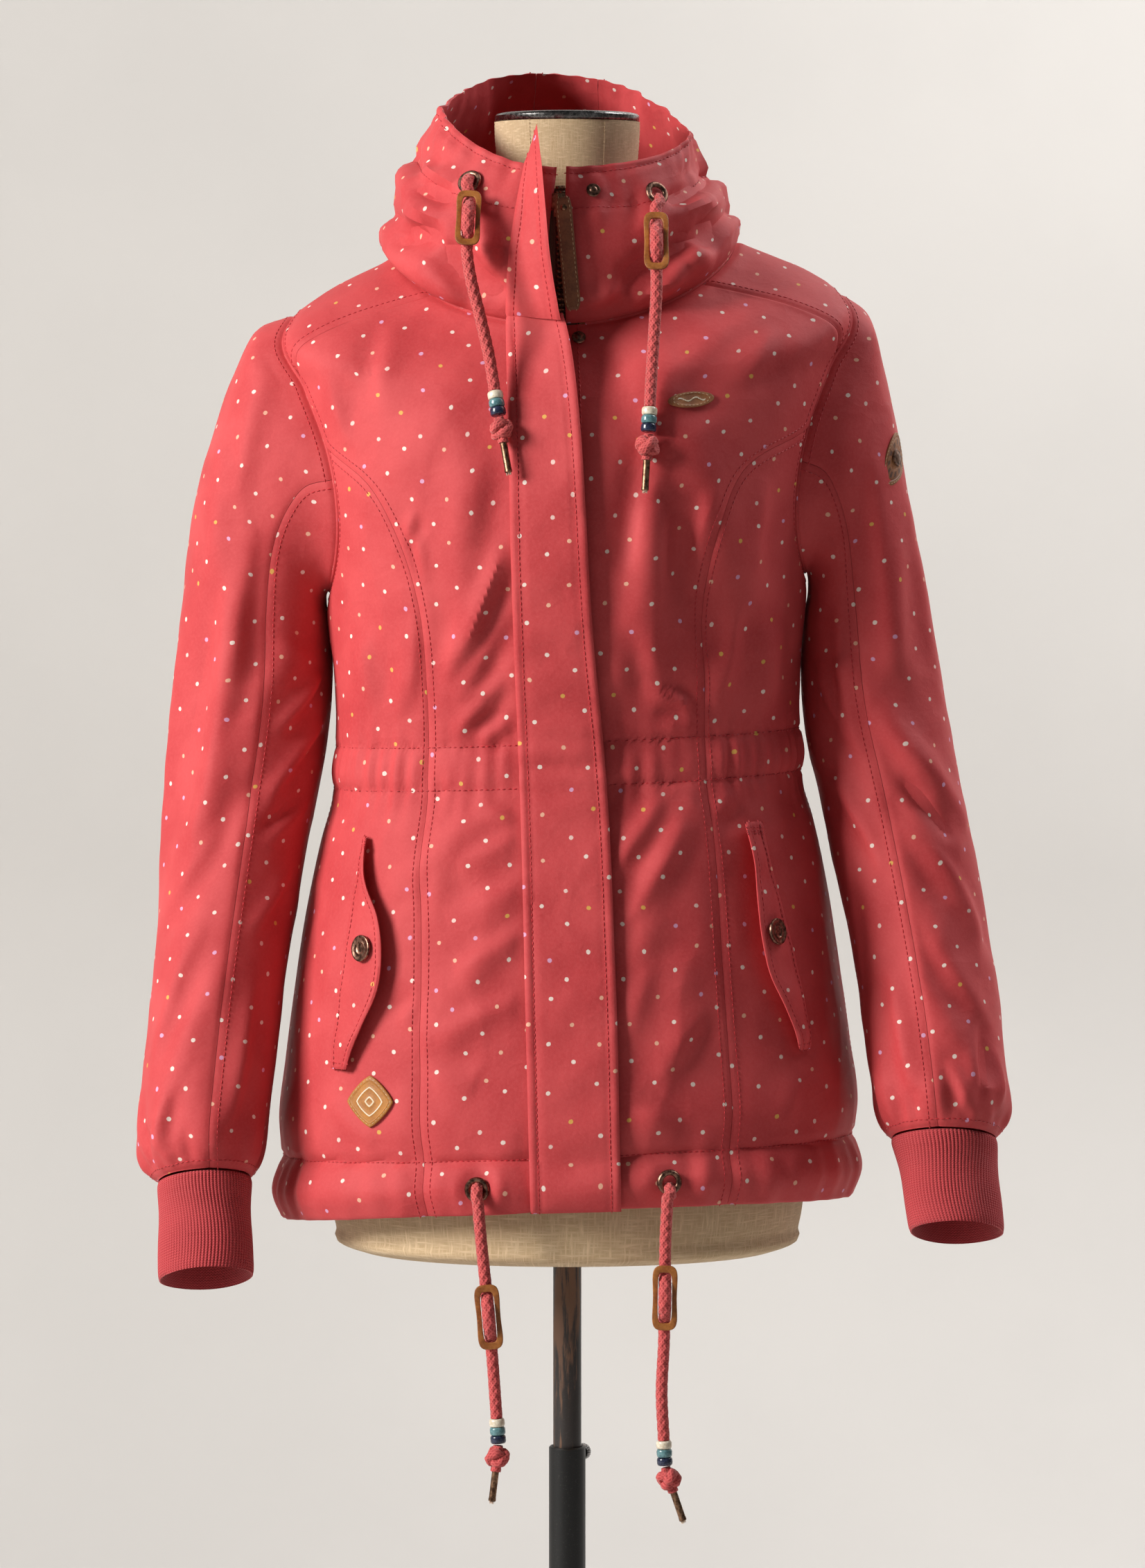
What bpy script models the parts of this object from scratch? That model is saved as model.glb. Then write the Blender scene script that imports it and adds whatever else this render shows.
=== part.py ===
"""Women's hooded parka on a limbless dress form with a telescopic stand.

Metres, +Z up. The origin is the centre of the stand's base, on the floor. The coat faces -Y.
Left and right are the wearer's: the wearer's left is at +X.
The cloth is made of walls: every panel is a stretch of one of four faces (body, sleeve, cuff, hood),
cut along named seam lines, and given its thickness.
"""

import math

import bmesh
import bpy
import numpy as np
from mathutils import Matrix, Vector

# ---------------------------------------------------------------- driving sizes
WALL = 0.0024            # shell, wadding and lining together
SEAM_GAP = 0.0003        # room between two pieces that are sewn together
LEAN = 0.04              # the coat hangs higher towards the wearer's left, per metre
SIDES = {"right": -1, "left": 1}

HEM = 0.722
NECK = 1.449
ARM_MID = 1.301          # middle height of the armhole
ARM_HALF = 0.106         # half of its height
ARM_WIDTH = math.radians(25)
ARM_LOW = 0.25           # how far its widest place lies below the middle
YOKE_FRONT_TURN = 53.5   # where the seams meet the armhole, in degrees from its top
YOKE_BACK_TURN = -45.0
PRINCESS_FRONT_TURN = 86.0
PRINCESS_BACK_TURN = -95.0
YOKE_FRONT_NECK = math.radians(-38)
YOKE_BACK_NECK = math.radians(50)
RISE_POWER = 1.25        # how the sections' rise spreads from the sides to the middle
CLOSURE_X = -0.005       # the zip's x at the neck; it drifts to the wearer's left towards the hem
CLOSURE_DRIFT = 0.022
CLOSURE_HALF = 0.004     # half of the gap between the two fronts

# Columns and rows of the body of the coat, a row for each section. The level is the height at the side.
BODY_COLUMNS = ("level", "half", "front", "back", "square", "front_rise", "back_rise")
BODY_ROWS = (
    (0.722, 0.2150, 0.1530, 0.1370, 2.20, 0.014, -0.022),   # hem edge
    (0.743, 0.2205, 0.1595, 0.1425, 2.20, 0.011, -0.018),   # hem channel, full
    (0.768, 0.2165, 0.1545, 0.1385, 2.20, 0.006, -0.012),   # its stitch line
    (0.796, 0.2195, 0.1570, 0.1410, 2.20, 0.003, -0.006),
    (0.840, 0.2150, 0.1540, 0.1390, 2.20, 0.000, 0.000),
    (0.900, 0.2070, 0.1490, 0.1340, 2.20, 0.000, 0.000),    # hips
    (0.960, 0.1975, 0.1420, 0.1270, 2.20, 0.000, 0.000),
    (1.010, 0.1865, 0.1350, 0.1180, 2.20, 0.000, 0.000),
    (1.042, 0.1775, 0.1280, 0.1100, 2.20, 0.000, 0.000),    # waist channel
    (1.058, 0.1765, 0.1275, 0.1090, 2.20, 0.000, 0.000),
    (1.075, 0.1750, 0.1265, 0.1080, 2.20, 0.000, 0.000),
    (1.120, 0.1755, 0.1340, 0.1130, 2.20, 0.000, 0.000),
    (1.170, 0.1785, 0.1430, 0.1200, 2.20, 0.000, 0.000),
    (1.220, 0.1830, 0.1500, 0.1260, 2.22, 0.000, 0.000),
    (1.265, 0.1890, 0.1510, 0.1300, 2.25, -0.002, 0.000),   # bust
    (1.310, 0.1960, 0.1450, 0.1310, 2.30, -0.008, 0.000),
    (1.355, 0.2060, 0.1330, 0.1280, 2.35, -0.020, -0.004),
    (1.400, 0.2130, 0.1170, 0.1170, 2.40, -0.040, -0.010),  # shoulder tip
    (1.420, 0.1880, 0.1090, 0.1060, 2.30, -0.048, -0.009),
    (1.436, 0.1580, 0.1030, 0.0920, 2.15, -0.055, -0.004),
    (1.449, 0.1280, 0.0990, 0.0780, 2.05, -0.060, 0.006),   # neck seam
)

# The hood, from the neck seam to the rim of its opening; at the back it hangs as a pouch.
# Its skew makes it narrower on the wearer's left and wider on the right.
HOOD_COLUMNS = ("level", "side_z", "half", "skew", "front", "back", "square", "front_rise", "back_rise")
HOOD_ROWS = (
    (0, 1.4490, 0.1280, 0.0000, 0.0990, 0.0780, 2.05, -0.0600, 0.0060),
    (1, 1.4560, 0.1360, -0.0060, 0.1065, 0.1120, 2.15, -0.0540, -0.0190),
    (2, 1.4645, 0.1350, -0.0060, 0.1110, 0.1500, 2.25, -0.0485, -0.0600),
    (3, 1.4750, 0.1295, -0.0045, 0.1140, 0.1830, 2.35, -0.0440, -0.0900),
    (4, 1.4870, 0.1240, -0.0050, 0.1150, 0.2030, 2.40, -0.0400, -0.0920),
    (5, 1.5000, 0.1175, -0.0065, 0.1140, 0.2100, 2.40, -0.0370, -0.0650),
    (6, 1.5135, 0.1075, -0.0055, 0.1110, 0.2000, 2.35, -0.0360, -0.0240),
    (7, 1.5300, 0.0990, -0.0030, 0.1060, 0.1700, 2.25, -0.0390, 0.0190),
    (8, 1.5460, 0.0945, 0.0000, 0.1000, 0.1280, 2.15, -0.0400, 0.0420),
)
HOOD_SECTIONS = 8
HOOD_TILT = -0.135       # the rim climbs towards the wearer's right, per metre
HOOD_TILT_POWER = 1.5    # how the climb grows from the neck seam to the rim

# Seams as x at a height, on the wearer's left; the front princess seams differ a little.
PRINCESS_FRONT = {
    "left": ((0.119, 0.722), (0.1215, 0.820), (0.1145, 0.920), (0.104, 1.040), (0.102, 1.120),
             (0.103, 1.190), (0.112, 1.240), (0.128, 1.275)),
    "right": ((0.103, 0.722), (0.109, 0.820), (0.108, 0.920), (0.104, 1.040), (0.104, 1.120),
              (0.111, 1.190), (0.127, 1.240), (0.145, 1.275)),
}
PRINCESS_BACK = ((0.104, 0.722), (0.098, 0.900), (0.084, 1.060), (0.090, 1.160), (0.112, 1.245))

# Sleeves: outer and inner edge seen from the front, a row for each section below the armhole.
SLEEVE_COLUMNS = ("station", "x_out", "z_out", "x_in", "z_in", "y_mid", "depth", "pitch")
SLEEVE_ROWS = {
    "right": (
        (0, 0.2130, 1.4070, 0.1790, 1.1950, 0.002, 0.072, 0.0),
        (1, 0.2400, 1.3960, 0.1815, 1.1940, 0.004, 0.070, 0.0),
        (2, 0.2570, 1.3600, 0.1830, 1.1910, 0.006, 0.069, 0.0),
        (3, 0.2710, 1.3150, 0.1835, 1.1840, 0.008, 0.068, 0.0),
        (4, 0.2830, 1.2680, 0.1815, 1.1710, 0.010, 0.067, 0.0),
        (5, 0.2900, 1.2150, 0.1805, 1.1530, 0.011, 0.066, 0.0),
        (6, 0.2945, 1.1600, 0.1797, 1.1280, 0.010, 0.064, 1.0),
        (7, 0.2985, 1.1020, 0.1817, 1.0950, 0.006, 0.062, 4.0),
        (8, 0.3030, 1.0420, 0.1895, 1.0450, -0.001, 0.061, 8.0),
        (9, 0.3080, 0.9820, 0.1990, 0.9880, -0.012, 0.060, 11.0),
        (10, 0.3130, 0.9200, 0.2090, 0.9290, -0.025, 0.058, 13.0),
        (11, 0.3180, 0.8620, 0.2170, 0.8710, -0.040, 0.056, 15.0),
        (12, 0.3215, 0.8100, 0.2230, 0.8170, -0.055, 0.055, 17.0),
        (13, 0.3205, 0.7800, 0.2280, 0.7850, -0.064, 0.053, 18.0),
        (14, 0.3080, 0.7590, 0.2360, 0.7610, -0.071, 0.041, 18.0),
    ),
    "left": (
        (0, 0.2130, 1.4070, 0.1790, 1.1950, 0.002, 0.072, 0.0),
        (1, 0.2320, 1.3880, 0.1815, 1.1930, 0.004, 0.070, 0.0),
        (2, 0.2410, 1.3480, 0.1830, 1.1880, 0.006, 0.069, 0.0),
        (3, 0.2490, 1.3000, 0.1835, 1.1780, 0.008, 0.068, 0.0),
        (4, 0.2580, 1.2500, 0.1815, 1.1630, 0.010, 0.067, 0.0),
        (5, 0.2680, 1.1960, 0.1803, 1.1420, 0.011, 0.066, 0.0),
        (6, 0.2775, 1.1430, 0.1795, 1.1140, 0.010, 0.064, 1.0),
        (7, 0.2875, 1.0870, 0.1815, 1.0770, 0.006, 0.062, 4.0),
        (8, 0.2990, 1.0280, 0.1910, 1.0320, -0.001, 0.061, 8.0),
        (9, 0.3100, 0.9730, 0.2000, 0.9820, -0.012, 0.060, 11.0),
        (10, 0.3195, 0.9160, 0.2100, 0.9280, -0.025, 0.058, 13.0),
        (11, 0.3270, 0.8610, 0.2200, 0.8730, -0.040, 0.056, 15.0),
        (12, 0.3310, 0.8140, 0.2270, 0.8230, -0.055, 0.055, 17.0),
        (13, 0.3310, 0.7880, 0.2320, 0.7960, -0.064, 0.053, 18.0),
        (14, 0.3230, 0.7670, 0.2420, 0.7710, -0.071, 0.041, 18.0),
    ),
}
SLEEVE_SECTIONS = 14
ROOT_FADE = 4.0          # sections over which the armhole's own shape dies away

# Rib cuffs, from the sleeve seam to the lower edge, in the sleeve's columns.
CUFF_ROWS = {
    "right": (
        (0, 0.3080, 0.7585, 0.2360, 0.7605, -0.0710, 0.0400, 18.0),
        (1, 0.3060, 0.7260, 0.2350, 0.7280, -0.0810, 0.0380, 18.5),
        (2, 0.3050, 0.6880, 0.2345, 0.6900, -0.0930, 0.0370, 20.0),
    ),
    "left": (
        (0, 0.3230, 0.7665, 0.2420, 0.7705, -0.0710, 0.0400, 18.0),
        (1, 0.3235, 0.7350, 0.2490, 0.7385, -0.0810, 0.0380, 18.5),
        (2, 0.3260, 0.6990, 0.2560, 0.7030, -0.0930, 0.0370, 20.0),
    ),
}
RIB_COUNT = 56
RIB_DEPTH = 0.0011
CUFF_WALL = 0.0026
CUFF_INNER_POINTS = 28

# Soft folds: from one place to another, x and z on the face seen from that side, width and height.
FOLD_COLUMNS = ("x1", "z1", "x2", "z2", "width", "height")
FRONT_FOLDS = (
    (0.030, 1.360, 0.110, 1.150, 0.016, -0.0035),
    (0.055, 1.375, 0.135, 1.180, 0.018, 0.0040),
    (0.040, 1.130, 0.060, 1.240, 0.014, 0.0030),
    (-0.060, 1.290, -0.055, 1.100, 0.016, -0.0030),
    (-0.085, 1.350, -0.070, 1.180, 0.018, 0.0035),
    (-0.120, 0.980, -0.060, 1.030, 0.014, 0.0030),
    (0.055, 0.930, 0.085, 1.030, 0.014, 0.0030),
    (-0.090, 0.870, -0.050, 0.960, 0.020, 0.0035),
    (0.060, 0.790, 0.080, 0.900, 0.020, 0.0030),
    (0.160, 1.060, 0.150, 1.150, 0.012, 0.0030),
    (-0.160, 1.060, -0.150, 1.150, 0.012, 0.0030),
)
BACK_FOLDS = (
    (0.040, 1.300, 0.070, 1.100, 0.020, 0.0040),
    (-0.045, 1.320, -0.060, 1.110, 0.020, 0.0040),
    (0.000, 1.240, 0.010, 1.090, 0.016, -0.0030),
    (0.060, 1.020, 0.070, 0.860, 0.020, 0.0040),
    (-0.050, 1.020, -0.075, 0.880, 0.020, 0.0040),
    (0.010, 1.010, 0.000, 0.900, 0.018, -0.0030),
)
HOOD_FRONT_FOLDS = (
    (-0.128, 1.462, -0.076, 1.412, 0.011, -0.0060),
    (-0.120, 1.447, -0.080, 1.398, 0.010, 0.0040),
    (0.112, 1.468, 0.060, 1.412, 0.011, -0.0060),
    (0.100, 1.452, 0.062, 1.400, 0.010, 0.0040),
)
HOOD_BACK_FOLDS = (
    (0.070, 1.560, 0.050, 1.430, 0.022, -0.0080),
    (-0.075, 1.560, -0.045, 1.430, 0.022, -0.0080),
    (0.000, 1.580, 0.005, 1.440, 0.020, 0.0060),
    (0.100, 1.520, 0.105, 1.440, 0.018, 0.0060),
    (-0.105, 1.520, -0.100, 1.440, 0.018, 0.0060),
)
# Sleeve folds: turn in degrees round the sleeve, section along it, width in metres, height.
SLEEVE_FOLDS = {
    "right": (
        (40, 3.0, 80, 6.5, 0.016, 0.0035),
        (120, 5.5, 60, 8.5, 0.014, 0.0035),
        (100, 8.0, 30, 9.6, 0.014, -0.0035),
        (-60, 7.0, -110, 9.0, 0.016, 0.0040),
        (90, 10.5, 40, 12.3, 0.014, 0.0030),
        (-40, 11.0, -120, 12.5, 0.016, 0.0035),
    ),
    "left": (
        (30, 2.6, 70, 6.0, 0.016, 0.0035),
        (110, 6.0, 50, 8.8, 0.014, 0.0035),
        (90, 8.4, 20, 10.0, 0.014, -0.0035),
        (-50, 7.2, -120, 9.2, 0.016, 0.0040),
        (100, 10.8, 50, 12.6, 0.014, 0.0030),
        (-50, 11.2, -130, 12.7, 0.016, 0.0035),
    ),
}
SLEEVE_RADIUS = 0.058    # turns the folds' degrees into metres
SLEEVE_STEP = 0.055      # length of a section, in the same way
GATHERS = 7              # folds where the sleeve is gathered into its cuff
GATHER_HEIGHT = 0.0025

# Storm flap: height, x of its sewn edge and free edge, how far the free edge stands off, extra height.
FLAP_COLUMNS = ("z", "sewn_x", "free_x", "lift", "rise")
FLAP_ROWS = (
    (0.715, -0.0262, 0.0400, 0.0030, 0.0000),
    (0.880, -0.0304, 0.0362, 0.0035, 0.0000),
    (1.060, -0.0350, 0.0280, 0.0040, 0.0000),
    (1.190, -0.0400, 0.0165, 0.0060, 0.0000),
    (1.270, -0.0420, 0.0124, 0.0080, 0.0000),
    (1.330, -0.0435, 0.0076, 0.0120, 0.0000),
    (1.370, -0.0450, 0.0010, 0.0195, 0.0000),
    (1.400, -0.0455, -0.0050, 0.0240, 0.0000),
    (1.440, -0.0430, -0.0120, 0.0230, 0.0000),
    (1.470, -0.0385, -0.0152, 0.0235, 0.0060),
    (1.506, -0.0310, -0.0195, 0.0240, 0.0190),
)
FLAP_THICK = 0.0030
FLAP_CLEAR = 0.0012
FLAP_LIFT_POWER = 1.5      # how its lift grows towards the free edge
FLAP_STRIPS = 3

TAPE_HALF = 0.014
TAPE_THICK = 0.0010
TAPE_DEPTH = 0.0018      # below the inner face of the fronts
TAPE_FROM = 0.750

# Pocket flaps: height, x of the hinge seam and of the free edge, how far the free edge stands off.
POCKET_COLUMNS = ("z", "hinge_right", "free_right", "hinge_left", "free_left", "lift")
POCKET_ROWS = (
    (1.014, 0.1500, 0.1460, 0.1435, 0.1285, 0.0040),
    (0.985, 0.1548, 0.1440, 0.1495, 0.1330, 0.0085),
    (0.957, 0.1600, 0.1345, 0.1565, 0.1346, 0.0100),
    (0.928, 0.1645, 0.1315, 0.1640, 0.1380, 0.0100),
    (0.900, 0.1685, 0.1355, 0.1705, 0.1448, 0.0090),
    (0.876, 0.1710, 0.1465, 0.1755, 0.1560, 0.0080),
    (0.855, 0.1735, 0.1560, 0.1790, 0.1650, 0.0060),
    (0.843, 0.1740, 0.1605, 0.1800, 0.1690, 0.0040),
)
POCKET_THICK = 0.0030
POCKET_CLEAR = 0.0012
POCKET_ROW_COUNT = 10
POCKET_STRIPS = 3
SNAP_RADIUS = 0.0100
SNAP_HEIGHT = 0.0030
SNAP_CLEAR = 0.0012
POCKET_SNAP = (0.932, 0.58)   # height, and share of the way from hinge to free edge

STUD_RADIUS = 0.0053
STUD_HEIGHT = 0.0030
STUD_CLEAR = 0.0020
STUDS = {"stud_chest": (0.0085, 1.4300, "body"), "stud_collar": (0.0190, 6.6, "hood")}

PATCH_THICK = 0.0016
PATCH_CLEAR = 0.0012
PATCH_POINTS = 16
OVAL_PATCH = (0.0900, 1.3440, 0.0175, 0.0080)      # x, height, half width, half height
DIAMOND_PATCH = (-0.1450, 0.8190, 0.0170, 0.0200)
ROUND_PATCH = (38.0, 3.20, 0.0190)                  # turn, section, radius

EYELET_RADIUS = 0.0072
EYELET_WIRE = 0.0022
EYELET_FLAT = 0.55
EYELETS = {
    "eyelet_collar_right": (-0.0715, 6.40, "hood"),
    "eyelet_collar_left": (0.0655, 6.00, "hood"),
    "eyelet_hem_right": (-0.0660, 0.7450, "body"),
    "eyelet_hem_left": (0.0750, 0.7450, "body"),
}

# Drawcords: the line of each, from its eyelet to its beads, as x, y and z.
CORD_RADIUS = 0.0045
CORD_SIDES_LEVEL = 2
CORD_ROWS = {
    "collar_right": (
        (-0.0718, -0.1012, 1.4858),
        (-0.0730, -0.1200, 1.4560),
        (-0.0735, -0.1285, 1.4420),
        (-0.0710, -0.1330, 1.4240),
        (-0.0640, -0.1345, 1.3950),
        (-0.0570, -0.1360, 1.3640),
        (-0.0530, -0.1430, 1.3395),
    ),
    "collar_left": (
        (0.0654, -0.1052, 1.4800),
        (0.0655, -0.1170, 1.4560),
        (0.0656, -0.1310, 1.4320),
        (0.0655, -0.1360, 1.4120),
        (0.0640, -0.1375, 1.3850),
        (0.0622, -0.1395, 1.3560),
        (0.0606, -0.1450, 1.3280),
    ),
    "hem_right": (
        (-0.0657, -0.1625, 0.7468),
        (-0.0646, -0.1668, 0.7330),
        (-0.0630, -0.1676, 0.7150),
        (-0.0575, -0.1676, 0.6610),
        (-0.0550, -0.1676, 0.6300),
        (-0.0518, -0.1676, 0.5851),
    ),
    "hem_left": (
        (0.0742, -0.1610, 0.7522),
        (0.0733, -0.1650, 0.7380),
        (0.0724, -0.1660, 0.7200),
        (0.0718, -0.1660, 0.6760),
        (0.0712, -0.1660, 0.6400),
        (0.0696, -0.1660, 0.6039),
        (0.0712, -0.1660, 0.5685),
    ),
}
CORD_STEP = 0.016        # longest stretch between two points of a straight cord
TOGGLE_AT = {"collar_right": 0.0270, "collar_left": 0.0380, "hem_right": 0.0870, "hem_left": 0.0780}
TOGGLE_HALF = (0.0120, 0.0240)       # half width and half length of the leather plate
TOGGLE_SLOT = (0.0052, 0.0187)
TOGGLE_THICK = 0.0016
TOGGLE_WAIST = 0.80
TOGGLE_POINTS = 20
SLOT_POINTS = 16
TOGGLE_OFF = 0.0074      # the plate lies this far before the cord's line
CORD_RISE = 0.0096       # the cord comes this far forward through the slot
CORD_RISE_HALF = 0.0245
BEAD_GAP = 0.0003
BEADS = ((0.0, 0.0), (0.0042, 0.0), (0.0057, -0.0031), (0.0042, -0.0062), (0.0057, -0.0093),
         (0.0042, -0.0124), (0.0057, -0.0155), (0.0042, -0.0186), (0.0, -0.0186))
CORD_END_GAP = 0.0016
CORD_END = ((0.0, 0.0), (0.0050, -0.0007), (0.0092, -0.0058), (0.0088, -0.0118), (0.0036, -0.0172),
            (0.0026, -0.0200), (0.0026, -0.0440), (0.0, -0.0440))
CORD_END_WAY = {             # direction in which each knot and metal tip hangs
    "collar_right": (0.18, -0.22, -1.0), "collar_left": (-0.06, -0.14, -1.0),
    "hem_right": (-0.12, 0.0, -1.0), "hem_left": (0.34, 0.0, -1.0),
}
SMALL_STEPS = 12

# ---------------------------------------------------------------- dress form and stand
FORM_COLUMNS = ("level", "half", "front", "back", "square")
FORM_ROWS = (
    (0.690, 0.1600, 0.1180, 0.1080, 2.10),
    (0.694, 0.1720, 0.1280, 0.1170, 2.10),
    (0.706, 0.1760, 0.1310, 0.1200, 2.10),
    (0.800, 0.1740, 0.1300, 0.1190, 2.10),
    (0.900, 0.1660, 0.1230, 0.1120, 2.10),
    (1.000, 0.1460, 0.1060, 0.0950, 2.10),
    (1.060, 0.1350, 0.0980, 0.0870, 2.10),
    (1.130, 0.1400, 0.1080, 0.0930, 2.10),
    (1.200, 0.1500, 0.1240, 0.1020, 2.12),
    (1.265, 0.1600, 0.1280, 0.1080, 2.15),
    (1.320, 0.1720, 0.1150, 0.1080, 2.15),
    (1.365, 0.1850, 0.0930, 0.1000, 2.00),
    (1.392, 0.1850, 0.0790, 0.0890, 1.80),
    (1.410, 0.1740, 0.0710, 0.0790, 1.60),
    (1.4250, 0.1520, 0.0650, 0.0710, 1.50),
    (1.4380, 0.1220, 0.0600, 0.0650, 1.60),
    (1.4480, 0.0900, 0.0560, 0.0600, 1.80),
    (1.460, 0.0680, 0.0540, 0.0565, 2.00),
    (1.482, 0.0570, 0.0530, 0.0545, 2.00),
    (1.543, 0.0550, 0.0530, 0.0530, 2.00),
)
FORM_POINTS = 28
CAP_LOW = 1.5435
CAP_TOP = 1.5500
CAP_RADIUS = 0.0545

POLE_RADIUS = 0.01075
POLE_LOW = 0.250
POLE_TOP = 0.738
BORE_RADIUS = 0.0112
BORE_TOP = 0.742
TUBE_RADIUS = 0.0140
TUBE_BORE = 0.0112
TUBE_LOW = 0.0145
TUBE_TOP = 0.536
BASE_RADIUS = 0.190
BASE_THICK = 0.012
BOSS_RADIUS = 0.026
ROUND_STEPS = 24

SCREW_HEIGHT = 0.5285
SCREW_AROUND = math.radians(58)      # direction from the pole, from +X towards the back
SCREW_STEM = 0.0028
SCREW_HEAD = 0.0063
SCREW_STEM_LENGTH = 0.0055
SCREW_HEAD_LENGTH = 0.0055

SLIDER = (-0.0062, 5.9)              # x and hood level of the zip slider
SLIDER_SIZE = (0.0100, 0.0200, 0.0035)
SLIDER_LIFT = 0.0006
PULL_SIZE = (0.0120, 0.0018, 0.0830)
PULL_HINGE = (-0.0030, -0.1190, 1.4790)
PULL_LEAN = math.radians(5.4)        # the strap's lower end hangs towards the wearer's left
PULL_ABOVE = 0.0030                  # strap above its hinge

COLOURS = {
    "cloth": (0.55, 0.075, 0.085), "rib": (0.50, 0.06, 0.07), "cord": (0.60, 0.09, 0.10),
    "leather": (0.42, 0.16, 0.05), "copper": (0.26, 0.13, 0.08), "beads": (0.75, 0.72, 0.66),
    "linen": (0.55, 0.47, 0.34), "steel": (0.55, 0.55, 0.55), "worn": (0.10, 0.06, 0.04),
    "black": (0.02, 0.02, 0.02), "tape": (0.20, 0.10, 0.05), "zip": (0.18, 0.11, 0.07),
}
METALS = {"copper": 1.0, "steel": 1.0, "zip": 1.0}
ROUGHNESS = {"cloth": 0.7, "rib": 0.85, "cord": 0.8, "leather": 0.5, "copper": 0.35, "beads": 0.35,
             "linen": 0.9, "steel": 0.2, "worn": 0.6, "black": 0.5, "tape": 0.8, "zip": 0.4}


# ---------------------------------------------------------------- sections and faces
def smooth(knots, values, level):
    """Read a column at any level, on a smooth curve through its rows."""
    level = np.clip(np.asarray(level, float), knots[0], knots[-1])
    row = np.clip(np.searchsorted(knots, level, side="right") - 1, 0, len(knots) - 2)
    step = knots[row + 1] - knots[row]
    part = (level - knots[row]) / step
    slope = np.gradient(values, knots)
    low = values[row] * (1 + 2 * part) * (1 - part) ** 2
    high = values[row + 1] * part ** 2 * (3 - 2 * part)
    bend = slope[row] * part * (1 - part) ** 2 - slope[row + 1] * part ** 2 * (1 - part)
    return low + high + step * bend


class Sections:
    """A table with named columns, read by its first column."""

    def __init__(self, columns, rows):
        self.knots = np.array([row[0] for row in rows], float)
        self.columns = {name: np.array([row[i] for row in rows], float)
                        for i, name in enumerate(columns)}

    def at(self, column, level):
        return smooth(self.knots, self.columns[column], level)

    def half(self, level, sign):
        """Half width of a section on the side with this sign."""
        skew = self.at("skew", level) if "skew" in self.columns else 0.0
        return self.at("half", level) + sign * skew


BODY = Sections(BODY_COLUMNS, BODY_ROWS)
HOOD = Sections(HOOD_COLUMNS, HOOD_ROWS)
FORM = Sections(FORM_COLUMNS, FORM_ROWS)
FLAP = Sections(FLAP_COLUMNS, FLAP_ROWS)
POCKET = Sections(POCKET_COLUMNS, tuple(reversed(POCKET_ROWS)))
SLEEVE = {side: Sections(SLEEVE_COLUMNS, rows) for side, rows in SLEEVE_ROWS.items()}
CUFF = {side: Sections(SLEEVE_COLUMNS, rows) for side, rows in CUFF_ROWS.items()}


def ring(table, level, theta):
    """x and y of a squared oval, with its own depth in front and behind."""
    cosine = np.cos(theta)
    sine = np.sin(theta)
    power = 2.0 / table.at("square", level)
    depth = np.where(sine < 0, table.at("front", level), table.at("back", level))
    x = table.half(level, np.sign(cosine)) * np.sign(cosine) * np.abs(cosine) ** power
    y = depth * np.sign(sine) * np.abs(sine) ** power
    return x, y


def creases(across, along, folds):
    """Height of the soft folds at a place on a face."""
    total = np.zeros(np.broadcast(across, along).shape)
    for x1, z1, x2, z2, width, height in folds:
        run_x = x2 - x1
        run_z = z2 - z1
        part = ((across - x1) * run_x + (along - z1) * run_z) / (run_x ** 2 + run_z ** 2)
        part = np.clip(part, 0.0, 1.0)
        off = np.hypot(across - x1 - part * run_x, along - z1 - part * run_z)
        total = total + height * np.exp(-(off / width) ** 2)
    return total


def rise(table, level, theta):
    front = table.at("front_rise", level)
    back = table.at("back_rise", level)
    return np.where(np.sin(theta) < 0, front, back) * np.abs(np.sin(theta)) ** RISE_POWER


def body_face(theta, level):
    """Outer face of the body of the coat."""
    theta, level = np.broadcast_arrays(theta, level)
    x, y = ring(BODY, level, theta)
    z = level + rise(BODY, level, theta)
    in_front = np.sin(theta) < 0
    push = np.where(in_front, creases(x, z, FRONT_FOLDS), creases(x, z, BACK_FOLDS))
    return np.stack([x + push * np.cos(theta), y + push * np.sin(theta), z], -1)


def hood_shape(theta, level):
    x, y = ring(HOOD, level, theta)
    climb = HOOD_TILT * (np.clip(level, 0, HOOD_SECTIONS) / HOOD_SECTIONS) ** HOOD_TILT_POWER
    spread = np.where(np.sin(theta) < 0, np.abs(np.cos(theta)), 1.0)
    z = HOOD.at("side_z", level) + rise(HOOD, level, theta) + climb * spread * x
    in_front = np.sin(theta) < 0
    push = np.where(in_front, creases(x, z, HOOD_FRONT_FOLDS), creases(x, z, HOOD_BACK_FOLDS))
    return np.stack([x + push * np.cos(theta), y + push * np.sin(theta), z], -1)


def hood_face(theta, level):
    """Outer face of the hood, which starts on the neck seam of the body."""
    theta, level = np.broadcast_arrays(theta, level)
    fade = np.clip(1 - level, 0.0, 1.0)[..., None]
    root = body_face(theta, np.full(theta.shape, NECK)) - hood_shape(theta, np.zeros(theta.shape))
    return hood_shape(theta, level) + fade ** 2 * root


def armhole(turn):
    """Angle and level of the armhole; turn is 0 at the shoulder, positive in front."""
    level = ARM_MID + ARM_HALF * np.cos(turn)
    theta = -ARM_WIDTH * np.sin(turn) * (1 - ARM_LOW * np.cos(turn))
    return theta, level


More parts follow.
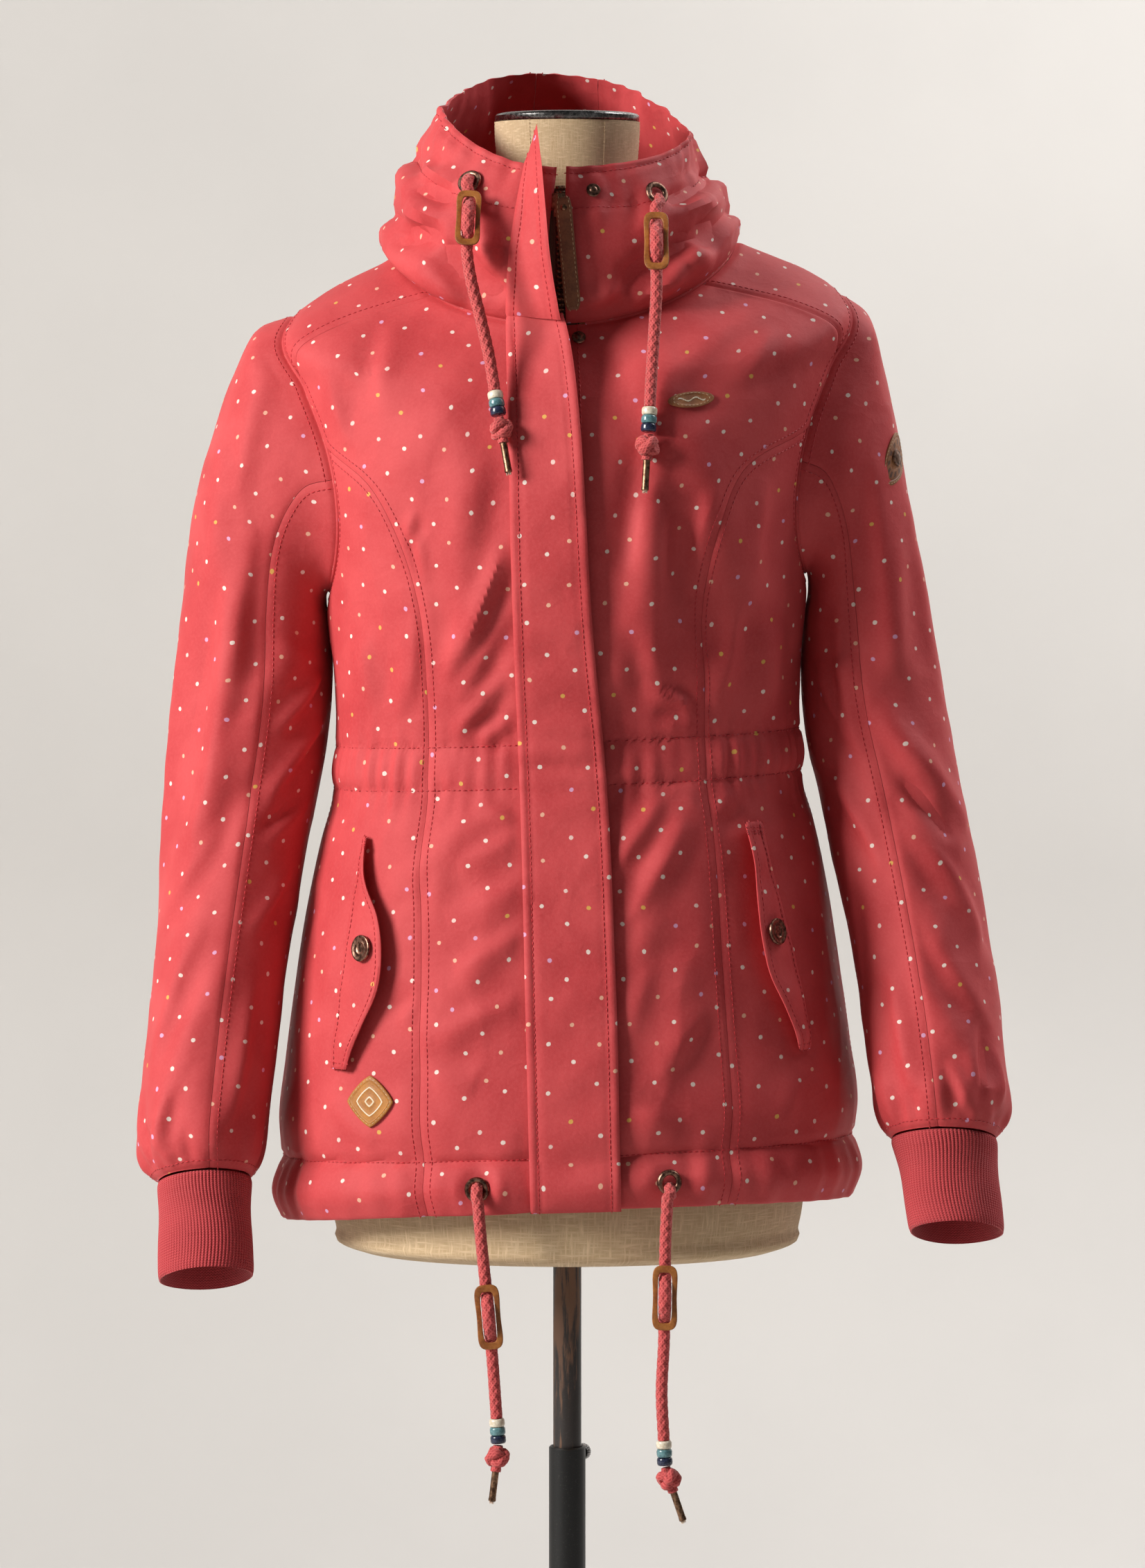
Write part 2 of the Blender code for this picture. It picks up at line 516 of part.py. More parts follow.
def tube_section(table, turn, station):
    """A ring of a sleeve or cuff, on the wearer's left, and the direction out of it."""
    across = 0.5 * (table.at("x_out", station) - table.at("x_in", station))
    climb = 0.5 * (table.at("z_out", station) - table.at("z_in", station))
    depth = table.at("depth", station)
    cosine = np.cos(turn)
    sine = np.sin(turn)
    x = 0.5 * (table.at("x_out", station) + table.at("x_in", station)) + across * cosine
    y = table.at("y_mid", station) - depth * sine
    z = 0.5 * (table.at("z_out", station) + table.at("z_in", station)) + climb * cosine
    z = z + depth * sine * np.tan(np.radians(table.at("pitch", station)))
    reach = np.hypot(across, climb)
    out = np.stack([across * cosine / reach, -sine, climb * cosine / reach], -1)
    out = out / np.linalg.norm(out, axis=-1, keepdims=True)
    return np.stack([x, y, z], -1), out


def mirrored(points, side):
    return points * np.array([SIDES[side], 1.0, 1.0])


def armhole_theta(theta, side, about=-math.pi / 2):
    """The same place on the wearer's right, on the branch that runs through `about`."""
    return theta if SIDES[side] > 0 else 2 * about - theta


def sleeve_face(side, turn, station):
    """Outer face of a sleeve, which starts on the armhole of the body."""
    turn, station = np.broadcast_arrays(turn, station)
    points, out = tube_section(SLEEVE[side], turn, station)
    start = tube_section(SLEEVE[side], turn, np.zeros(turn.shape))[0]
    theta, level = armhole(turn)
    root = mirrored(body_face(armhole_theta(theta, side), level), side)
    fade = np.clip(1 - station / ROOT_FADE, 0.0, 1.0)[..., None] ** 2
    signed_turn = (turn + math.pi) % (2 * math.pi) - math.pi
    folds = [(math.radians(t1) * SLEEVE_RADIUS, s1 * SLEEVE_STEP,
              math.radians(t2) * SLEEVE_RADIUS, s2 * SLEEVE_STEP, width, height)
             for t1, s1, t2, s2, width, height in SLEEVE_FOLDS[side]]
    push = creases(signed_turn * SLEEVE_RADIUS, station * SLEEVE_STEP, folds)
    gather = np.exp(-((station - SLEEVE_SECTIONS + 0.9) / 0.8) ** 2)
    push = push + GATHER_HEIGHT * gather * np.cos(GATHERS * turn)
    push = push * np.clip(station, 0, 1) * np.clip((SLEEVE_SECTIONS - station) / 0.5, 0, 1)
    return mirrored(points + fade * (root - start) + out * push[..., None], side)


def face_normal(face, first, second, first_step=0.01, second_step=0.003):
    """Unit direction out of a face, from small steps on it."""
    along = face(first + first_step, second) - face(first - first_step, second)
    up = face(first, second + second_step) - face(first, second - second_step)
    normal = np.cross(along, up)
    return normal / np.linalg.norm(normal, axis=-1, keepdims=True)


def hang(points):
    """The whole coat hangs a little higher on the wearer's left."""
    points = np.array(points, float)
    points[..., 2] += LEAN * points[..., 0]
    return points


# ---------------------------------------------------------------- seam lines, as angle and level
ARM_COUNTS = {"yoke": 8, "front": 3, "side_front": 6, "back": 3, "side_back": 6}
ROWS_BELOW = 12          # rows of a panel up to the princess seam's end
NECK_FRONT_COUNT = 4
NECK_BACK_COUNT = 6
YOKE_COUNT = 3


def through(points, count):
    """Evenly spaced points on a smooth curve through these points."""
    points = np.array(points, float)
    chords = np.linalg.norm(np.diff(points, axis=0), axis=1)
    knots = np.concatenate([[0.0], np.cumsum(chords)])
    fine = np.linspace(0, knots[-1], 400)
    curve = np.stack([smooth(knots, points[:, i], fine) for i in range(points.shape[1])], -1)
    length = np.concatenate([[0.0], np.cumsum(np.linalg.norm(np.diff(curve, axis=0), axis=1))])
    wanted = np.linspace(0, length[-1], count + 1)
    return np.stack([np.interp(wanted, length, curve[:, i]) for i in range(points.shape[1])], -1)


def angle_at_x(table, x, level, front=True):
    """Angle on a ring of the table where it has this x."""
    share = np.clip(np.abs(x) / table.half(level, np.sign(x)), 0, 1) ** (table.at("square", level) / 2)
    angle = np.arccos(np.sign(x) * share)
    return -angle if front else angle


def arm_line(first, last, count):
    theta, level = armhole(np.radians(np.linspace(first, last, count + 1)))
    return np.stack([theta, level], -1)


def level_line(level, first, last, count):
    theta = np.linspace(first, last, count + 1)
    return np.stack([theta, np.full(theta.shape, level)], -1)


def princess(rows, end_turn, front):
    """A princess seam from the hem to the armhole."""
    heading = 0.19       # makes angles and levels alike in length
    points = [(heading * float(angle_at_x(BODY, x, level, front)), level) for x, level in rows]
    theta, level = armhole(math.radians(end_turn))
    points.append((heading * theta, level))
    line = through(points, ROWS_BELOW)
    return line / np.array([heading, 1.0])


def straight(start, end, count):
    part = np.linspace(0, 1, count + 1)[:, None]
    return (1 - part) * np.array(start) + part * np.array(end)


def closure_x(level):
    return CLOSURE_X + CLOSURE_DRIFT * (NECK - level)


def centre_line(side, count):
    level = np.linspace(HEM, NECK, count + 1)
    x = closure_x(level) + SIDES[side] * CLOSURE_HALF
    return np.stack([angle_at_x(BODY, x, level), level], -1)


def to_side(line, side, about=-math.pi / 2):
    """A line of the wearer's left, on the wearer's own side."""
    line = np.array(line)
    if SIDES[side] < 0:
        line[:, 0] = 2 * about - line[:, 0]
    return line


def join(*lines):
    return np.concatenate([lines[0]] + [line[1:] for line in lines[1:]])


def fill(bottom, top, left, right):
    """Grid of places between four lines; the grid runs along the bottom, then up the left."""
    across = np.linspace(0, 1, len(bottom))[:, None, None]
    up = np.linspace(0, 1, len(left))[None, :, None]
    ruled = (1 - up) * bottom[:, None] + up * top[:, None] + (1 - across) * left[None] + across * right[None]
    corners = ((1 - across) * (1 - up) * bottom[0] + across * (1 - up) * bottom[-1]
               + (1 - across) * up * top[0] + across * up * top[-1])
    return ruled - corners


def panel_places():
    """Every panel of the body as a grid of angles and levels."""
    panels = {}
    yoke_front = straight((YOKE_FRONT_NECK, NECK), arm_line(YOKE_FRONT_TURN, 0, 1)[0], YOKE_COUNT)
    yoke_back = straight((YOKE_BACK_NECK, NECK), arm_line(YOKE_BACK_TURN, 0, 1)[0], YOKE_COUNT)
    behind = math.pi / 2
    back_edges = {}
    for side in SIDES:
        front_seam = to_side(princess(PRINCESS_FRONT[side], PRINCESS_FRONT_TURN, True), side)
        back_seam = to_side(princess(PRINCESS_BACK, PRINCESS_BACK_TURN, False), side, behind)
        arm_front = arm_line(PRINCESS_FRONT_TURN, YOKE_FRONT_TURN, ARM_COUNTS["front"])
        arm_back = arm_line(PRINCESS_BACK_TURN, YOKE_BACK_TURN, ARM_COUNTS["back"])
        arm_low_front = arm_line(PRINCESS_FRONT_TURN, 180, ARM_COUNTS["side_front"])
        arm_low_back = arm_line(-180, PRINCESS_BACK_TURN, ARM_COUNTS["side_back"])
        arm_top = arm_line(YOKE_FRONT_TURN, YOKE_BACK_TURN, ARM_COUNTS["yoke"])
        centre = centre_line(side, ROWS_BELOW + ARM_COUNTS["front"])
        junction = to_side([(YOKE_FRONT_NECK, NECK)], side)[0, 0]
        neck = level_line(NECK, centre[-1, 0], junction, NECK_FRONT_COUNT)
        columns = NECK_FRONT_COUNT + YOKE_COUNT
        panels["front_" + side] = fill(
            level_line(HEM, centre[0, 0], front_seam[0, 0], columns),
            join(neck, to_side(yoke_front, side)), centre, join(front_seam, to_side(arm_front, side)))
        side_seam = straight((0.0, HEM), (0.0, ARM_MID - ARM_HALF), ROWS_BELOW)
        front_side = to_side(side_seam, side)
        panels["side_front_" + side] = fill(
            level_line(HEM, front_seam[0, 0], front_side[0, 0], ARM_COUNTS["side_front"]),
            to_side(arm_low_front, side), front_seam, front_side)
        back_side = to_side(side_seam, side, behind)
        panels["side_back_" + side] = fill(
            level_line(HEM, back_side[0, 0], back_seam[0, 0], ARM_COUNTS["side_back"]),
            to_side(arm_low_back, side, behind), back_side, back_seam)
        panels["yoke_" + side] = fill(
            level_line(NECK, junction, to_side([(YOKE_BACK_NECK, NECK)], side)[0, 0], ARM_COUNTS["yoke"]),
            to_side(arm_top, side), to_side(yoke_front, side), to_side(yoke_back, side))
        back_edges[side] = (join(back_seam, to_side(arm_back, side, behind)),
                            to_side(yoke_back, side, behind))
    left_edge, left_yoke = back_edges["left"]
    right_edge, right_yoke = back_edges["right"]
    neck = level_line(NECK, left_yoke[0, 0], right_yoke[0, 0], NECK_BACK_COUNT)
    columns = NECK_BACK_COUNT + 2 * YOKE_COUNT
    panels["back"] = fill(level_line(HEM, left_edge[0, 0], right_edge[0, 0], columns),
                          join(left_yoke[::-1], neck, right_yoke), left_edge, right_edge)
    return panels


# ---------------------------------------------------------------- making solids
PARTS = bpy.data.collections.new("hooded_parka_on_dress_form")
CUTTERS = bpy.data.collections.new("cutters")


def clear_scene():
    for item in list(bpy.data.objects):
        bpy.data.objects.remove(item, do_unlink=True)
    bpy.context.scene.collection.children.link(PARTS)
    bpy.context.scene.collection.children.link(CUTTERS)


def finish_of(name, kind):
    """A material of one piece, in the colour of its kind."""
    material = bpy.data.materials.new(name)
    material.use_nodes = True
    shader = material.node_tree.nodes["Principled BSDF"]
    shader.inputs["Base Color"].default_value = (*COLOURS[kind], 1.0)
    shader.inputs["Roughness"].default_value = ROUGHNESS[kind]
    shader.inputs["Metallic"].default_value = METALS.get(kind, 0.0)
    return material


def add_object(name, data, kind):
    item = bpy.data.objects.new(name, data)
    data.materials.append(finish_of(name, kind))
    PARTS.objects.link(item)
    return item


def add_mesh(name, points, faces, kind, sharp=math.radians(50)):
    data = bpy.data.meshes.new(name)
    data.from_pydata([tuple(point) for point in points], [], faces)
    data.validate()
    data.shade_smooth()
    data.set_sharp_from_angle(angle=sharp)
    return add_object(name, data, kind)


SPLIT_WAY = np.array([0.31, 0.17, 0.93])   # picks the same diagonal on both sides of a seam


def draw_in(grid, gap=SEAM_GAP / 2):
    """Draw the four edges of a grid in, which leaves room at each seam."""
    grid = np.array(grid)
    for lines in (grid, grid.swapaxes(0, 1)):
        for edge, beside in ((0, 1), (-1, -2)):
            way = lines[beside] - lines[edge]
            lines[edge] += gap * way / np.linalg.norm(way, axis=-1, keepdims=True)
    return grid


def grid_faces(columns, rows, start, wrap=False):
    """Quads of a grid of points that starts at a number."""
    faces = []
    for i in range(columns if wrap else columns - 1):
        for j in range(rows - 1):
            here = start + i * rows + j
            there = start + (i + 1) % columns * rows + j
            faces.append((here, there, there + 1, here + 1))
    return faces


def add_wall(name, outer, inner, kind="cloth"):
    """A closed wall between two grids of the same size."""
    columns, rows = outer.shape[:2]
    count = columns * rows
    flat = outer.reshape(-1, 3)
    faces = []
    for a, b, c, d in grid_faces(columns, rows, 0):
        if np.linalg.norm(flat[a] - flat[c]) < np.linalg.norm(flat[b] - flat[d]):
            halves = [(a, b, c), (a, c, d)]
        else:
            halves = [(a, b, d), (b, c, d)]
        faces += halves + [tuple(point + count for point in reversed(half)) for half in halves]
    rim = [i * rows for i in range(columns)]
    rim += [(columns - 1) * rows + j for j in range(1, rows)]
    rim += [i * rows + rows - 1 for i in range(columns - 2, -1, -1)]
    rim += [j for j in range(rows - 2, 0, -1)]
    height = flat @ SPLIT_WAY
    for here, there in zip(rim, rim[1:] + rim[:1]):
        if height[here] < height[there]:
            faces += [(there, here, here + count), (there, here + count, there + count)]
        else:
            faces += [(there, here, there + count), (here, here + count, there + count)]
    i = (columns - 1) // 2
    j = (rows - 1) // 2
    way = np.cross(outer[i + 1, j] - outer[i, j], outer[i, j + 1] - outer[i, j])
    if np.dot(way, outer[i, j] - inner[i, j]) < 0:
        faces = [face[::-1] for face in faces]
    points = np.concatenate([outer.reshape(-1, 3), inner.reshape(-1, 3)])
    return add_mesh(name, points, faces, kind)


def strip_on(name, base, normal, low, high, kind="cloth"):
    """A wall that lies on a face: the face's points moved out by low and by high."""
    return add_wall(name, hang(base + normal * high), hang(base + normal * low), kind)


# ---------------------------------------------------------------- the coat
def body_panels():
    for name, places in panel_places().items():
        theta = places[..., 0]
        level = places[..., 1]
        outer = body_face(theta, level)
        inner = outer - WALL * face_normal(body_face, theta, level)
        add_wall(name, hang(draw_in(outer)), hang(draw_in(inner)))


def sleeve_turns():
    """The armhole's places, in the order and number in which the panels meet it."""
    stretches = ((-180, PRINCESS_BACK_TURN, "side_back"), (PRINCESS_BACK_TURN, YOKE_BACK_TURN, "back"),
                 (YOKE_BACK_TURN, YOKE_FRONT_TURN, "yoke"), (YOKE_FRONT_TURN, PRINCESS_FRONT_TURN, "front"),
                 (PRINCESS_FRONT_TURN, 180, "side_front"))
    lines = [np.linspace(first, last, ARM_COUNTS[name] + 1)[:, None] for first, last, name in stretches]
    return np.radians(join(*lines)[:, 0])


SLEEVE_BACK_SEAM = 5     # the armhole place where each sleeve seam starts
SLEEVE_FRONT_SEAM = 22


def sleeves():
    turns = sleeve_turns()
    last = len(turns) - 1
    below = np.concatenate([turns[SLEEVE_FRONT_SEAM:last], turns[:SLEEVE_BACK_SEAM + 1] + 2 * math.pi])
    cuts = {"top": turns[SLEEVE_BACK_SEAM:SLEEVE_FRONT_SEAM + 1], "under": below}
    stations = np.linspace(0, SLEEVE_SECTIONS, SLEEVE_SECTIONS + 1)[None, :]
    for side in SIDES:
        def face(turn, station):
            return sleeve_face(side, turn, station)
        for part, turn in cuts.items():
            turn = turn[:, None] + 0 * stations
            station = stations + 0 * turn
            outer = face(turn, station)
            normal = face_normal(face, turn, station, 0.02, 0.05) * SIDES[side]
            inner = outer - WALL * normal
            theta, level = armhole(turn[:, 0])
            theta = armhole_theta(theta, side)
            inner[:, 0] = body_face(theta, level) - WALL * face_normal(body_face, theta, level)
            add_wall(f"sleeve_{part}_{side}", hang(draw_in(outer)), hang(draw_in(inner)))


def cuffs():
    """Rib cuffs: raised ribs outside, plain inside."""
    many = 2 * RIB_COUNT
    ratio = many // CUFF_INNER_POINTS
    for side in SIDES:
        turn = (np.arange(many) * 2 * math.pi / many)[:, None]
        station = np.array([0.012, 1.0, 2.0])[None, :]
        outer, out = tube_section(CUFF[side], turn + 0 * station, station + 0 * turn)
        ribs = RIB_DEPTH * (np.arange(many) % 2)[:, None]
        outer = mirrored(outer + out * (ribs - RIB_DEPTH)[..., None], side)
        turn = turn[::ratio]
        plain, out = tube_section(CUFF[side], turn + 0 * station, station + 0 * turn)
        inner = mirrored(plain - CUFF_WALL * out, side)
        rows = station.size
        start = many * rows
        faces = grid_faces(many, rows, 0, wrap=True)
        faces += [face[::-1] for face in grid_faces(CUFF_INNER_POINTS, rows, start, wrap=True)]
        for i in range(CUFF_INNER_POINTS):
            after = (i + 1) % CUFF_INNER_POINTS
            outside = [(i * ratio + k) % many * rows for k in range(ratio + 1)]
            inside = [start + after * rows, start + i * rows]
            faces.append(tuple(reversed(outside + inside)))
            faces.append(tuple(point + rows - 1 for point in outside + inside))
        if SIDES[side] < 0:
            faces = [face[::-1] for face in faces]
        points = hang(np.concatenate([outer.reshape(-1, 3), inner.reshape(-1, 3)]))
        add_mesh(f"cuff_{side}", points, faces, "rib")


HOOD_CENTRE_FROM = 2     # places of the back neck on each side of the hood's centre strip


def hood():
    """Two side panels and a centre strip, from the neck seam to the rim."""
    levels = np.linspace(0, HOOD_SECTIONS, HOOD_SECTIONS + 1)[None, :]
    neck = {}
    for side in SIDES:
        x = closure_x(NECK) + SIDES[side] * CLOSURE_HALF
        centre = float(angle_at_x(BODY, x, NECK))
        front = to_side([(YOKE_FRONT_NECK, NECK)], side)[0, 0]
        back = to_side([(YOKE_BACK_NECK, NECK)], side)[0, 0]
        neck[side] = join(level_line(0, centre, front, NECK_FRONT_COUNT),
                          level_line(0, front, back, ARM_COUNTS["yoke"]))[:, 0]
    across = np.linspace(neck["left"][-1], math.pi - YOKE_BACK_NECK, NECK_BACK_COUNT + 1)
    right_turn = 2 * math.pi
    cuts = {
        "hood_left": np.concatenate([neck["left"], across[1:HOOD_CENTRE_FROM + 1]]),
        "hood_centre": across[HOOD_CENTRE_FROM:NECK_BACK_COUNT - HOOD_CENTRE_FROM + 1],
        "hood_right": np.concatenate([neck["right"] + right_turn,
                                      across[NECK_BACK_COUNT - HOOD_CENTRE_FROM:-1][::-1]]),
    }
    for name, angles in cuts.items():
        theta = angles[:, None] + 0 * levels
        level = levels + 0 * theta
        outer = hood_face(theta, level)
        inner = outer - WALL * face_normal(hood_face, theta, level, 0.01, 0.05)
        add_wall(name, hang(draw_in(outer)), hang(draw_in(inner)))


def front_place(x, level, on_hood):
    """A place on the front of the body or of the hood by its x, and the direction out."""
    table = HOOD if on_hood else BODY
    face = hood_face if on_hood else body_face
    theta = angle_at_x(table, x, level)
    return face(theta, level), face_normal(face, theta, level, 0.01, 0.05 if on_hood else 0.003)


def closure_rows():
    """Rows up the closure: those of the fronts, then those of the hood."""
    rows = [(level, False) for level in np.linspace(HEM, NECK, ROWS_BELOW + ARM_COUNTS["front"] + 1)]
    rows += [(float(level), True) for level in range(1, HOOD_SECTIONS + 1)]
    return rows


def storm_flap():
    base = []
    normals = []
    offsets = []
    for level, on_hood in closure_rows():
        middle = front_place(np.array([closure_x(NECK)]), np.array([level]), on_hood)[0]
        height = middle[0, 2]
        part = np.linspace(0, 1, FLAP_STRIPS + 1)
        x = (1 - part) * FLAP.at("sewn_x", height) + part * FLAP.at("free_x", height)
        points, normal = front_place(x, np.full(x.shape, level), on_hood)
        points[:, 2] += part * FLAP.at("rise", height)
        base.append(points)
        normals.append(normal)
        offsets.append(FLAP_CLEAR + part ** FLAP_LIFT_POWER * FLAP.at("lift", height))
    base = np.array(base).swapaxes(0, 1)
    normal = np.array(normals).swapaxes(0, 1)
    low = np.array(offsets).T[..., None]
    strip_on("storm_flap", base, normal, low, low + FLAP_THICK)


def zip_tape():
    base = []
    normals = []
    for level, on_hood in closure_rows():
        if on_hood and level > HOOD_SECTIONS - 1 or not on_hood and level < TAPE_FROM:
            continue
        centre = closure_x(NECK if on_hood else level)
        x = centre + TAPE_HALF * np.array([-1.0, 0.0, 1.0])
        points, normal = front_place(x, np.full(x.shape, level), on_hood)
        base.append(points)
        normals.append(normal)
    base = np.array(base).swapaxes(0, 1)
    normal = np.array(normals).swapaxes(0, 1)
    high = -WALL - TAPE_DEPTH
    strip_on("zip_tape", base, normal, high - TAPE_THICK, high, "tape")


def pocket_places(side, part, z):
    """Places of a pocket flap over the side front, and how far it stands off there."""
    x = (1 - part) * POCKET.at("hinge_" + side, z) + part * POCKET.at("free_" + side, z)
    points, normal = front_place(x * SIDES[side], z + 0 * part, False)
    return points, normal, POCKET_CLEAR + part * POCKET.at("lift", z)


def pocket_flaps():
    z = np.linspace(POCKET_ROWS[-1][0], POCKET_ROWS[0][0], POCKET_ROW_COUNT)[None, :]
    part = np.linspace(0, 1, POCKET_STRIPS + 1)[:, None]
    for side in SIDES:
        points, normal, off = pocket_places(side, part, z)
        strip_on("pocket_flap_" + side, points, normal, off[..., None], off[..., None] + POCKET_THICK)


def frame_at(point, normal):
    """Matrix that stands +Z along a direction at a place of the hung coat, with +Y up."""
    normal = Vector(normal).normalized()
    across = Vector((0, 0, 1)).cross(normal).normalized()
    up = normal.cross(across)
    place = Matrix((across, up, normal)).transposed().to_4x4()
    place.translation = Vector(hang(point))
    return place


def add_button(name, point, normal, radius, height, lift, kind):
    """A low round piece with a turned-in top, standing off its cloth."""
    bm = bmesh.new()
    place = frame_at(point, normal) @ Matrix.Translation((0, 0, lift + height / 2))
    bmesh.ops.create_cone(bm, cap_ends=True, segments=16, radius1=radius, radius2=radius * 0.8,
                          depth=height, matrix=place)
    data = bpy.data.meshes.new(name)
    bm.to_mesh(data)
    bm.free()
    data.shade_smooth()
    data.set_sharp_from_angle(angle=math.radians(40))
    return add_object(name, data, kind)


def fastenings():
    """Snap studs on the front and snaps on the pocket flaps."""
    for name, (x, level, where) in STUDS.items():
        point, normal = front_place(np.array([x]), np.array([level]), where == "hood")
        add_button(name, point[0], normal[0], STUD_RADIUS, STUD_HEIGHT, STUD_CLEAR, "copper")
    height, share = POCKET_SNAP
    for side in SIDES:
        def face(part, z):
            points, normal, off = pocket_places(side, part, z)
            return points + normal * (off[..., None] + POCKET_THICK)
        part = np.array([share])
        z = np.array([height])
        out = face_normal(face, part, z, 0.15, 0.008)[0]
        out = out if out[1] < 0 else -out
        add_button("snap_pocket_" + side, face(part, z)[0], out, SNAP_RADIUS, SNAP_HEIGHT, SNAP_CLEAR, "copper")


def add_patch(name, place, outline):
    """A thin patch that follows the cloth: a centre, a middle ring and the outline."""
    count = len(outline)
    rings = (1.0, 0.55)
    low = []
    high = []
    spots = [tuple(share * np.array(spot)) for share in rings for spot in outline] + [(0.0, 0.0)]
    for spot in spots:
        point, normal = place(*spot)
        low.append(point + normal * PATCH_CLEAR)
        high.append(point + normal * (PATCH_CLEAR + PATCH_THICK))
    centre = 2 * count
    total = centre + 1
    faces = []
    for i in range(count):
        after = (i + 1) % count
        top = [(i, after, count + after, count + i), (count + i, count + after, centre)]
        faces += top + [tuple(total + point for point in reversed(face)) for face in top]
        faces.append((after, i, total + i, total + after))
    points = hang(np.array(high + low))
    way = np.cross(points[1] - points[0], points[count] - points[0])
    if np.dot(way, points[0] - points[total]) < 0:
        faces = [face[::-1] for face in faces]
    add_mesh(name, points, faces, "leather")


def outline_points(half_width, half_height, power):
    """A squared or pointed oval: power 2 is an oval, below it a rounded diamond."""
    spots = []
    for i in range(PATCH_POINTS):
        angle = 2 * math.pi * i / PATCH_POINTS
        x = math.copysign(abs(math.cos(angle)) ** (2 / power), math.cos(angle))
        y = math.copysign(abs(math.sin(angle)) ** (2 / power), math.sin(angle))
        spots.append((half_width * x, half_height * y))
    return spots


def patches():
    for name, (x, level, half_width, half_height), power in (
            ("patch_chest", OVAL_PATCH, 2.0), ("patch_hem", DIAMOND_PATCH, 1.25)):
        def on_front(across, up):
            point, normal = front_place(np.array([x + across]), np.array([level + up]), False)
            return point[0], normal[0]
        add_patch(name, on_front, outline_points(half_width, half_height, power))

    def on_sleeve(across, up):
        turn = np.array([math.radians(ROUND_PATCH[0]) + across / SLEEVE_RADIUS])
        station = np.array([ROUND_PATCH[1] - up / SLEEVE_STEP])

        def face(first, second):
            return sleeve_face("left", first, second)
        return face(turn, station)[0], face_normal(face, turn, station, 0.02, 0.05)[0]
    add_patch("patch_sleeve", on_sleeve, outline_points(ROUND_PATCH[2], ROUND_PATCH[2], 2.0))


def eyelets():
    for name, (x, level, where) in EYELETS.items():
        point, normal = front_place(np.array([x]), np.array([level]), where == "hood")
        place = frame_at(point[0], normal[0])
        bpy.ops.mesh.primitive_torus_add(major_radius=EYELET_RADIUS, minor_radius=EYELET_WIRE,
                                         major_segments=16, minor_segments=5)
        item = bpy.context.active_object
        data = item.data
        bpy.data.objects.remove(item)
        lift = Matrix.Translation((0, 0, 0.0012 + EYELET_WIRE * EYELET_FLAT))
        data.transform(place @ lift @ Matrix.Diagonal((1, 1, EYELET_FLAT, 1)))
        data.shade_smooth()
        add_object(name, data, "copper")


def add_block(name, size, place, kind, bevel):
    """A block with rounded edges."""
    bm = bmesh.new()
    bmesh.ops.create_cube(bm, size=1.0, matrix=Matrix.Diagonal((*size, 1.0)))
    bmesh.ops.bevel(bm, geom=bm.edges, offset=bevel, segments=1, affect="EDGES")
    data = bpy.data.meshes.new(name)
    bm.to_mesh(data)
    bm.free()
    item = add_object(name, data, kind)
    item.matrix_world = place
    return item


def zip_slider():
    """The slider on the collar, with the leather strap that hangs on it as its pull."""
    x, level = SLIDER
    point, normal = front_place(np.array([x]), np.array([level]), True)
    lift = Matrix.Translation((0, 0, SLIDER_LIFT + SLIDER_SIZE[2] / 2))
    add_block("zip_slider", SLIDER_SIZE, frame_at(point[0], normal[0]) @ lift, "zip", 0.0010)
    place = Matrix.Translation(PULL_HINGE) @ Matrix.Rotation(-PULL_LEAN, 4, "Y")
    strap = add_block("zip_pull", PULL_SIZE, place, "leather", 0.0004)
    strap.data.transform(Matrix.Translation((0, 0, PULL_ABOVE - PULL_SIZE[2] / 2)))


def squared_oval(half_width, half_length, power, count):
    """Points of a squared oval, x and y."""
    angle = np.arange(count) * 2 * math.pi / count
    x = half_width * np.sign(np.cos(angle)) * np.abs(np.cos(angle)) ** (2 / power)
    y = half_length * np.sign(np.sin(angle)) * np.abs(np.sin(angle)) ** (2 / power)
    return np.stack([x, y], -1)


def add_toggle(name, place):
    """A flat leather plate, narrower in the middle, with one slot for the cord."""
    outline = squared_oval(*TOGGLE_HALF, 3.4, TOGGLE_POINTS)
    outline[:, 0] *= TOGGLE_WAIST + (1 - TOGGLE_WAIST) * (outline[:, 1] / TOGGLE_HALF[1]) ** 2
    data = bpy.data.curves.new(name, "CURVE")
    data.dimensions = "2D"
    data.fill_mode = "BOTH"
    data.extrude = TOGGLE_THICK / 2
    for loop in (outline, squared_oval(*TOGGLE_SLOT, 5.0, SLOT_POINTS)):
        spline = data.splines.new("POLY")
        spline.points.add(len(loop) - 1)
        spline.use_cyclic_u = True
        for spot, (x, y) in zip(spline.points, loop):
            spot.co = (x, y, 0.0, 1.0)
    item = add_object(name, data, "leather")
    item.matrix_world = place


def cord_rise(distance):
    """How far a cord comes forward at a distance from the middle of its toggle: two arcs each way."""
    half = CORD_RISE_HALF / 2
    radius = (half ** 2 + (CORD_RISE / 2) ** 2) / CORD_RISE
    off = np.abs(distance)
    near = CORD_RISE - radius + np.sqrt(np.maximum(radius ** 2 - off ** 2, 0.0))
    far = radius - np.sqrt(np.maximum(radius ** 2 - (CORD_RISE_HALF - off) ** 2, 0.0))
    return np.where(off < half, near, np.where(off < CORD_RISE_HALF, far, 0.0))


def stand_on(point, way, front):
    """Matrix with +Y up against the way a cord runs, and +Z towards its front."""
    up = -Vector(way).normalized()
    front = (Vector(front) - Vector(front).dot(up) * up).normalized()
    across = up.cross(front)
    place = Matrix((across, up, front)).transposed().to_4x4()
    place.translation = Vector(point)
    return place


def hang_on(point, way):
    """Matrix for a turned piece that hangs at a point in this direction."""
    place = (-Vector(way)).to_track_quat("Z", "Y").to_matrix().to_4x4()
    place.translation = Vector(point)
    return place


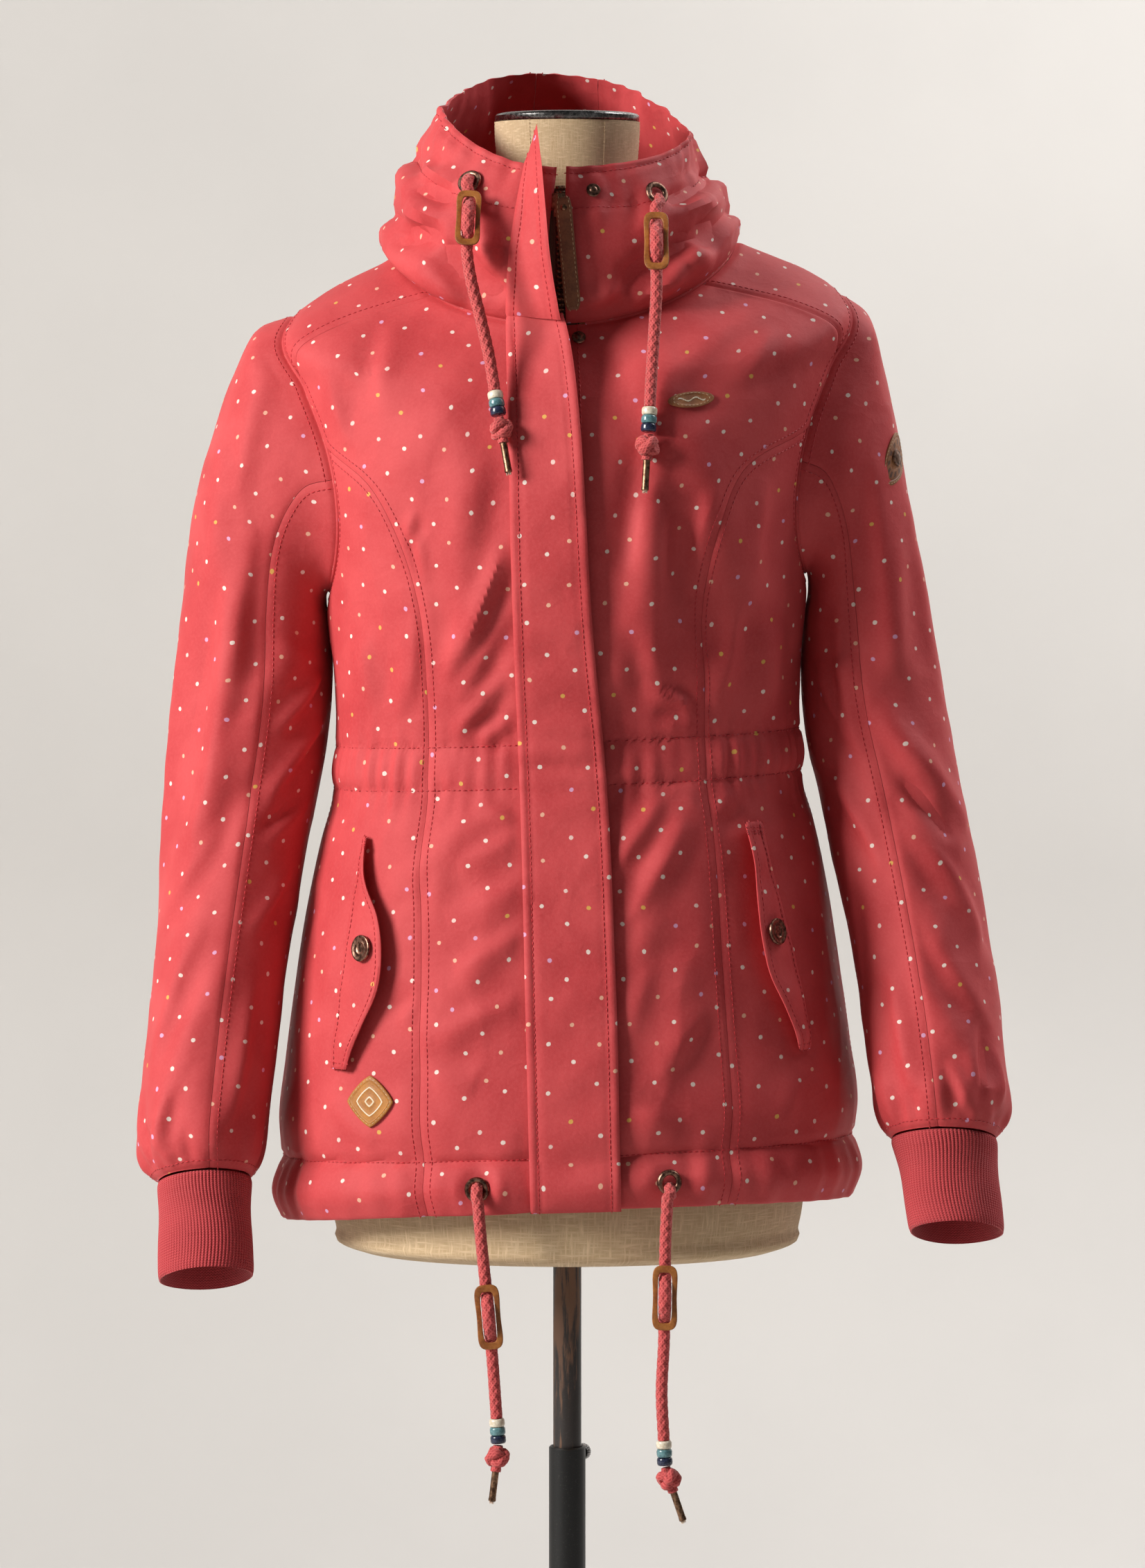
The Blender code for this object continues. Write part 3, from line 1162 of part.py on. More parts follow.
def drawcords():
    front = Vector((0, -1, 0))
    for name, rows in CORD_ROWS.items():
        line = through(rows, 200)
        run = np.concatenate([[0.0], np.cumsum(np.linalg.norm(np.diff(line, axis=0), axis=1))])

        def at(distance):
            return np.stack([np.interp(distance, run, line[:, i]) for i in range(3)], -1)
        middle = TOGGLE_AT[name]
        first = middle - CORD_RISE_HALF
        last = middle + CORD_RISE_HALF
        before = max(1, math.ceil(first / CORD_STEP))
        after = math.ceil((run[-1] - last) / CORD_STEP)
        spots = np.concatenate([np.linspace(0, first, before, endpoint=False), np.linspace(first, last, 8),
                                np.linspace(last, run[-1], after + 1)[1:]])
        way = at(np.array([last])) - at(np.array([first]))
        place = stand_on(at(np.array([middle]))[0], way[0], front)
        forward = np.array(place.to_3x3().col[2])
        points = at(spots) + cord_rise(spots - middle)[:, None] * forward
        data = bpy.data.curves.new("cord_" + name, "CURVE")
        data.dimensions = "3D"
        data.bevel_depth = CORD_RADIUS
        data.bevel_resolution = CORD_SIDES_LEVEL
        data.use_fill_caps = True
        spline = data.splines.new("POLY")
        spline.points.add(len(points) - 1)
        for spot, point in zip(spline.points, points):
            spot.co = (*point, 1.0)
        add_object("cord_" + name, data, "cord")
        add_toggle("toggle_" + name, place @ Matrix.Translation((0, 0, TOGGLE_OFF)))
        way = Vector(points[-1] - points[-2]).normalized()
        start = Vector(points[-1]) + way * BEAD_GAP
        turned("beads_" + name, BEADS, "beads", place=hang_on(start, way), steps=SMALL_STEPS)
        start = start + way * (-BEADS[-1][1] + CORD_END_GAP)
        turned("cord_end_" + name, CORD_END, "copper", place=hang_on(start, CORD_END_WAY[name]),
               steps=SMALL_STEPS)


# ---------------------------------------------------------------- form and stand
def turned(name, profile, kind, place=None, closed=False, steps=ROUND_STEPS):
    """A profile of radius and height, from the top down its outer side, turned about Z."""
    data = bpy.data.meshes.new(name)
    edges = [(i, i + 1) for i in range(len(profile) - 1)]
    if closed:
        edges.append((len(profile) - 1, 0))
    data.from_pydata([(radius, 0.0, height) for radius, height in profile], edges, [])
    item = add_object(name, data, kind)
    screw = item.modifiers.new("turn", "SCREW")
    screw.steps = steps
    screw.render_steps = steps
    screw.use_merge_vertices = True
    screw.merge_threshold = 1e-5
    screw.use_smooth_shade = True
    if place is not None:
        item.matrix_world = place
    return item


def dress_form():
    """The whole form with the bore that the pole's end goes into."""
    theta = (np.arange(FORM_POINTS) * 2 * math.pi / FORM_POINTS)[:, None]
    levels = FORM.knots[None, :]
    x, y = ring(FORM, levels + 0 * theta, theta + 0 * levels)
    points = np.stack([x, y, levels + 0 * theta], -1)
    rows = levels.size
    faces = grid_faces(FORM_POINTS, rows, 0, wrap=True)
    faces.append(tuple(i * rows for i in range(FORM_POINTS - 1, -1, -1)))
    faces.append(tuple(i * rows + rows - 1 for i in range(FORM_POINTS)))
    form = add_mesh("dress_form", points.reshape(-1, 3), faces, "linen")
    low = FORM.knots[0] - 0.02
    bpy.ops.mesh.primitive_cylinder_add(vertices=ROUND_STEPS, radius=BORE_RADIUS, depth=BORE_TOP - low,
                                        location=(0, 0, (BORE_TOP + low) / 2))
    cutter = bpy.context.active_object
    cutter.name = "pole_bore"
    for collection in list(cutter.users_collection):
        collection.objects.unlink(cutter)
    CUTTERS.objects.link(cutter)
    cutter.hide_render = True
    cutter.display_type = "WIRE"
    cut = form.modifiers.new("bore", "BOOLEAN")
    cut.operation = "DIFFERENCE"
    cut.object = cutter
    turned("neck_cap", ((0.0, CAP_TOP), (CAP_RADIUS - 0.004, CAP_TOP - 0.0006), (CAP_RADIUS, CAP_TOP - 0.002),
                        (CAP_RADIUS, CAP_LOW), (0.0, CAP_LOW)), "steel")


def stand():
    turned("inner_pole", ((0.0, POLE_TOP), (POLE_RADIUS, POLE_TOP), (POLE_RADIUS, POLE_LOW), (0.0, POLE_LOW)),
           "worn")
    turned("outer_tube", ((TUBE_RADIUS, TUBE_TOP), (TUBE_RADIUS, TUBE_LOW), (TUBE_BORE, TUBE_LOW),
                          (TUBE_BORE, TUBE_TOP)), "black", closed=True)
    boss = 0.0025
    turned("base", ((0.0, BASE_THICK + boss - 0.0003), (BOSS_RADIUS, BASE_THICK + boss - 0.0003),
                    (BOSS_RADIUS + 0.003, BASE_THICK), (BASE_RADIUS - 0.006, BASE_THICK),
                    (BASE_RADIUS - 0.0015, BASE_THICK - 0.003), (BASE_RADIUS, BASE_THICK / 2),
                    (BASE_RADIUS, 0.0), (0.0, 0.0)), "black", steps=40)
    way = Vector((math.cos(SCREW_AROUND), math.sin(SCREW_AROUND), 0.0))
    start = TUBE_RADIUS + SEAM_GAP
    place = way.to_track_quat("Z", "Y").to_matrix().to_4x4()
    place.translation = way * start + Vector((0, 0, SCREW_HEIGHT))
    end = SCREW_STEM_LENGTH + SCREW_HEAD_LENGTH
    turned("clamp_screw", ((0.0, end), (SCREW_HEAD * 0.85, end), (SCREW_HEAD, end - 0.001),
                           (SCREW_HEAD, SCREW_STEM_LENGTH), (SCREW_STEM, SCREW_STEM_LENGTH),
                           (SCREW_STEM, 0.0), (0.0, 0.0)), "steel", place=place, steps=16)


def main():
    clear_scene()
    body_panels()
    sleeves()
    cuffs()
    hood()
    storm_flap()
    zip_tape()
    pocket_flaps()
    fastenings()
    patches()
    eyelets()
    zip_slider()
    drawcords()
    dress_form()
    stand()


main()
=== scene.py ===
"""Women's hooded parka on a limbless dress form: the looks of every piece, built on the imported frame.

Metres, +Z up, the coat faces -Y. Left and right are the wearer's: the wearer's left is at +X.
The cloth is drawn from the coat's own tables of sections, cut along the same seam lines as its solids,
with finer folds, stitched channels, topstitching and printed dots.
"""

import logging
import math
from dataclasses import dataclass, field
from enum import Enum
from typing import Any, Callable, Iterable, Sequence

import bmesh
import bpy
import numpy as np
from mathutils import Matrix, Vector


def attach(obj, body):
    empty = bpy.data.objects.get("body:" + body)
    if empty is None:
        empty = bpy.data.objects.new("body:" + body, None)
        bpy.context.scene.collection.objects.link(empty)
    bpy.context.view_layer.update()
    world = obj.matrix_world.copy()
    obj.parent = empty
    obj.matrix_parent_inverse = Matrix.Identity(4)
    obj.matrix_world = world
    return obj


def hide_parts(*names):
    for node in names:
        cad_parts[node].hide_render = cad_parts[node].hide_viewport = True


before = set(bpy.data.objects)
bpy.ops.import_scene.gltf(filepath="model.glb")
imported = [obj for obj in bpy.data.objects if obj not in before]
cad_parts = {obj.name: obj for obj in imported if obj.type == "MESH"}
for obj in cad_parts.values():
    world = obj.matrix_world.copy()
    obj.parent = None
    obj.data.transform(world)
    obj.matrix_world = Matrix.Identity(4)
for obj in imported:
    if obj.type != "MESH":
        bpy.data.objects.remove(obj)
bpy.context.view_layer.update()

LOG = logging.getLogger("parka")
Rows = Sequence[Sequence[float]]
Array = np.ndarray
RIGHT_ANGLE = math.pi / 2


class Side(Enum):
    """The wearer's side, with the sign of its x."""

    RIGHT = -1
    LEFT = 1

    @property
    def word(self) -> str:
        """The side's word in node names."""
        return self.name.lower()


class Body(Enum):
    """The rigid bodies of the part."""

    STAND = "stand"
    MAST = "mast"
    FIGURE = "figure"
    PULL = "pull"
    CLAMP = "clamp"


# ---------------------------------------------------------------- the coat's own sizes
WALL = 0.0024            # shell, wadding and lining together
LEAN = 0.04              # the coat hangs higher towards the wearer's left, per metre

HEM = 0.722
NECK = 1.449
ARM_MID = 1.301          # middle height of the armhole
ARM_HALF = 0.106         # half of its height
ARM_WIDTH = math.radians(25)
ARM_LOW = 0.25           # how far its widest place lies below the middle
YOKE_FRONT_TURN = 53.5   # where the seams meet the armhole, in degrees from its top
YOKE_BACK_TURN = -45.0
PRINCESS_FRONT_TURN = 86.0
PRINCESS_BACK_TURN = -95.0
YOKE_FRONT_NECK = math.radians(-38)
YOKE_BACK_NECK = math.radians(50)
RISE_POWER = 1.25        # how the sections' rise spreads from the sides to the middle
CLOSURE_X = -0.005       # the zip's x at the neck; it drifts to the wearer's left towards the hem
CLOSURE_DRIFT = 0.022
CLOSURE_HALF = 0.004     # half of the gap between the two fronts

# Columns and rows of the body of the coat, a row for each section. The level is the height at the side.
BODY_COLUMNS = ("level", "half", "front", "back", "square", "front_rise", "back_rise")
BODY_ROWS = (
    (0.722, 0.2150, 0.1530, 0.1370, 2.20, 0.014, -0.022),   # hem edge
    (0.743, 0.2205, 0.1595, 0.1425, 2.20, 0.011, -0.018),   # hem channel, full
    (0.768, 0.2165, 0.1545, 0.1385, 2.20, 0.006, -0.012),   # its stitch line
    (0.796, 0.2195, 0.1570, 0.1410, 2.20, 0.003, -0.006),
    (0.840, 0.2150, 0.1540, 0.1390, 2.20, 0.000, 0.000),
    (0.900, 0.2070, 0.1490, 0.1340, 2.20, 0.000, 0.000),    # hips
    (0.960, 0.1975, 0.1420, 0.1270, 2.20, 0.000, 0.000),
    (1.010, 0.1865, 0.1350, 0.1180, 2.20, 0.000, 0.000),
    (1.042, 0.1775, 0.1280, 0.1100, 2.20, 0.000, 0.000),    # waist channel
    (1.058, 0.1765, 0.1275, 0.1090, 2.20, 0.000, 0.000),
    (1.075, 0.1750, 0.1265, 0.1080, 2.20, 0.000, 0.000),
    (1.120, 0.1755, 0.1340, 0.1130, 2.20, 0.000, 0.000),
    (1.170, 0.1785, 0.1430, 0.1200, 2.20, 0.000, 0.000),
    (1.220, 0.1830, 0.1500, 0.1260, 2.22, 0.000, 0.000),
    (1.265, 0.1890, 0.1510, 0.1300, 2.25, -0.002, 0.000),   # bust
    (1.310, 0.1960, 0.1450, 0.1310, 2.30, -0.008, 0.000),
    (1.355, 0.2060, 0.1330, 0.1280, 2.35, -0.020, -0.004),
    (1.400, 0.2130, 0.1170, 0.1170, 2.40, -0.040, -0.010),  # shoulder tip
    (1.420, 0.1880, 0.1090, 0.1060, 2.30, -0.048, -0.009),
    (1.436, 0.1580, 0.1030, 0.0920, 2.15, -0.055, -0.004),
    (1.449, 0.1280, 0.0990, 0.0780, 2.05, -0.060, 0.006),   # neck seam
)

# The hood, from the neck seam to the rim of its opening; at the back it hangs as a pouch.
# Its skew makes it narrower on the wearer's left and wider on the right.
HOOD_COLUMNS = ("level", "side_z", "half", "skew", "front", "back", "square", "front_rise", "back_rise")
HOOD_ROWS = (
    (0, 1.4490, 0.1280, 0.0000, 0.0990, 0.0780, 2.05, -0.0600, 0.0060),
    (1, 1.4560, 0.1360, -0.0060, 0.1065, 0.1120, 2.15, -0.0540, -0.0190),
    (2, 1.4645, 0.1350, -0.0060, 0.1110, 0.1500, 2.25, -0.0485, -0.0600),
    (3, 1.4750, 0.1295, -0.0045, 0.1140, 0.1830, 2.35, -0.0440, -0.0900),
    (4, 1.4870, 0.1240, -0.0050, 0.1150, 0.2030, 2.40, -0.0400, -0.0920),
    (5, 1.5000, 0.1175, -0.0065, 0.1140, 0.2100, 2.40, -0.0370, -0.0650),
    (6, 1.5135, 0.1075, -0.0055, 0.1110, 0.2000, 2.35, -0.0360, -0.0240),
    (7, 1.5300, 0.0990, -0.0030, 0.1060, 0.1700, 2.25, -0.0390, 0.0190),
    (8, 1.5460, 0.0945, 0.0000, 0.1000, 0.1280, 2.15, -0.0400, 0.0420),
)
HOOD_SECTIONS = 8
HOOD_TILT = -0.135       # the rim climbs towards the wearer's right, per metre
HOOD_TILT_POWER = 1.5    # how the climb grows from the neck seam to the rim

# Seams as x at a height, on the wearer's left; the front princess seams differ a little.
PRINCESS_FRONT = {
    "left": ((0.119, 0.722), (0.1215, 0.820), (0.1145, 0.920), (0.104, 1.040), (0.102, 1.120),
             (0.103, 1.190), (0.112, 1.240), (0.128, 1.275)),
    "right": ((0.103, 0.722), (0.109, 0.820), (0.108, 0.920), (0.104, 1.040), (0.104, 1.120),
              (0.111, 1.190), (0.127, 1.240), (0.145, 1.275)),
}
PRINCESS_BACK = ((0.104, 0.722), (0.098, 0.900), (0.084, 1.060), (0.090, 1.160), (0.112, 1.245))

# Sleeves: outer and inner edge seen from the front, a row for each section below the armhole.
SLEEVE_COLUMNS = ("station", "x_out", "z_out", "x_in", "z_in", "y_mid", "depth", "pitch")
SLEEVE_ROWS = {
    "right": (
        (0, 0.2130, 1.4070, 0.1790, 1.1950, 0.002, 0.072, 0.0),
        (1, 0.2400, 1.3960, 0.1815, 1.1940, 0.004, 0.070, 0.0),
        (2, 0.2570, 1.3600, 0.1830, 1.1910, 0.006, 0.069, 0.0),
        (3, 0.2710, 1.3150, 0.1835, 1.1840, 0.008, 0.068, 0.0),
        (4, 0.2830, 1.2680, 0.1815, 1.1710, 0.010, 0.067, 0.0),
        (5, 0.2900, 1.2150, 0.1805, 1.1530, 0.011, 0.066, 0.0),
        (6, 0.2945, 1.1600, 0.1797, 1.1280, 0.010, 0.064, 1.0),
        (7, 0.2985, 1.1020, 0.1817, 1.0950, 0.006, 0.062, 4.0),
        (8, 0.3030, 1.0420, 0.1895, 1.0450, -0.001, 0.061, 8.0),
        (9, 0.3080, 0.9820, 0.1990, 0.9880, -0.012, 0.060, 11.0),
        (10, 0.3130, 0.9200, 0.2090, 0.9290, -0.025, 0.058, 13.0),
        (11, 0.3180, 0.8620, 0.2170, 0.8710, -0.040, 0.056, 15.0),
        (12, 0.3215, 0.8100, 0.2230, 0.8170, -0.055, 0.055, 17.0),
        (13, 0.3205, 0.7800, 0.2280, 0.7850, -0.064, 0.053, 18.0),
        (14, 0.3080, 0.7590, 0.2360, 0.7610, -0.071, 0.041, 18.0),
    ),
    "left": (
        (0, 0.2130, 1.4070, 0.1790, 1.1950, 0.002, 0.072, 0.0),
        (1, 0.2320, 1.3880, 0.1815, 1.1930, 0.004, 0.070, 0.0),
        (2, 0.2410, 1.3480, 0.1830, 1.1880, 0.006, 0.069, 0.0),
        (3, 0.2490, 1.3000, 0.1835, 1.1780, 0.008, 0.068, 0.0),
        (4, 0.2580, 1.2500, 0.1815, 1.1630, 0.010, 0.067, 0.0),
        (5, 0.2680, 1.1960, 0.1803, 1.1420, 0.011, 0.066, 0.0),
        (6, 0.2775, 1.1430, 0.1795, 1.1140, 0.010, 0.064, 1.0),
        (7, 0.2875, 1.0870, 0.1815, 1.0770, 0.006, 0.062, 4.0),
        (8, 0.2990, 1.0280, 0.1910, 1.0320, -0.001, 0.061, 8.0),
        (9, 0.3100, 0.9730, 0.2000, 0.9820, -0.012, 0.060, 11.0),
        (10, 0.3195, 0.9160, 0.2100, 0.9280, -0.025, 0.058, 13.0),
        (11, 0.3270, 0.8610, 0.2200, 0.8730, -0.040, 0.056, 15.0),
        (12, 0.3310, 0.8140, 0.2270, 0.8230, -0.055, 0.055, 17.0),
        (13, 0.3310, 0.7880, 0.2320, 0.7960, -0.064, 0.053, 18.0),
        (14, 0.3230, 0.7670, 0.2420, 0.7710, -0.071, 0.041, 18.0),
    ),
}
SLEEVE_SECTIONS = 14
ROOT_FADE = 4.0          # sections over which the armhole's own shape dies away

# Rib cuffs, from the sleeve seam to the lower edge, in the sleeve's columns.
CUFF_ROWS = {
    "right": (
        (0, 0.3080, 0.7585, 0.2360, 0.7605, -0.0710, 0.0400, 18.0),
        (1, 0.3060, 0.7260, 0.2350, 0.7280, -0.0810, 0.0380, 18.5),
        (2, 0.3050, 0.6880, 0.2345, 0.6900, -0.0930, 0.0370, 20.0),
    ),
    "left": (
        (0, 0.3230, 0.7665, 0.2420, 0.7705, -0.0710, 0.0400, 18.0),
        (1, 0.3235, 0.7350, 0.2490, 0.7385, -0.0810, 0.0380, 18.5),
        (2, 0.3260, 0.6990, 0.2560, 0.7030, -0.0930, 0.0370, 20.0),
    ),
}
CUFF_WALL = 0.0026

# Soft folds: from one place to another, x and z on the face seen from that side, width and height.
FRONT_FOLDS = (
    (0.030, 1.360, 0.110, 1.150, 0.016, -0.0035),
    (0.055, 1.375, 0.135, 1.180, 0.018, 0.0040),
    (0.040, 1.130, 0.060, 1.240, 0.014, 0.0030),
    (-0.060, 1.290, -0.055, 1.100, 0.016, -0.0030),
    (-0.085, 1.350, -0.070, 1.180, 0.018, 0.0035),
    (-0.120, 0.980, -0.060, 1.030, 0.014, 0.0030),
    (0.055, 0.930, 0.085, 1.030, 0.014, 0.0030),
    (-0.090, 0.870, -0.050, 0.960, 0.020, 0.0035),
    (0.060, 0.790, 0.080, 0.900, 0.020, 0.0030),
    (0.160, 1.060, 0.150, 1.150, 0.012, 0.0030),
    (-0.160, 1.060, -0.150, 1.150, 0.012, 0.0030),
)
BACK_FOLDS = (
    (0.040, 1.300, 0.070, 1.100, 0.020, 0.0040),
    (-0.045, 1.320, -0.060, 1.110, 0.020, 0.0040),
    (0.000, 1.240, 0.010, 1.090, 0.016, -0.0030),
    (0.060, 1.020, 0.070, 0.860, 0.020, 0.0040),
    (-0.050, 1.020, -0.075, 0.880, 0.020, 0.0040),
    (0.010, 1.010, 0.000, 0.900, 0.018, -0.0030),
)
HOOD_FRONT_FOLDS = (
    (-0.128, 1.462, -0.076, 1.412, 0.011, -0.0060),
    (-0.120, 1.447, -0.080, 1.398, 0.010, 0.0040),
    (0.112, 1.468, 0.060, 1.412, 0.011, -0.0060),
    (0.100, 1.452, 0.062, 1.400, 0.010, 0.0040),
)
HOOD_BACK_FOLDS = (
    (0.070, 1.560, 0.050, 1.430, 0.022, -0.0080),
    (-0.075, 1.560, -0.045, 1.430, 0.022, -0.0080),
    (0.000, 1.580, 0.005, 1.440, 0.020, 0.0060),
    (0.100, 1.520, 0.105, 1.440, 0.018, 0.0060),
    (-0.105, 1.520, -0.100, 1.440, 0.018, 0.0060),
)
# Sleeve folds: turn in degrees round the sleeve, section along it, width in metres, height.
SLEEVE_FOLDS = {
    "right": (
        (40, 3.0, 80, 6.5, 0.016, 0.0035),
        (120, 5.5, 60, 8.5, 0.014, 0.0035),
        (100, 8.0, 30, 9.6, 0.014, -0.0035),
        (-60, 7.0, -110, 9.0, 0.016, 0.0040),
        (90, 10.5, 40, 12.3, 0.014, 0.0030),
        (-40, 11.0, -120, 12.5, 0.016, 0.0035),
    ),
    "left": (
        (30, 2.6, 70, 6.0, 0.016, 0.0035),
        (110, 6.0, 50, 8.8, 0.014, 0.0035),
        (90, 8.4, 20, 10.0, 0.014, -0.0035),
        (-50, 7.2, -120, 9.2, 0.016, 0.0040),
        (100, 10.8, 50, 12.6, 0.014, 0.0030),
        (-50, 11.2, -130, 12.7, 0.016, 0.0035),
    ),
}
SLEEVE_RADIUS = 0.058    # turns the folds' degrees into metres
SLEEVE_STEP = 0.055      # length of a section, in the same way
GATHERS = 7              # folds where the sleeve is gathered into its cuff
GATHER_HEIGHT = 0.0025

# Storm flap: height, x of its sewn edge and free edge, how far the free edge stands off, extra height.
FLAP_COLUMNS = ("z", "sewn_x", "free_x", "lift", "rise")
FLAP_ROWS = (
    (0.715, -0.0262, 0.0400, 0.0030, 0.0000),
    (0.880, -0.0304, 0.0362, 0.0035, 0.0000),
    (1.060, -0.0350, 0.0280, 0.0040, 0.0000),
    (1.190, -0.0400, 0.0165, 0.0060, 0.0000),
    (1.270, -0.0420, 0.0124, 0.0080, 0.0000),
    (1.330, -0.0435, 0.0076, 0.0120, 0.0000),
    (1.370, -0.0450, 0.0010, 0.0195, 0.0000),
    (1.400, -0.0455, -0.0050, 0.0240, 0.0000),
    (1.440, -0.0430, -0.0120, 0.0230, 0.0000),
    (1.470, -0.0385, -0.0152, 0.0235, 0.0060),
    (1.506, -0.0310, -0.0195, 0.0240, 0.0190),
)
FLAP_THICK = 0.0030
FLAP_CLEAR = 0.0012
FLAP_LIFT_POWER = 1.5      # how its lift grows towards the free edge

TAPE_HALF = 0.014
TAPE_THICK = 0.0010
TAPE_DEPTH = 0.0018      # below the inner face of the fronts
TAPE_FROM = 0.750

# Pocket flaps: height, x of the hinge seam and of the free edge, how far the free edge stands off.
POCKET_COLUMNS = ("z", "hinge_right", "free_right", "hinge_left", "free_left", "lift")
POCKET_ROWS = (
    (1.014, 0.1500, 0.1460, 0.1435, 0.1285, 0.0040),
    (0.985, 0.1548, 0.1440, 0.1495, 0.1330, 0.0085),
    (0.957, 0.1600, 0.1345, 0.1565, 0.1346, 0.0100),
    (0.928, 0.1645, 0.1315, 0.1640, 0.1380, 0.0100),
    (0.900, 0.1685, 0.1355, 0.1705, 0.1448, 0.0090),
    (0.876, 0.1710, 0.1465, 0.1755, 0.1560, 0.0080),
    (0.855, 0.1735, 0.1560, 0.1790, 0.1650, 0.0060),
    (0.843, 0.1740, 0.1605, 0.1800, 0.1690, 0.0040),
)
POCKET_THICK = 0.0030
POCKET_CLEAR = 0.0012
SNAP_RADIUS = 0.0100
SNAP_HEIGHT = 0.0030
SNAP_CLEAR = 0.0012
POCKET_SNAP = (0.932, 0.58)   # height, and share of the way from hinge to free edge

STUD_RADIUS = 0.0053
STUD_HEIGHT = 0.0030
STUD_CLEAR = 0.0020
STUDS = {"stud_chest": (0.0085, 1.4300, "body"), "stud_collar": (0.0190, 6.6, "hood")}

PATCH_THICK = 0.0016
PATCH_CLEAR = 0.0012
OVAL_PATCH = (0.0900, 1.3440, 0.0175, 0.0080)      # x, height, half width, half height
DIAMOND_PATCH = (-0.1450, 0.8190, 0.0170, 0.0200)
ROUND_PATCH = (38.0, 3.20, 0.0190)                  # turn, section, radius

EYELET_RADIUS = 0.0072
EYELET_WIRE = 0.0022
EYELET_FLAT = 0.55
EYELETS = {
    "eyelet_collar_right": (-0.0715, 6.40, "hood"),
    "eyelet_collar_left": (0.0655, 6.00, "hood"),
    "eyelet_hem_right": (-0.0660, 0.7450, "body"),
    "eyelet_hem_left": (0.0750, 0.7450, "body"),
}

# Drawcords: the line of each, from its eyelet to its beads, as x, y and z.
CORD_RADIUS = 0.0045
CORD_ROWS = {
    "collar_right": (
        (-0.0718, -0.1012, 1.4858),
        (-0.0730, -0.1200, 1.4560),
        (-0.0735, -0.1285, 1.4420),
        (-0.0710, -0.1330, 1.4240),
        (-0.0640, -0.1345, 1.3950),
        (-0.0570, -0.1360, 1.3640),
        (-0.0530, -0.1430, 1.3395),
    ),
    "collar_left": (
        (0.0654, -0.1052, 1.4800),
        (0.0655, -0.1170, 1.4560),
        (0.0656, -0.1310, 1.4320),
        (0.0655, -0.1360, 1.4120),
        (0.0640, -0.1375, 1.3850),
        (0.0622, -0.1395, 1.3560),
        (0.0606, -0.1450, 1.3280),
    ),
    "hem_right": (
        (-0.0657, -0.1625, 0.7468),
        (-0.0646, -0.1668, 0.7330),
        (-0.0630, -0.1676, 0.7150),
        (-0.0575, -0.1676, 0.6610),
        (-0.0550, -0.1676, 0.6300),
        (-0.0518, -0.1676, 0.5851),
    ),
    "hem_left": (
        (0.0742, -0.1610, 0.7522),
        (0.0733, -0.1650, 0.7380),
        (0.0724, -0.1660, 0.7200),
        (0.0718, -0.1660, 0.6760),
        (0.0712, -0.1660, 0.6400),
        (0.0696, -0.1660, 0.6039),
        (0.0712, -0.1660, 0.5685),
    ),
}
TOGGLE_AT = {"collar_right": 0.0270, "collar_left": 0.0380, "hem_right": 0.0870, "hem_left": 0.0780}
TOGGLE_HALF = (0.0120, 0.0240)       # half width and half length of the leather plate
TOGGLE_SLOT = (0.0052, 0.0187)
TOGGLE_THICK = 0.0016
TOGGLE_WAIST = 0.80
TOGGLE_OFF = 0.0074      # the plate lies this far before the cord's line
CORD_RISE = 0.0096       # the cord comes this far forward through the slot
CORD_RISE_HALF = 0.0245
BEAD_GAP = 0.0003
BEADS = ((0.0, 0.0), (0.0042, 0.0), (0.0057, -0.0031), (0.0042, -0.0062), (0.0057, -0.0093),
         (0.0042, -0.0124), (0.0057, -0.0155), (0.0042, -0.0186), (0.0, -0.0186))
CORD_END_GAP = 0.0016
CORD_END_WAY = {             # direction in which each knot and metal tip hangs
    "collar_right": (0.18, -0.22, -1.0), "collar_left": (-0.06, -0.14, -1.0),
    "hem_right": (-0.12, 0.0, -1.0), "hem_left": (0.34, 0.0, -1.0),
}

# ---------------------------------------------------------------- dress form and stand
FORM_COLUMNS = ("level", "half", "front", "back", "square")
FORM_ROWS = (
    (0.690, 0.1600, 0.1180, 0.1080, 2.10),
    (0.694, 0.1720, 0.1280, 0.1170, 2.10),
    (0.706, 0.1760, 0.1310, 0.1200, 2.10),
    (0.800, 0.1740, 0.1300, 0.1190, 2.10),
    (0.900, 0.1660, 0.1230, 0.1120, 2.10),
    (1.000, 0.1460, 0.1060, 0.0950, 2.10),
    (1.060, 0.1350, 0.0980, 0.0870, 2.10),
    (1.130, 0.1400, 0.1080, 0.0930, 2.10),
    (1.200, 0.1500, 0.1240, 0.1020, 2.12),
    (1.265, 0.1600, 0.1280, 0.1080, 2.15),
    (1.320, 0.1720, 0.1150, 0.1080, 2.15),
    (1.365, 0.1850, 0.0930, 0.1000, 2.00),
    (1.392, 0.1850, 0.0790, 0.0890, 1.80),
    (1.410, 0.1740, 0.0710, 0.0790, 1.60),
    (1.4250, 0.1520, 0.0650, 0.0710, 1.50),
    (1.4380, 0.1220, 0.0600, 0.0650, 1.60),
    (1.4480, 0.0900, 0.0560, 0.0600, 1.80),
    (1.460, 0.0680, 0.0540, 0.0565, 2.00),
    (1.482, 0.0570, 0.0530, 0.0545, 2.00),
    (1.543, 0.0550, 0.0530, 0.0530, 2.00),
)
CAP_LOW = 1.5435
CAP_TOP = 1.5500
CAP_RADIUS = 0.0545

POLE_RADIUS = 0.01075
POLE_LOW = 0.250
POLE_TOP = 0.738
TUBE_RADIUS = 0.0140
TUBE_BORE = 0.0112
TUBE_LOW = 0.0145
TUBE_TOP = 0.536
BASE_RADIUS = 0.190
BASE_THICK = 0.012
BOSS_RADIUS = 0.026

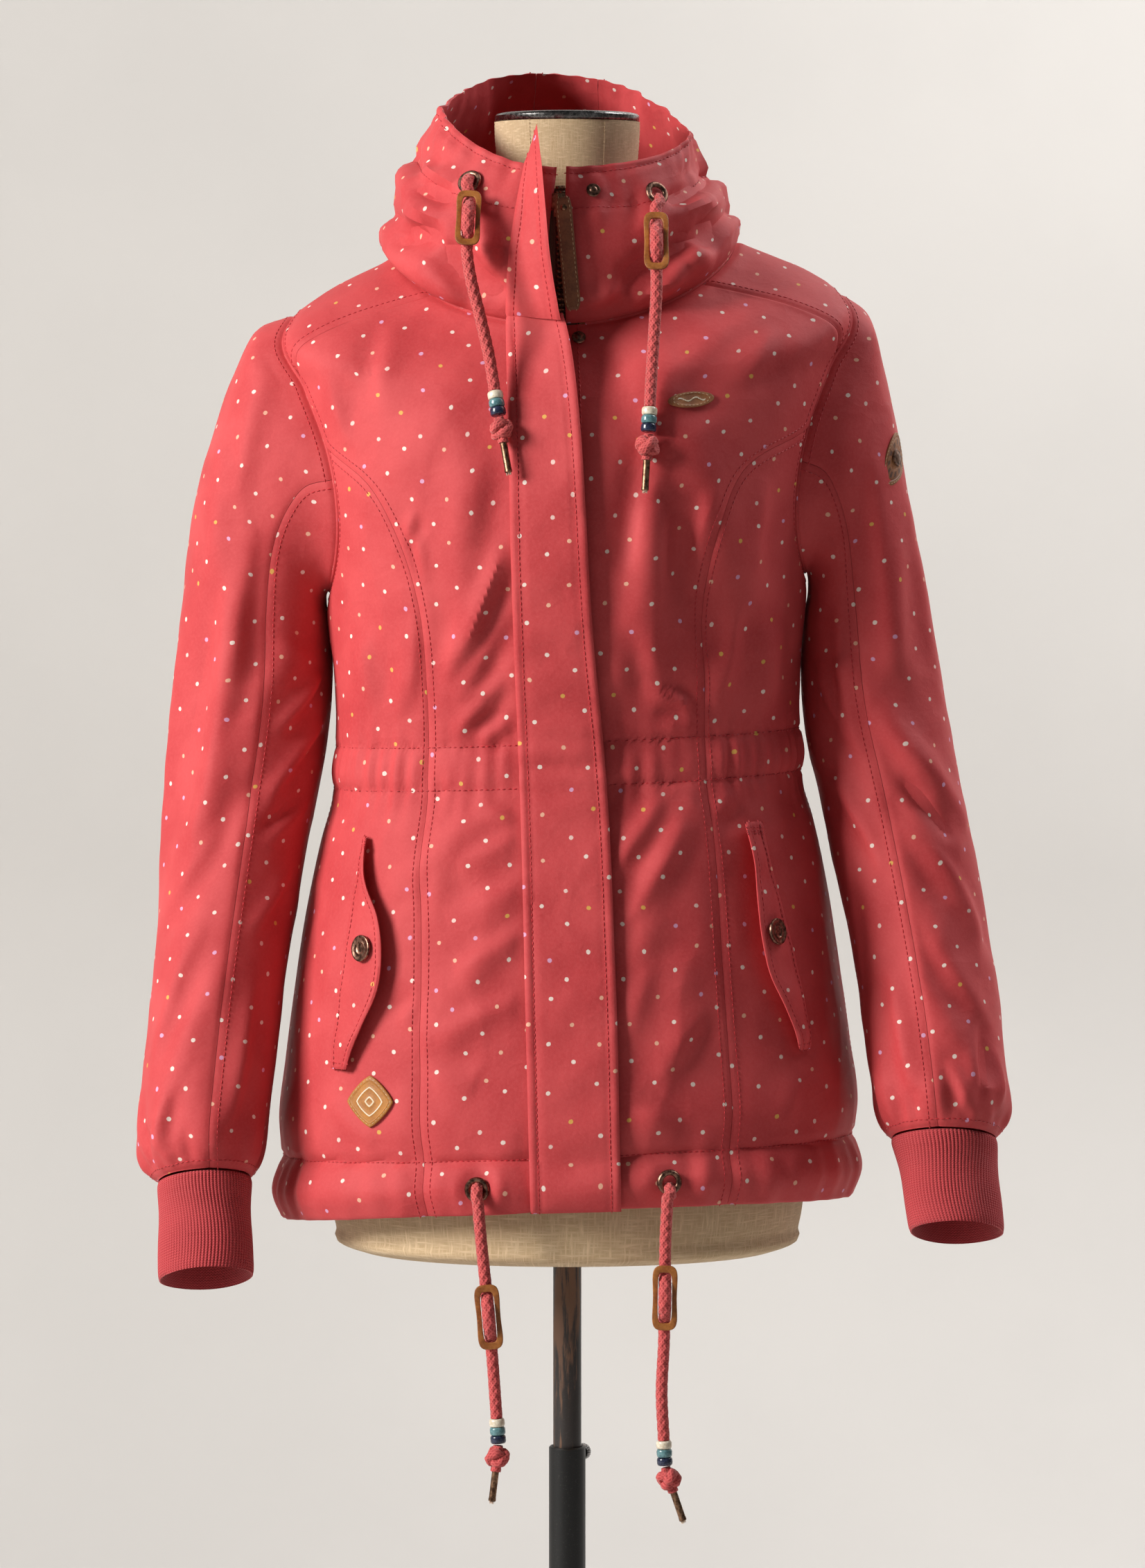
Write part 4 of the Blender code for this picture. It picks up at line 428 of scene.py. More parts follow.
SCREW_HEIGHT = 0.5285
SCREW_AROUND = math.radians(58)      # direction from the pole, from +X towards the back
SCREW_STEM = 0.0028
SCREW_HEAD = 0.0063
SCREW_STEM_LENGTH = 0.0055
SCREW_HEAD_LENGTH = 0.0055

SLIDER = (-0.0062, 5.9)              # x and hood level of the zip slider
SLIDER_SIZE = (0.0100, 0.0200, 0.0035)
SLIDER_LIFT = 0.0006
PULL_SIZE = (0.0120, 0.0018, 0.0830)
PULL_HINGE = (-0.0030, -0.1190, 1.4790)
PULL_LEAN = math.radians(5.4)        # the strap's lower end hangs towards the wearer's left
PULL_ABOVE = 0.0030                  # strap above its hinge
WAIST_LINES = (1.048, 1.080)
WAIST_MID = 1.064
HEM_LINE = 0.770
RIM_LINE = 7.66          # levels of the hood's two stitched lines
CHANNEL_LINE = 5.75



# ---------------------------------------------------------------- sections and faces
def smooth(knots: Array, values: Array, level: Any) -> Array:
    """Read a column of a table at any level, on a smooth curve through its rows.

    Args:
        knots: Levels of the rows.
        values: The column.
        level: Where to read it.

    Returns:
        The column's values there.
    """
    level = np.clip(np.asarray(level, float), knots[0], knots[-1])
    row = np.clip(np.searchsorted(knots, level, side="right") - 1, 0, len(knots) - 2)
    step = knots[row + 1] - knots[row]
    part = (level - knots[row]) / step
    slope = np.gradient(values, knots)
    low = values[row] * (1 + 2 * part) * (1 - part) ** 2
    high = values[row + 1] * part**2 * (3 - 2 * part)
    bend = slope[row] * part * (1 - part) ** 2 - slope[row + 1] * part**2 * (1 - part)
    return low + high + step * bend


class Sections:
    """A table with named columns, read by its first column."""

    def __init__(self, columns: Sequence[str], rows: Rows) -> None:
        """Keep the columns of the table by name."""
        self.knots = np.array([row[0] for row in rows], float)
        self.columns = {name: np.array([row[i] for row in rows], float) for i, name in enumerate(columns)}

    def at(self, column: str, level: Any) -> Array:
        """Values of a column at these levels."""
        return smooth(self.knots, self.columns[column], level)

    def half(self, level: Any, sign: Any) -> Any:
        """Half width of a section on the side with this sign."""
        return self.at("half", level) + (sign * self.at("skew", level) if "skew" in self.columns else 0.0)


BODY = Sections(BODY_COLUMNS, BODY_ROWS)
HOOD = Sections(HOOD_COLUMNS, HOOD_ROWS)
FORM = Sections(FORM_COLUMNS, FORM_ROWS)
FLAP = Sections(FLAP_COLUMNS, FLAP_ROWS)
POCKET = Sections(POCKET_COLUMNS, tuple(reversed(POCKET_ROWS)))
SLEEVE = {side: Sections(SLEEVE_COLUMNS, SLEEVE_ROWS[side.word]) for side in Side}
CUFF = {side: Sections(SLEEVE_COLUMNS, CUFF_ROWS[side.word]) for side in Side}


def ring(table: Sections, level: Any, theta: Any) -> tuple[Array, Array]:
    """x and y of a squared oval, with its own depth in front and behind."""
    cosine = np.cos(theta)
    sine = np.sin(theta)
    power = 2.0 / table.at("square", level)
    depth = np.where(sine < 0, table.at("front", level), table.at("back", level))
    x = table.half(level, np.sign(cosine)) * np.sign(cosine) * np.abs(cosine) ** power
    y = depth * np.sign(sine) * np.abs(sine) ** power
    return x, y


def creases(across: Array, along: Array, folds: Rows) -> Array:
    """Height of the soft folds at a place on a face.

    Args:
        across: Place across the face, in metres.
        along: Place along it, in metres.
        folds: Rows of x1, z1, x2, z2, width and height.

    Returns:
        The summed height of all folds there.
    """
    total = np.zeros(np.broadcast(across, along).shape)
    for x1, z1, x2, z2, width, height in folds:
        run_x = x2 - x1
        run_z = z2 - z1
        part = ((across - x1) * run_x + (along - z1) * run_z) / (run_x**2 + run_z**2)
        part = np.clip(part, 0.0, 1.0)
        off = np.hypot(across - x1 - part * run_x, along - z1 - part * run_z)
        total = total + height * np.exp(-((off / width) ** 2))
    return total


def rise(table: Sections, level: Array, theta: Array) -> Array:
    """How much a section stands higher in front or behind than at its sides."""
    front = table.at("front_rise", level)
    back = table.at("back_rise", level)
    return np.where(np.sin(theta) < 0, front, back) * np.abs(np.sin(theta)) ** RISE_POWER


def pushed(x: Array, y: Array, z: Array, theta: Array, front: Rows, back: Rows) -> Array:
    """Points of a ring, pushed out by the folds of its front or back."""
    push = np.where(np.sin(theta) < 0, creases(x, z, front), creases(x, z, back))
    return np.stack([x + push * np.cos(theta), y + push * np.sin(theta), z], -1)


def body_face(theta: Array, level: Array) -> Array:
    """Outer face of the body of the coat."""
    theta, level = np.broadcast_arrays(theta, level)
    x, y = ring(BODY, level, theta)
    z = level + rise(BODY, level, theta)
    return pushed(x, y, z, theta, FRONT_FOLDS, BACK_FOLDS)


def hood_shape(theta: Array, level: Array) -> Array:
    """The hood's face before it is joined to the neck seam; its rim climbs towards the wearer's right."""
    x, y = ring(HOOD, level, theta)
    climb = HOOD_TILT * (np.clip(level, 0, HOOD_SECTIONS) / HOOD_SECTIONS) ** HOOD_TILT_POWER
    spread = np.where(np.sin(theta) < 0, np.abs(np.cos(theta)), 1.0)
    z = HOOD.at("side_z", level) + rise(HOOD, level, theta) + climb * spread * x
    return pushed(x, y, z, theta, HOOD_FRONT_FOLDS, HOOD_BACK_FOLDS)


def hood_face(theta: Array, level: Array) -> Array:
    """Outer face of the hood, which starts on the neck seam of the body."""
    theta, level = np.broadcast_arrays(theta, level)
    fade = np.clip(1 - level, 0.0, 1.0)[..., None]
    root = body_face(theta, np.full(theta.shape, NECK)) - hood_shape(theta, np.zeros(theta.shape))
    return hood_shape(theta, level) + fade**2 * root


def armhole(turn: Any) -> tuple[Array, Array]:
    """Angle and level of the armhole; turn is 0 at the shoulder, positive in front."""
    level = ARM_MID + ARM_HALF * np.cos(turn)
    theta = -ARM_WIDTH * np.sin(turn) * (1 - ARM_LOW * np.cos(turn))
    return theta, level


def tube_section(table: Sections, turn: Array, station: Array) -> tuple[Array, Array]:
    """A ring of a sleeve or cuff, on the wearer's left, and the direction out of it."""
    across = 0.5 * (table.at("x_out", station) - table.at("x_in", station))
    climb = 0.5 * (table.at("z_out", station) - table.at("z_in", station))
    depth = table.at("depth", station)
    cosine = np.cos(turn)
    sine = np.sin(turn)
    x = 0.5 * (table.at("x_out", station) + table.at("x_in", station)) + across * cosine
    y = table.at("y_mid", station) - depth * sine
    z = 0.5 * (table.at("z_out", station) + table.at("z_in", station)) + climb * cosine
    z = z + depth * sine * np.tan(np.radians(table.at("pitch", station)))
    reach = np.hypot(across, climb)
    out = np.stack([across * cosine / reach, -sine, climb * cosine / reach], -1)
    out = out / np.linalg.norm(out, axis=-1, keepdims=True)
    return np.stack([x, y, z], -1), out


def mirrored(points: Array, side: Side) -> Array:
    """Points of the wearer's left, on this side."""
    return points * np.array([side.value, 1.0, 1.0])


def armhole_theta(theta: Array, side: Side, about: float = -RIGHT_ANGLE) -> Array:
    """The same place on the wearer's right, on the branch that runs through `about`."""
    return theta if side is Side.LEFT else 2 * about - theta


def sleeve_face(side: Side, turn: Array, station: Array) -> Array:
    """Outer face of a sleeve, which starts on the armhole of the body."""
    turn, station = np.broadcast_arrays(turn, station)
    points, out = tube_section(SLEEVE[side], turn, station)
    start = tube_section(SLEEVE[side], turn, np.zeros(turn.shape))[0]
    theta, level = armhole(turn)
    root = mirrored(body_face(armhole_theta(theta, side), level), side)
    fade = np.clip(1 - station / ROOT_FADE, 0.0, 1.0)[..., None] ** 2
    signed_turn = (turn + math.pi) % (2 * math.pi) - math.pi
    folds = [
        (math.radians(t1) * SLEEVE_RADIUS, s1 * SLEEVE_STEP, math.radians(t2) * SLEEVE_RADIUS,
         s2 * SLEEVE_STEP,
         width, height)
        for t1, s1, t2, s2, width, height in SLEEVE_FOLDS[side.word]
    ]
    push = creases(signed_turn * SLEEVE_RADIUS, station * SLEEVE_STEP, folds)
    gather = np.exp(-(((station - SLEEVE_SECTIONS + 0.9) / 0.8) ** 2))
    push = push + GATHER_HEIGHT * gather * np.cos(GATHERS * turn)
    push = push * np.clip(station, 0, 1) * np.clip((SLEEVE_SECTIONS - station) / 0.5, 0, 1)
    return mirrored(points + fade * (root - start) + out * push[..., None], side)


Face = Callable[[Array, Array], Array]


def face_normal(face: Face, first: Array, second: Array, step: float = 0.01,
                rise_step: float = 0.003) -> Array:
    """Unit direction out of a face, from small steps on it."""
    along = face(first + step, second) - face(first - step, second)
    up = face(first, second + rise_step) - face(first, second - rise_step)
    normal = np.cross(along, up)
    return normal / np.maximum(np.linalg.norm(normal, axis=-1, keepdims=True), 1e-9)


def hang(points: Array) -> Array:
    """The whole coat hangs a little higher on the wearer's left."""
    points = np.array(points, float)
    points[..., 2] += LEAN * points[..., 0]
    return points


# ---------------------------------------------------------------- seam lines, as angle and level
def through(points: Rows, count: int) -> Array:
    """Evenly spaced points on a smooth curve through these points."""
    points = np.array(points, float)
    chords = np.linalg.norm(np.diff(points, axis=0), axis=1)
    knots = np.concatenate([[0.0], np.cumsum(chords)])
    fine = np.linspace(0, knots[-1], 400)
    curve = np.stack([smooth(knots, points[:, i], fine) for i in range(points.shape[1])], -1)
    length = np.concatenate([[0.0], np.cumsum(np.linalg.norm(np.diff(curve, axis=0), axis=1))])
    wanted = np.linspace(0, length[-1], count + 1)
    return np.stack([np.interp(wanted, length, curve[:, i]) for i in range(points.shape[1])], -1)


def angle_at_x(table: Sections, x: Any, level: Any) -> Array:
    """Angle on the front of a ring of the table where it has this x."""
    share = np.clip(np.abs(x) / table.half(level, np.sign(x)), 0, 1) ** (table.at("square", level) / 2)
    return -np.arccos(np.sign(x) * share)


def arm_line(first: float, last: float, count: int) -> Array:
    """Part of the armhole, between two turns in degrees."""
    theta, level = armhole(np.radians(np.linspace(first, last, count + 1)))
    return np.stack([theta, level], -1)


def level_line(level: float, first: float, last: float, count: int) -> Array:
    """A line at one level, between two angles."""
    theta = np.linspace(first, last, count + 1)
    return np.stack([theta, np.full(theta.shape, level)], -1)


def princess(rows: Rows, end_turn: float, front: bool, count: int) -> Array:
    """A princess seam from the hem to the armhole."""
    heading = 0.19
    sign = 1 if front else -1
    points = [(heading * sign * float(angle_at_x(BODY, x, level)), level) for x, level in rows]
    theta, level = armhole(math.radians(end_turn))
    points.append((heading * float(theta), float(level)))
    return through(points, count) / np.array([heading, 1.0])


def straight(start: Sequence[float], end: Sequence[float], count: int) -> Array:
    """Evenly spaced points between two."""
    part = np.linspace(0, 1, count + 1)[:, None]
    return (1 - part) * np.array(start) + part * np.array(end)


def closure_x(level: Any) -> Any:
    """x of the zip at a level."""
    return CLOSURE_X + CLOSURE_DRIFT * (NECK - level)


def to_side(line: Any, side: Side, about: float = -RIGHT_ANGLE) -> Array:
    """A line of the wearer's left, on the wearer's own side."""
    line = np.array(line, float)
    if side is Side.RIGHT:
        line[:, 0] = 2 * about - line[:, 0]
    return line


def join(*lines: Array) -> Array:
    """Lines that follow each other, as one."""
    return np.concatenate([lines[0]] + [line[1:] for line in lines[1:]])


def sample(line: Array, part: Array) -> Array:
    """A line read at these shares of its points."""
    place = np.linspace(0, 1, len(line))
    return np.stack([np.interp(part, place, line[:, i]) for i in range(line.shape[1])], -1)


def fill(bottom: Array, top: Array, left: Array, right: Array, across: Array, up: Array) -> Array:
    """Grid of places between four lines.

    Args:
        bottom: Line along the lower edge.
        top: Line along the upper edge.
        left: Line up the first edge.
        right: Line up the last edge.
        across: Shares at which the grid's columns lie.
        up: Shares at which its rows lie.

    Returns:
        Places of shape (columns, rows, 2).
    """
    low = sample(bottom, across)[:, None]
    high = sample(top, across)[:, None]
    first = sample(left, up)[None]
    last = sample(right, up)[None]
    a = across[:, None, None]
    u = up[None, :, None]
    corners = ((1 - a) * (1 - u) * low[0, 0] + a * (1 - u) * low[-1, 0]
               + (1 - a) * u * high[0, 0] + a * u * high[-1, 0])
    return (1 - u) * low + u * high + (1 - a) * first + a * last - corners


def shares(count: int, length: float) -> Array:
    """Shares along an edge: even, and closer where the cloth turns in at both ends."""
    ends = np.array([0.0, 0.0012, 0.0026, 0.0045]) / length
    inner = np.linspace(0, 1, count + 1)
    inner = inner[(inner > ends[-1] * 1.3) & (inner < 1 - ends[-1] * 1.3)]
    whole = np.concatenate([ends, inner, 1 - ends[::-1]])
    return whole if len(whole) % 2 else np.delete(whole, len(whole) // 2)


# ---------------------------------------------------------------- fine relief of the cloth
@dataclass(frozen=True)
class Undulation:
    """A smooth seeded unevenness in space: a sum of waves that run every way."""

    seed: int
    size: float
    waves: int = 9

    def at(self, points: Array) -> Array:
        """Its height, about -1 to 1, at these points."""
        rng = np.random.default_rng(self.seed)
        ways = rng.normal(size=(self.waves, 3))
        ways /= np.linalg.norm(ways, axis=1, keepdims=True)
        lengths = self.size * (0.7 + 0.7 * rng.random(self.waves))
        phases = rng.random(self.waves) * 2 * math.pi
        total = np.zeros(points.shape[:-1])
        for way, length, phase in zip(ways, lengths, phases):
            total = total + np.sin(points @ way * (2 * math.pi / length) + phase)
        return total / math.sqrt(self.waves / 2) / 1.6


def band(value: Array, middle: float, half: float) -> Array:
    """A soft band: 1 at the middle, falling off over half its width."""
    return np.exp(-(((value - middle) / half) ** 2))


SWELL = Undulation(11, 0.23)
ROLL = Undulation(23, 0.105)
CRUMPLE = Undulation(37, 0.040)
DRIFT = Undulation(51, 0.075)

# Creases listed one by one: from one place to another on the face seen from that side, width and height
# of the ridge, and how far its middle bows. A ridge is steeper to the right of its direction.
# The columns are x1, z1, x2, z2, width, height and bow.
FRONT_CREASES = (
    (-0.091, 1.129, -0.042, 1.227, 0.0080, 0.0032, 0.003),
    (-0.083, 1.113, -0.039, 1.191, 0.0070, 0.0024, 0.002),
    (-0.074, 1.159, -0.039, 1.236, 0.0065, 0.0020, -0.002),
    (-0.083, 1.089, -0.046, 1.130, 0.0065, 0.0024, 0.000),
    (-0.065, 1.082, -0.037, 1.101, 0.0050, 0.0020, 0.000),
    (-0.112, 1.199, -0.123, 1.246, 0.0045, -0.0022, 0.002),
    (-0.126, 1.222, -0.111, 1.256, 0.0045, 0.0020, 0.000),
    (-0.151, 1.328, -0.138, 1.398, 0.0080, -0.0024, -0.003),
    (-0.162, 1.303, -0.178, 1.360, 0.0070, 0.0018, 0.000),
    (-0.125, 1.102, -0.105, 1.199, 0.0090, 0.0018, 0.004),
    (-0.076, 1.228, -0.058, 1.309, 0.0120, 0.0016, 0.003),
    (-0.132, 1.276, -0.091, 1.346, 0.0160, 0.0015, 0.006),
    (-0.144, 1.108, -0.152, 1.160, 0.0080, 0.0016, 0.000),
    (-0.029, 1.013, -0.081, 0.991, 0.0080, 0.0018, 0.002),
    (-0.028, 0.980, -0.091, 0.957, 0.0090, 0.0016, -0.002),
    (-0.027, 0.943, -0.083, 0.914, 0.0080, 0.0020, 0.002),
    (-0.029, 0.894, -0.098, 0.866, 0.0090, 0.0018, 0.003),
    (-0.065, 0.834, -0.106, 0.844, 0.0100, 0.0014, -0.003),
    (-0.032, 1.022, -0.060, 1.033, 0.0060, 0.0014, 0.000),
    (-0.091, 0.991, -0.111, 0.951, 0.0100, 0.0014, 0.000),
    (-0.100, 0.897, -0.125, 0.877, 0.0060, 0.0022, 0.000),
    (0.062, 1.123, 0.074, 1.278, 0.0130, 0.0034, -0.004),
    (0.040, 1.203, 0.050, 1.300, 0.0090, -0.0028, 0.000),
    (0.055, 1.100, 0.043, 1.167, 0.0090, -0.0022, 0.003),
    (0.085, 1.181, 0.095, 1.267, 0.0080, -0.0018, 0.000),
    (0.099, 1.087, 0.074, 1.115, 0.0055, 0.0022, 0.003),
    (0.097, 1.108, 0.055, 1.123, 0.0050, 0.0018, -0.004),
    (0.099, 1.082, 0.062, 1.092, 0.0060, 0.0016, 0.003),
    (0.110, 1.101, 0.126, 1.183, 0.0080, 0.0022, 0.002),
    (0.137, 1.194, 0.146, 1.270, 0.0090, 0.0018, 0.000),
    (0.149, 1.091, 0.154, 1.163, 0.0080, 0.0015, 0.000),
    (0.027, 0.981, 0.075, 1.046, 0.0090, 0.0026, 0.003),
    (0.045, 0.947, 0.088, 1.020, 0.0100, 0.0018, 0.000),
    (0.068, 0.829, 0.107, 0.884, 0.0090, 0.0019, -0.003),
    (0.045, 0.861, 0.060, 0.921, 0.0120, 0.0018, 0.000),
    (0.098, 1.017, 0.128, 1.036, 0.0070, 0.0018, 0.000),
    (0.085, 0.793, 0.045, 0.810, 0.0080, 0.0016, 0.002),
    (0.154, 0.785, 0.175, 0.825, 0.0090, 0.0016, 0.000),
    (-0.178, 0.819, -0.142, 0.786, 0.0080, 0.0014, 0.000),
    (0.124, 1.337, 0.154, 1.382, 0.0090, 0.0016, 0.003),
    (0.042, 1.320, 0.057, 1.361, 0.0140, 0.0014, 0.000),
)
HOOD_CREASES = (
    (-0.043, 1.411, -0.092, 1.453, 0.0100, -0.0050, -0.004),
    (-0.061, 1.403, -0.112, 1.448, 0.0100, 0.0032, -0.003),
    (-0.092, 1.462, -0.133, 1.457, 0.0080, -0.0040, 0.002),
    (-0.084, 1.488, -0.121, 1.496, 0.0070, -0.0045, 0.003),
    (-0.066, 1.430, -0.086, 1.480, 0.0080, -0.0022, 0.003),
    (-0.050, 1.427, -0.061, 1.464, 0.0070, 0.0018, 0.000),
    (-0.092, 1.506, -0.106, 1.530, 0.0080, -0.0024, 0.000),
    (0.032, 1.414, 0.062, 1.437, 0.0090, -0.0040, 0.005),
    (0.012, 1.404, 0.042, 1.424, 0.0080, 0.0032, 0.004),
    (0.045, 1.403, 0.086, 1.429, 0.0090, 0.0030, 0.004),
    (0.094, 1.456, 0.117, 1.445, 0.0090, -0.0050, 0.003),
    (0.060, 1.415, 0.096, 1.455, 0.0090, -0.0040, -0.004),
    (0.072, 1.474, 0.099, 1.492, 0.0070, -0.0024, 0.002),
    (0.086, 1.478, 0.121, 1.462, 0.0080, 0.0024, -0.002),
    (0.099, 1.511, 0.086, 1.493, 0.0070, -0.0018, 0.000),
    (0.022, 1.460, 0.023, 1.501, 0.0070, 0.0016, 0.000),
    (0.045, 1.452, 0.055, 1.494, 0.0080, -0.0016, 0.002),
)
BACK_CREASES = (
    (0.060, 1.120, 0.120, 1.260, 0.010, 0.0026, 0.004),
    (-0.055, 1.115, -0.125, 1.250, 0.010, 0.0024, -0.004),
    (0.020, 1.110, 0.050, 1.230, 0.009, 0.0020, 0.003),
    (-0.020, 1.105, -0.045, 1.215, 0.008, -0.0020, 0.000),
    (0.100, 1.095, 0.150, 1.150, 0.007, 0.0018, 0.002),
    (-0.110, 1.090, -0.155, 1.155, 0.007, 0.0020, 0.000),
    (0.030, 1.020, 0.060, 0.900, 0.010, 0.0022, -0.004),
    (-0.035, 1.025, -0.070, 0.890, 0.011, 0.0020, 0.004),
    (0.110, 1.010, 0.150, 0.900, 0.010, 0.0018, 0.000),
    (-0.120, 1.000, -0.160, 0.880, 0.010, 0.0018, 0.003),
    (0.000, 0.800, 0.060, 0.860, 0.010, 0.0016, 0.003),
    (-0.020, 0.830, -0.080, 0.800, 0.009, 0.0014, 0.000),
    (0.080, 1.360, 0.150, 1.330, 0.012, 0.0018, 0.004),
    (-0.085, 1.365, -0.150, 1.325, 0.012, 0.0016, -0.004),
)
HOOD_NOTCHES = ((3.1, 0.0050), (5.8, 0.0060))    # level and depth of the folds at its sides
POUCH_CREASES = (
    (0.060, 1.395, 0.110, 1.470, 0.010, -0.0040, 0.006),
    (-0.060, 1.390, -0.115, 1.465, 0.010, -0.0044, -0.006),
    (0.030, 1.450, 0.045, 1.530, 0.010, 0.0030, 0.004),
    (-0.030, 1.455, -0.050, 1.535, 0.010, 0.0028, -0.004),
    (0.000, 1.480, 0.006, 1.560, 0.009, -0.0026, 0.000),
    (0.085, 1.500, 0.070, 1.560, 0.008, 0.0022, 0.003),
    (-0.090, 1.495, -0.075, 1.555, 0.008, 0.0022, -0.003),
    (0.015, 1.420, -0.030, 1.445, 0.009, 0.0022, 0.000),
)
# The same on the sleeves, with turns in degrees and sections in place of x and z.
SLEEVE_CREASES = {
    "right": (
        (62, 4.6, 40, 8.6, 0.011, -0.0036, 0.000),
        (84, 3.2, 66, 8.2, 0.010, 0.0026, 0.003),
        (20, 5.2, 6, 9.4, 0.012, 0.0022, -0.003),
        (150, 5.8, 112, 7.2, 0.007, 0.0034, 0.003),
        (162, 6.9, 114, 8.2, 0.007, 0.0030, -0.003),
        (155, 8.0, 108, 8.6, 0.006, -0.0028, 0.002),
        (150, 9.0, 116, 9.9, 0.008, 0.0024, 0.002),
        (82, 8.4, 20, 9.6, 0.009, 0.0024, 0.005),
        (76, 9.6, 34, 11.6, 0.010, 0.0020, -0.004),
        (128, 10.4, 118, 12.8, 0.008, 0.0020, 0.000),
        (60, 11.8, 48, 13.4, 0.007, 0.0022, 0.000),
        (10, 11.6, 24, 13.5, 0.008, 0.0020, 0.003),
        (-60, 6.0, -40, 9.8, 0.012, 0.0026, 0.003),
        (-100, 8.0, -40, 9.2, 0.009, 0.0026, 0.004),
        (-150, 7.6, -98, 8.8, 0.008, 0.0028, -0.004),
        (-70, 10.8, -60, 13.2, 0.009, 0.0022, 0.000),
        (50, 0.6, 66, 3.4, 0.010, 0.0018, 0.000),
        (-40, 0.8, -58, 3.8, 0.011, 0.0020, 0.000),
    ),
    "left": (
        (96, 6.9, 20, 8.6, 0.013, 0.0040, 0.006),
        (98, 8.5, 30, 10.2, 0.012, 0.0034, -0.006),
        (88, 7.9, 48, 8.9, 0.007, -0.0026, 0.000),
        (92, 9.9, 40, 11.4, 0.010, 0.0020, 0.004),
        (118, 4.4, 104, 8.4, 0.008, 0.0022, 0.002),
        (140, 5.6, 112, 7.6, 0.008, 0.0026, 0.003),
        (146, 7.8, 112, 9.4, 0.008, 0.0024, -0.003),
        (60, 2.2, 72, 6.4, 0.012, 0.0020, 0.003),
        (30, 3.4, 24, 7.0, 0.013, 0.0020, 0.000),
        (124, 10.6, 120, 13.0, 0.009, 0.0022, 0.000),
        (84, 12.0, 70, 13.6, 0.007, 0.0026, 0.000),
        (48, 11.2, 62, 13.5, 0.007, -0.0024, 0.000),
        (34, 11.6, 30, 13.5, 0.008, 0.0024, 0.000),
        (-40, 6.4, -66, 9.6, 0.012, 0.0026, 0.003),
        (-104, 8.2, -46, 9.4, 0.009, 0.0026, 0.004),
        (-146, 7.4, -96, 8.6, 0.008, 0.0026, -0.004),
        (-66, 10.6, -58, 13.2, 0.009, 0.0022, 0.000),
        (-44, 0.8, -60, 3.8, 0.011, 0.0020, 0.000),
    ),
}
CREASE_STEEP, CREASE_GENTLE = 0.70, 1.25      # widths of the two sides of a ridge
CREASE_TROUGH = 0.45                          # share of the height of the trough beside it
CREASE_GAIN = 1.7                             # all heights are raised by this


def hand_creases(across: Array, along: Array, rows: Rows) -> Array:
    """Height of the listed creases: each swells and dies away, with a trough on its steep side."""
    total = np.zeros(np.broadcast(across, along).shape)
    for x1, z1, x2, z2, width, height, bow in rows:
        run_x, run_z = x2 - x1, z2 - z1
        long = math.hypot(run_x, run_z)
        share = np.clip(((across - x1) * run_x + (along - z1) * run_z) / long**2, 0.0, 1.0)
        off = ((across - x1) * run_z - (along - z1) * run_x) / long - bow * 4 * share * (1 - share)
        wide = width * np.where(off > 0, CREASE_STEEP, CREASE_GENTLE)
        trough = band(off, 1.7 * width, width)
        swell = CREASE_GAIN * height * np.sin(math.pi * share) ** 0.8
        total = total + swell * (band(off, 0.0, wide) - CREASE_TROUGH * trough)
    return total


def ridged(noise: Array) -> Array:
    """Turns an unevenness into narrow soft ridges between wide hollows."""
    return (1 - np.abs(noise)) ** 3


def cloth_relief(points: Array) -> Array:
    """The unevenness of lightly padded cotton that hangs: broad swells with a few soft ridges."""
    swell = 0.0013 * SWELL.at(points) + 0.0008 * ROLL.at(points)
    return swell + 0.0006 * ridged(DRIFT.at(points)) + 0.00025 * CRUMPLE.at(points)


def gathers(along: Array, points: Array, pitch: float, height: float) -> Array:
    """Ripples across a gathered line, of uneven width and height."""
    bent = along + 0.004 * ROLL.at(points)
    wave = np.sin(2 * math.pi * bent / pitch) + 0.6 * np.sin(2 * math.pi * bent / (pitch * 1.73) + 1.1)
    return height * wave * (0.75 + 0.55 * SWELL.at(points * 2.2))


def spot_shares(points: Array) -> Array:
    """Share of the relief that stays: little under the eyelets, studs and patches."""
    rows = [(x, level, where == "hood", 0.0125) for x, level, where in (*STUDS.values(), *EYELETS.values())]
    rows += [(*patch[:2], False, patch[2] + 0.004) for patch in (OVAL_PATCH, DIAMOND_PATCH)]
    kept = np.ones(points.shape[:-1])
    for x, level, on_hood, radius in rows:
        spot, _ = front_place(np.array([x]), np.array([level]), on_hood)
        kept = kept * (1 - np.exp(-((np.linalg.norm(points - spot[0], axis=-1) / radius) ** 4)))
    return kept


def between(value: Array, low: Array, high: Array, soft: float) -> Array:
    """1 between two values, and falling to 0 over a soft distance outside them."""
    return np.clip(1 + np.minimum(value - low, high - value) / soft, 0, 1)


def calmed(relief: Array, points: Array) -> Array:
    """The relief, pressed flat under the trims, the storm flap and the pocket flaps."""
    across, up = points[..., 0], points[..., 2]
    cover = between(across, FLAP.at("sewn_x", up), FLAP.at("free_x", up), 0.010)
    for side in Side:
        span = between(up, POCKET_ROWS[-1][0], POCKET_ROWS[0][0], 0.010)
        out = across * side.value
        low, high = POCKET.at(f"free_{side.word}", up), POCKET.at(f"hinge_{side.word}", up)
        cover = np.maximum(cover, span * between(out, low, high, 0.008))
    cover = np.where(points[..., 1] < 0, cover, 0.0)
    return np.where(relief > 0, relief * (1 - 0.9 * cover), relief) * spot_shares(points)


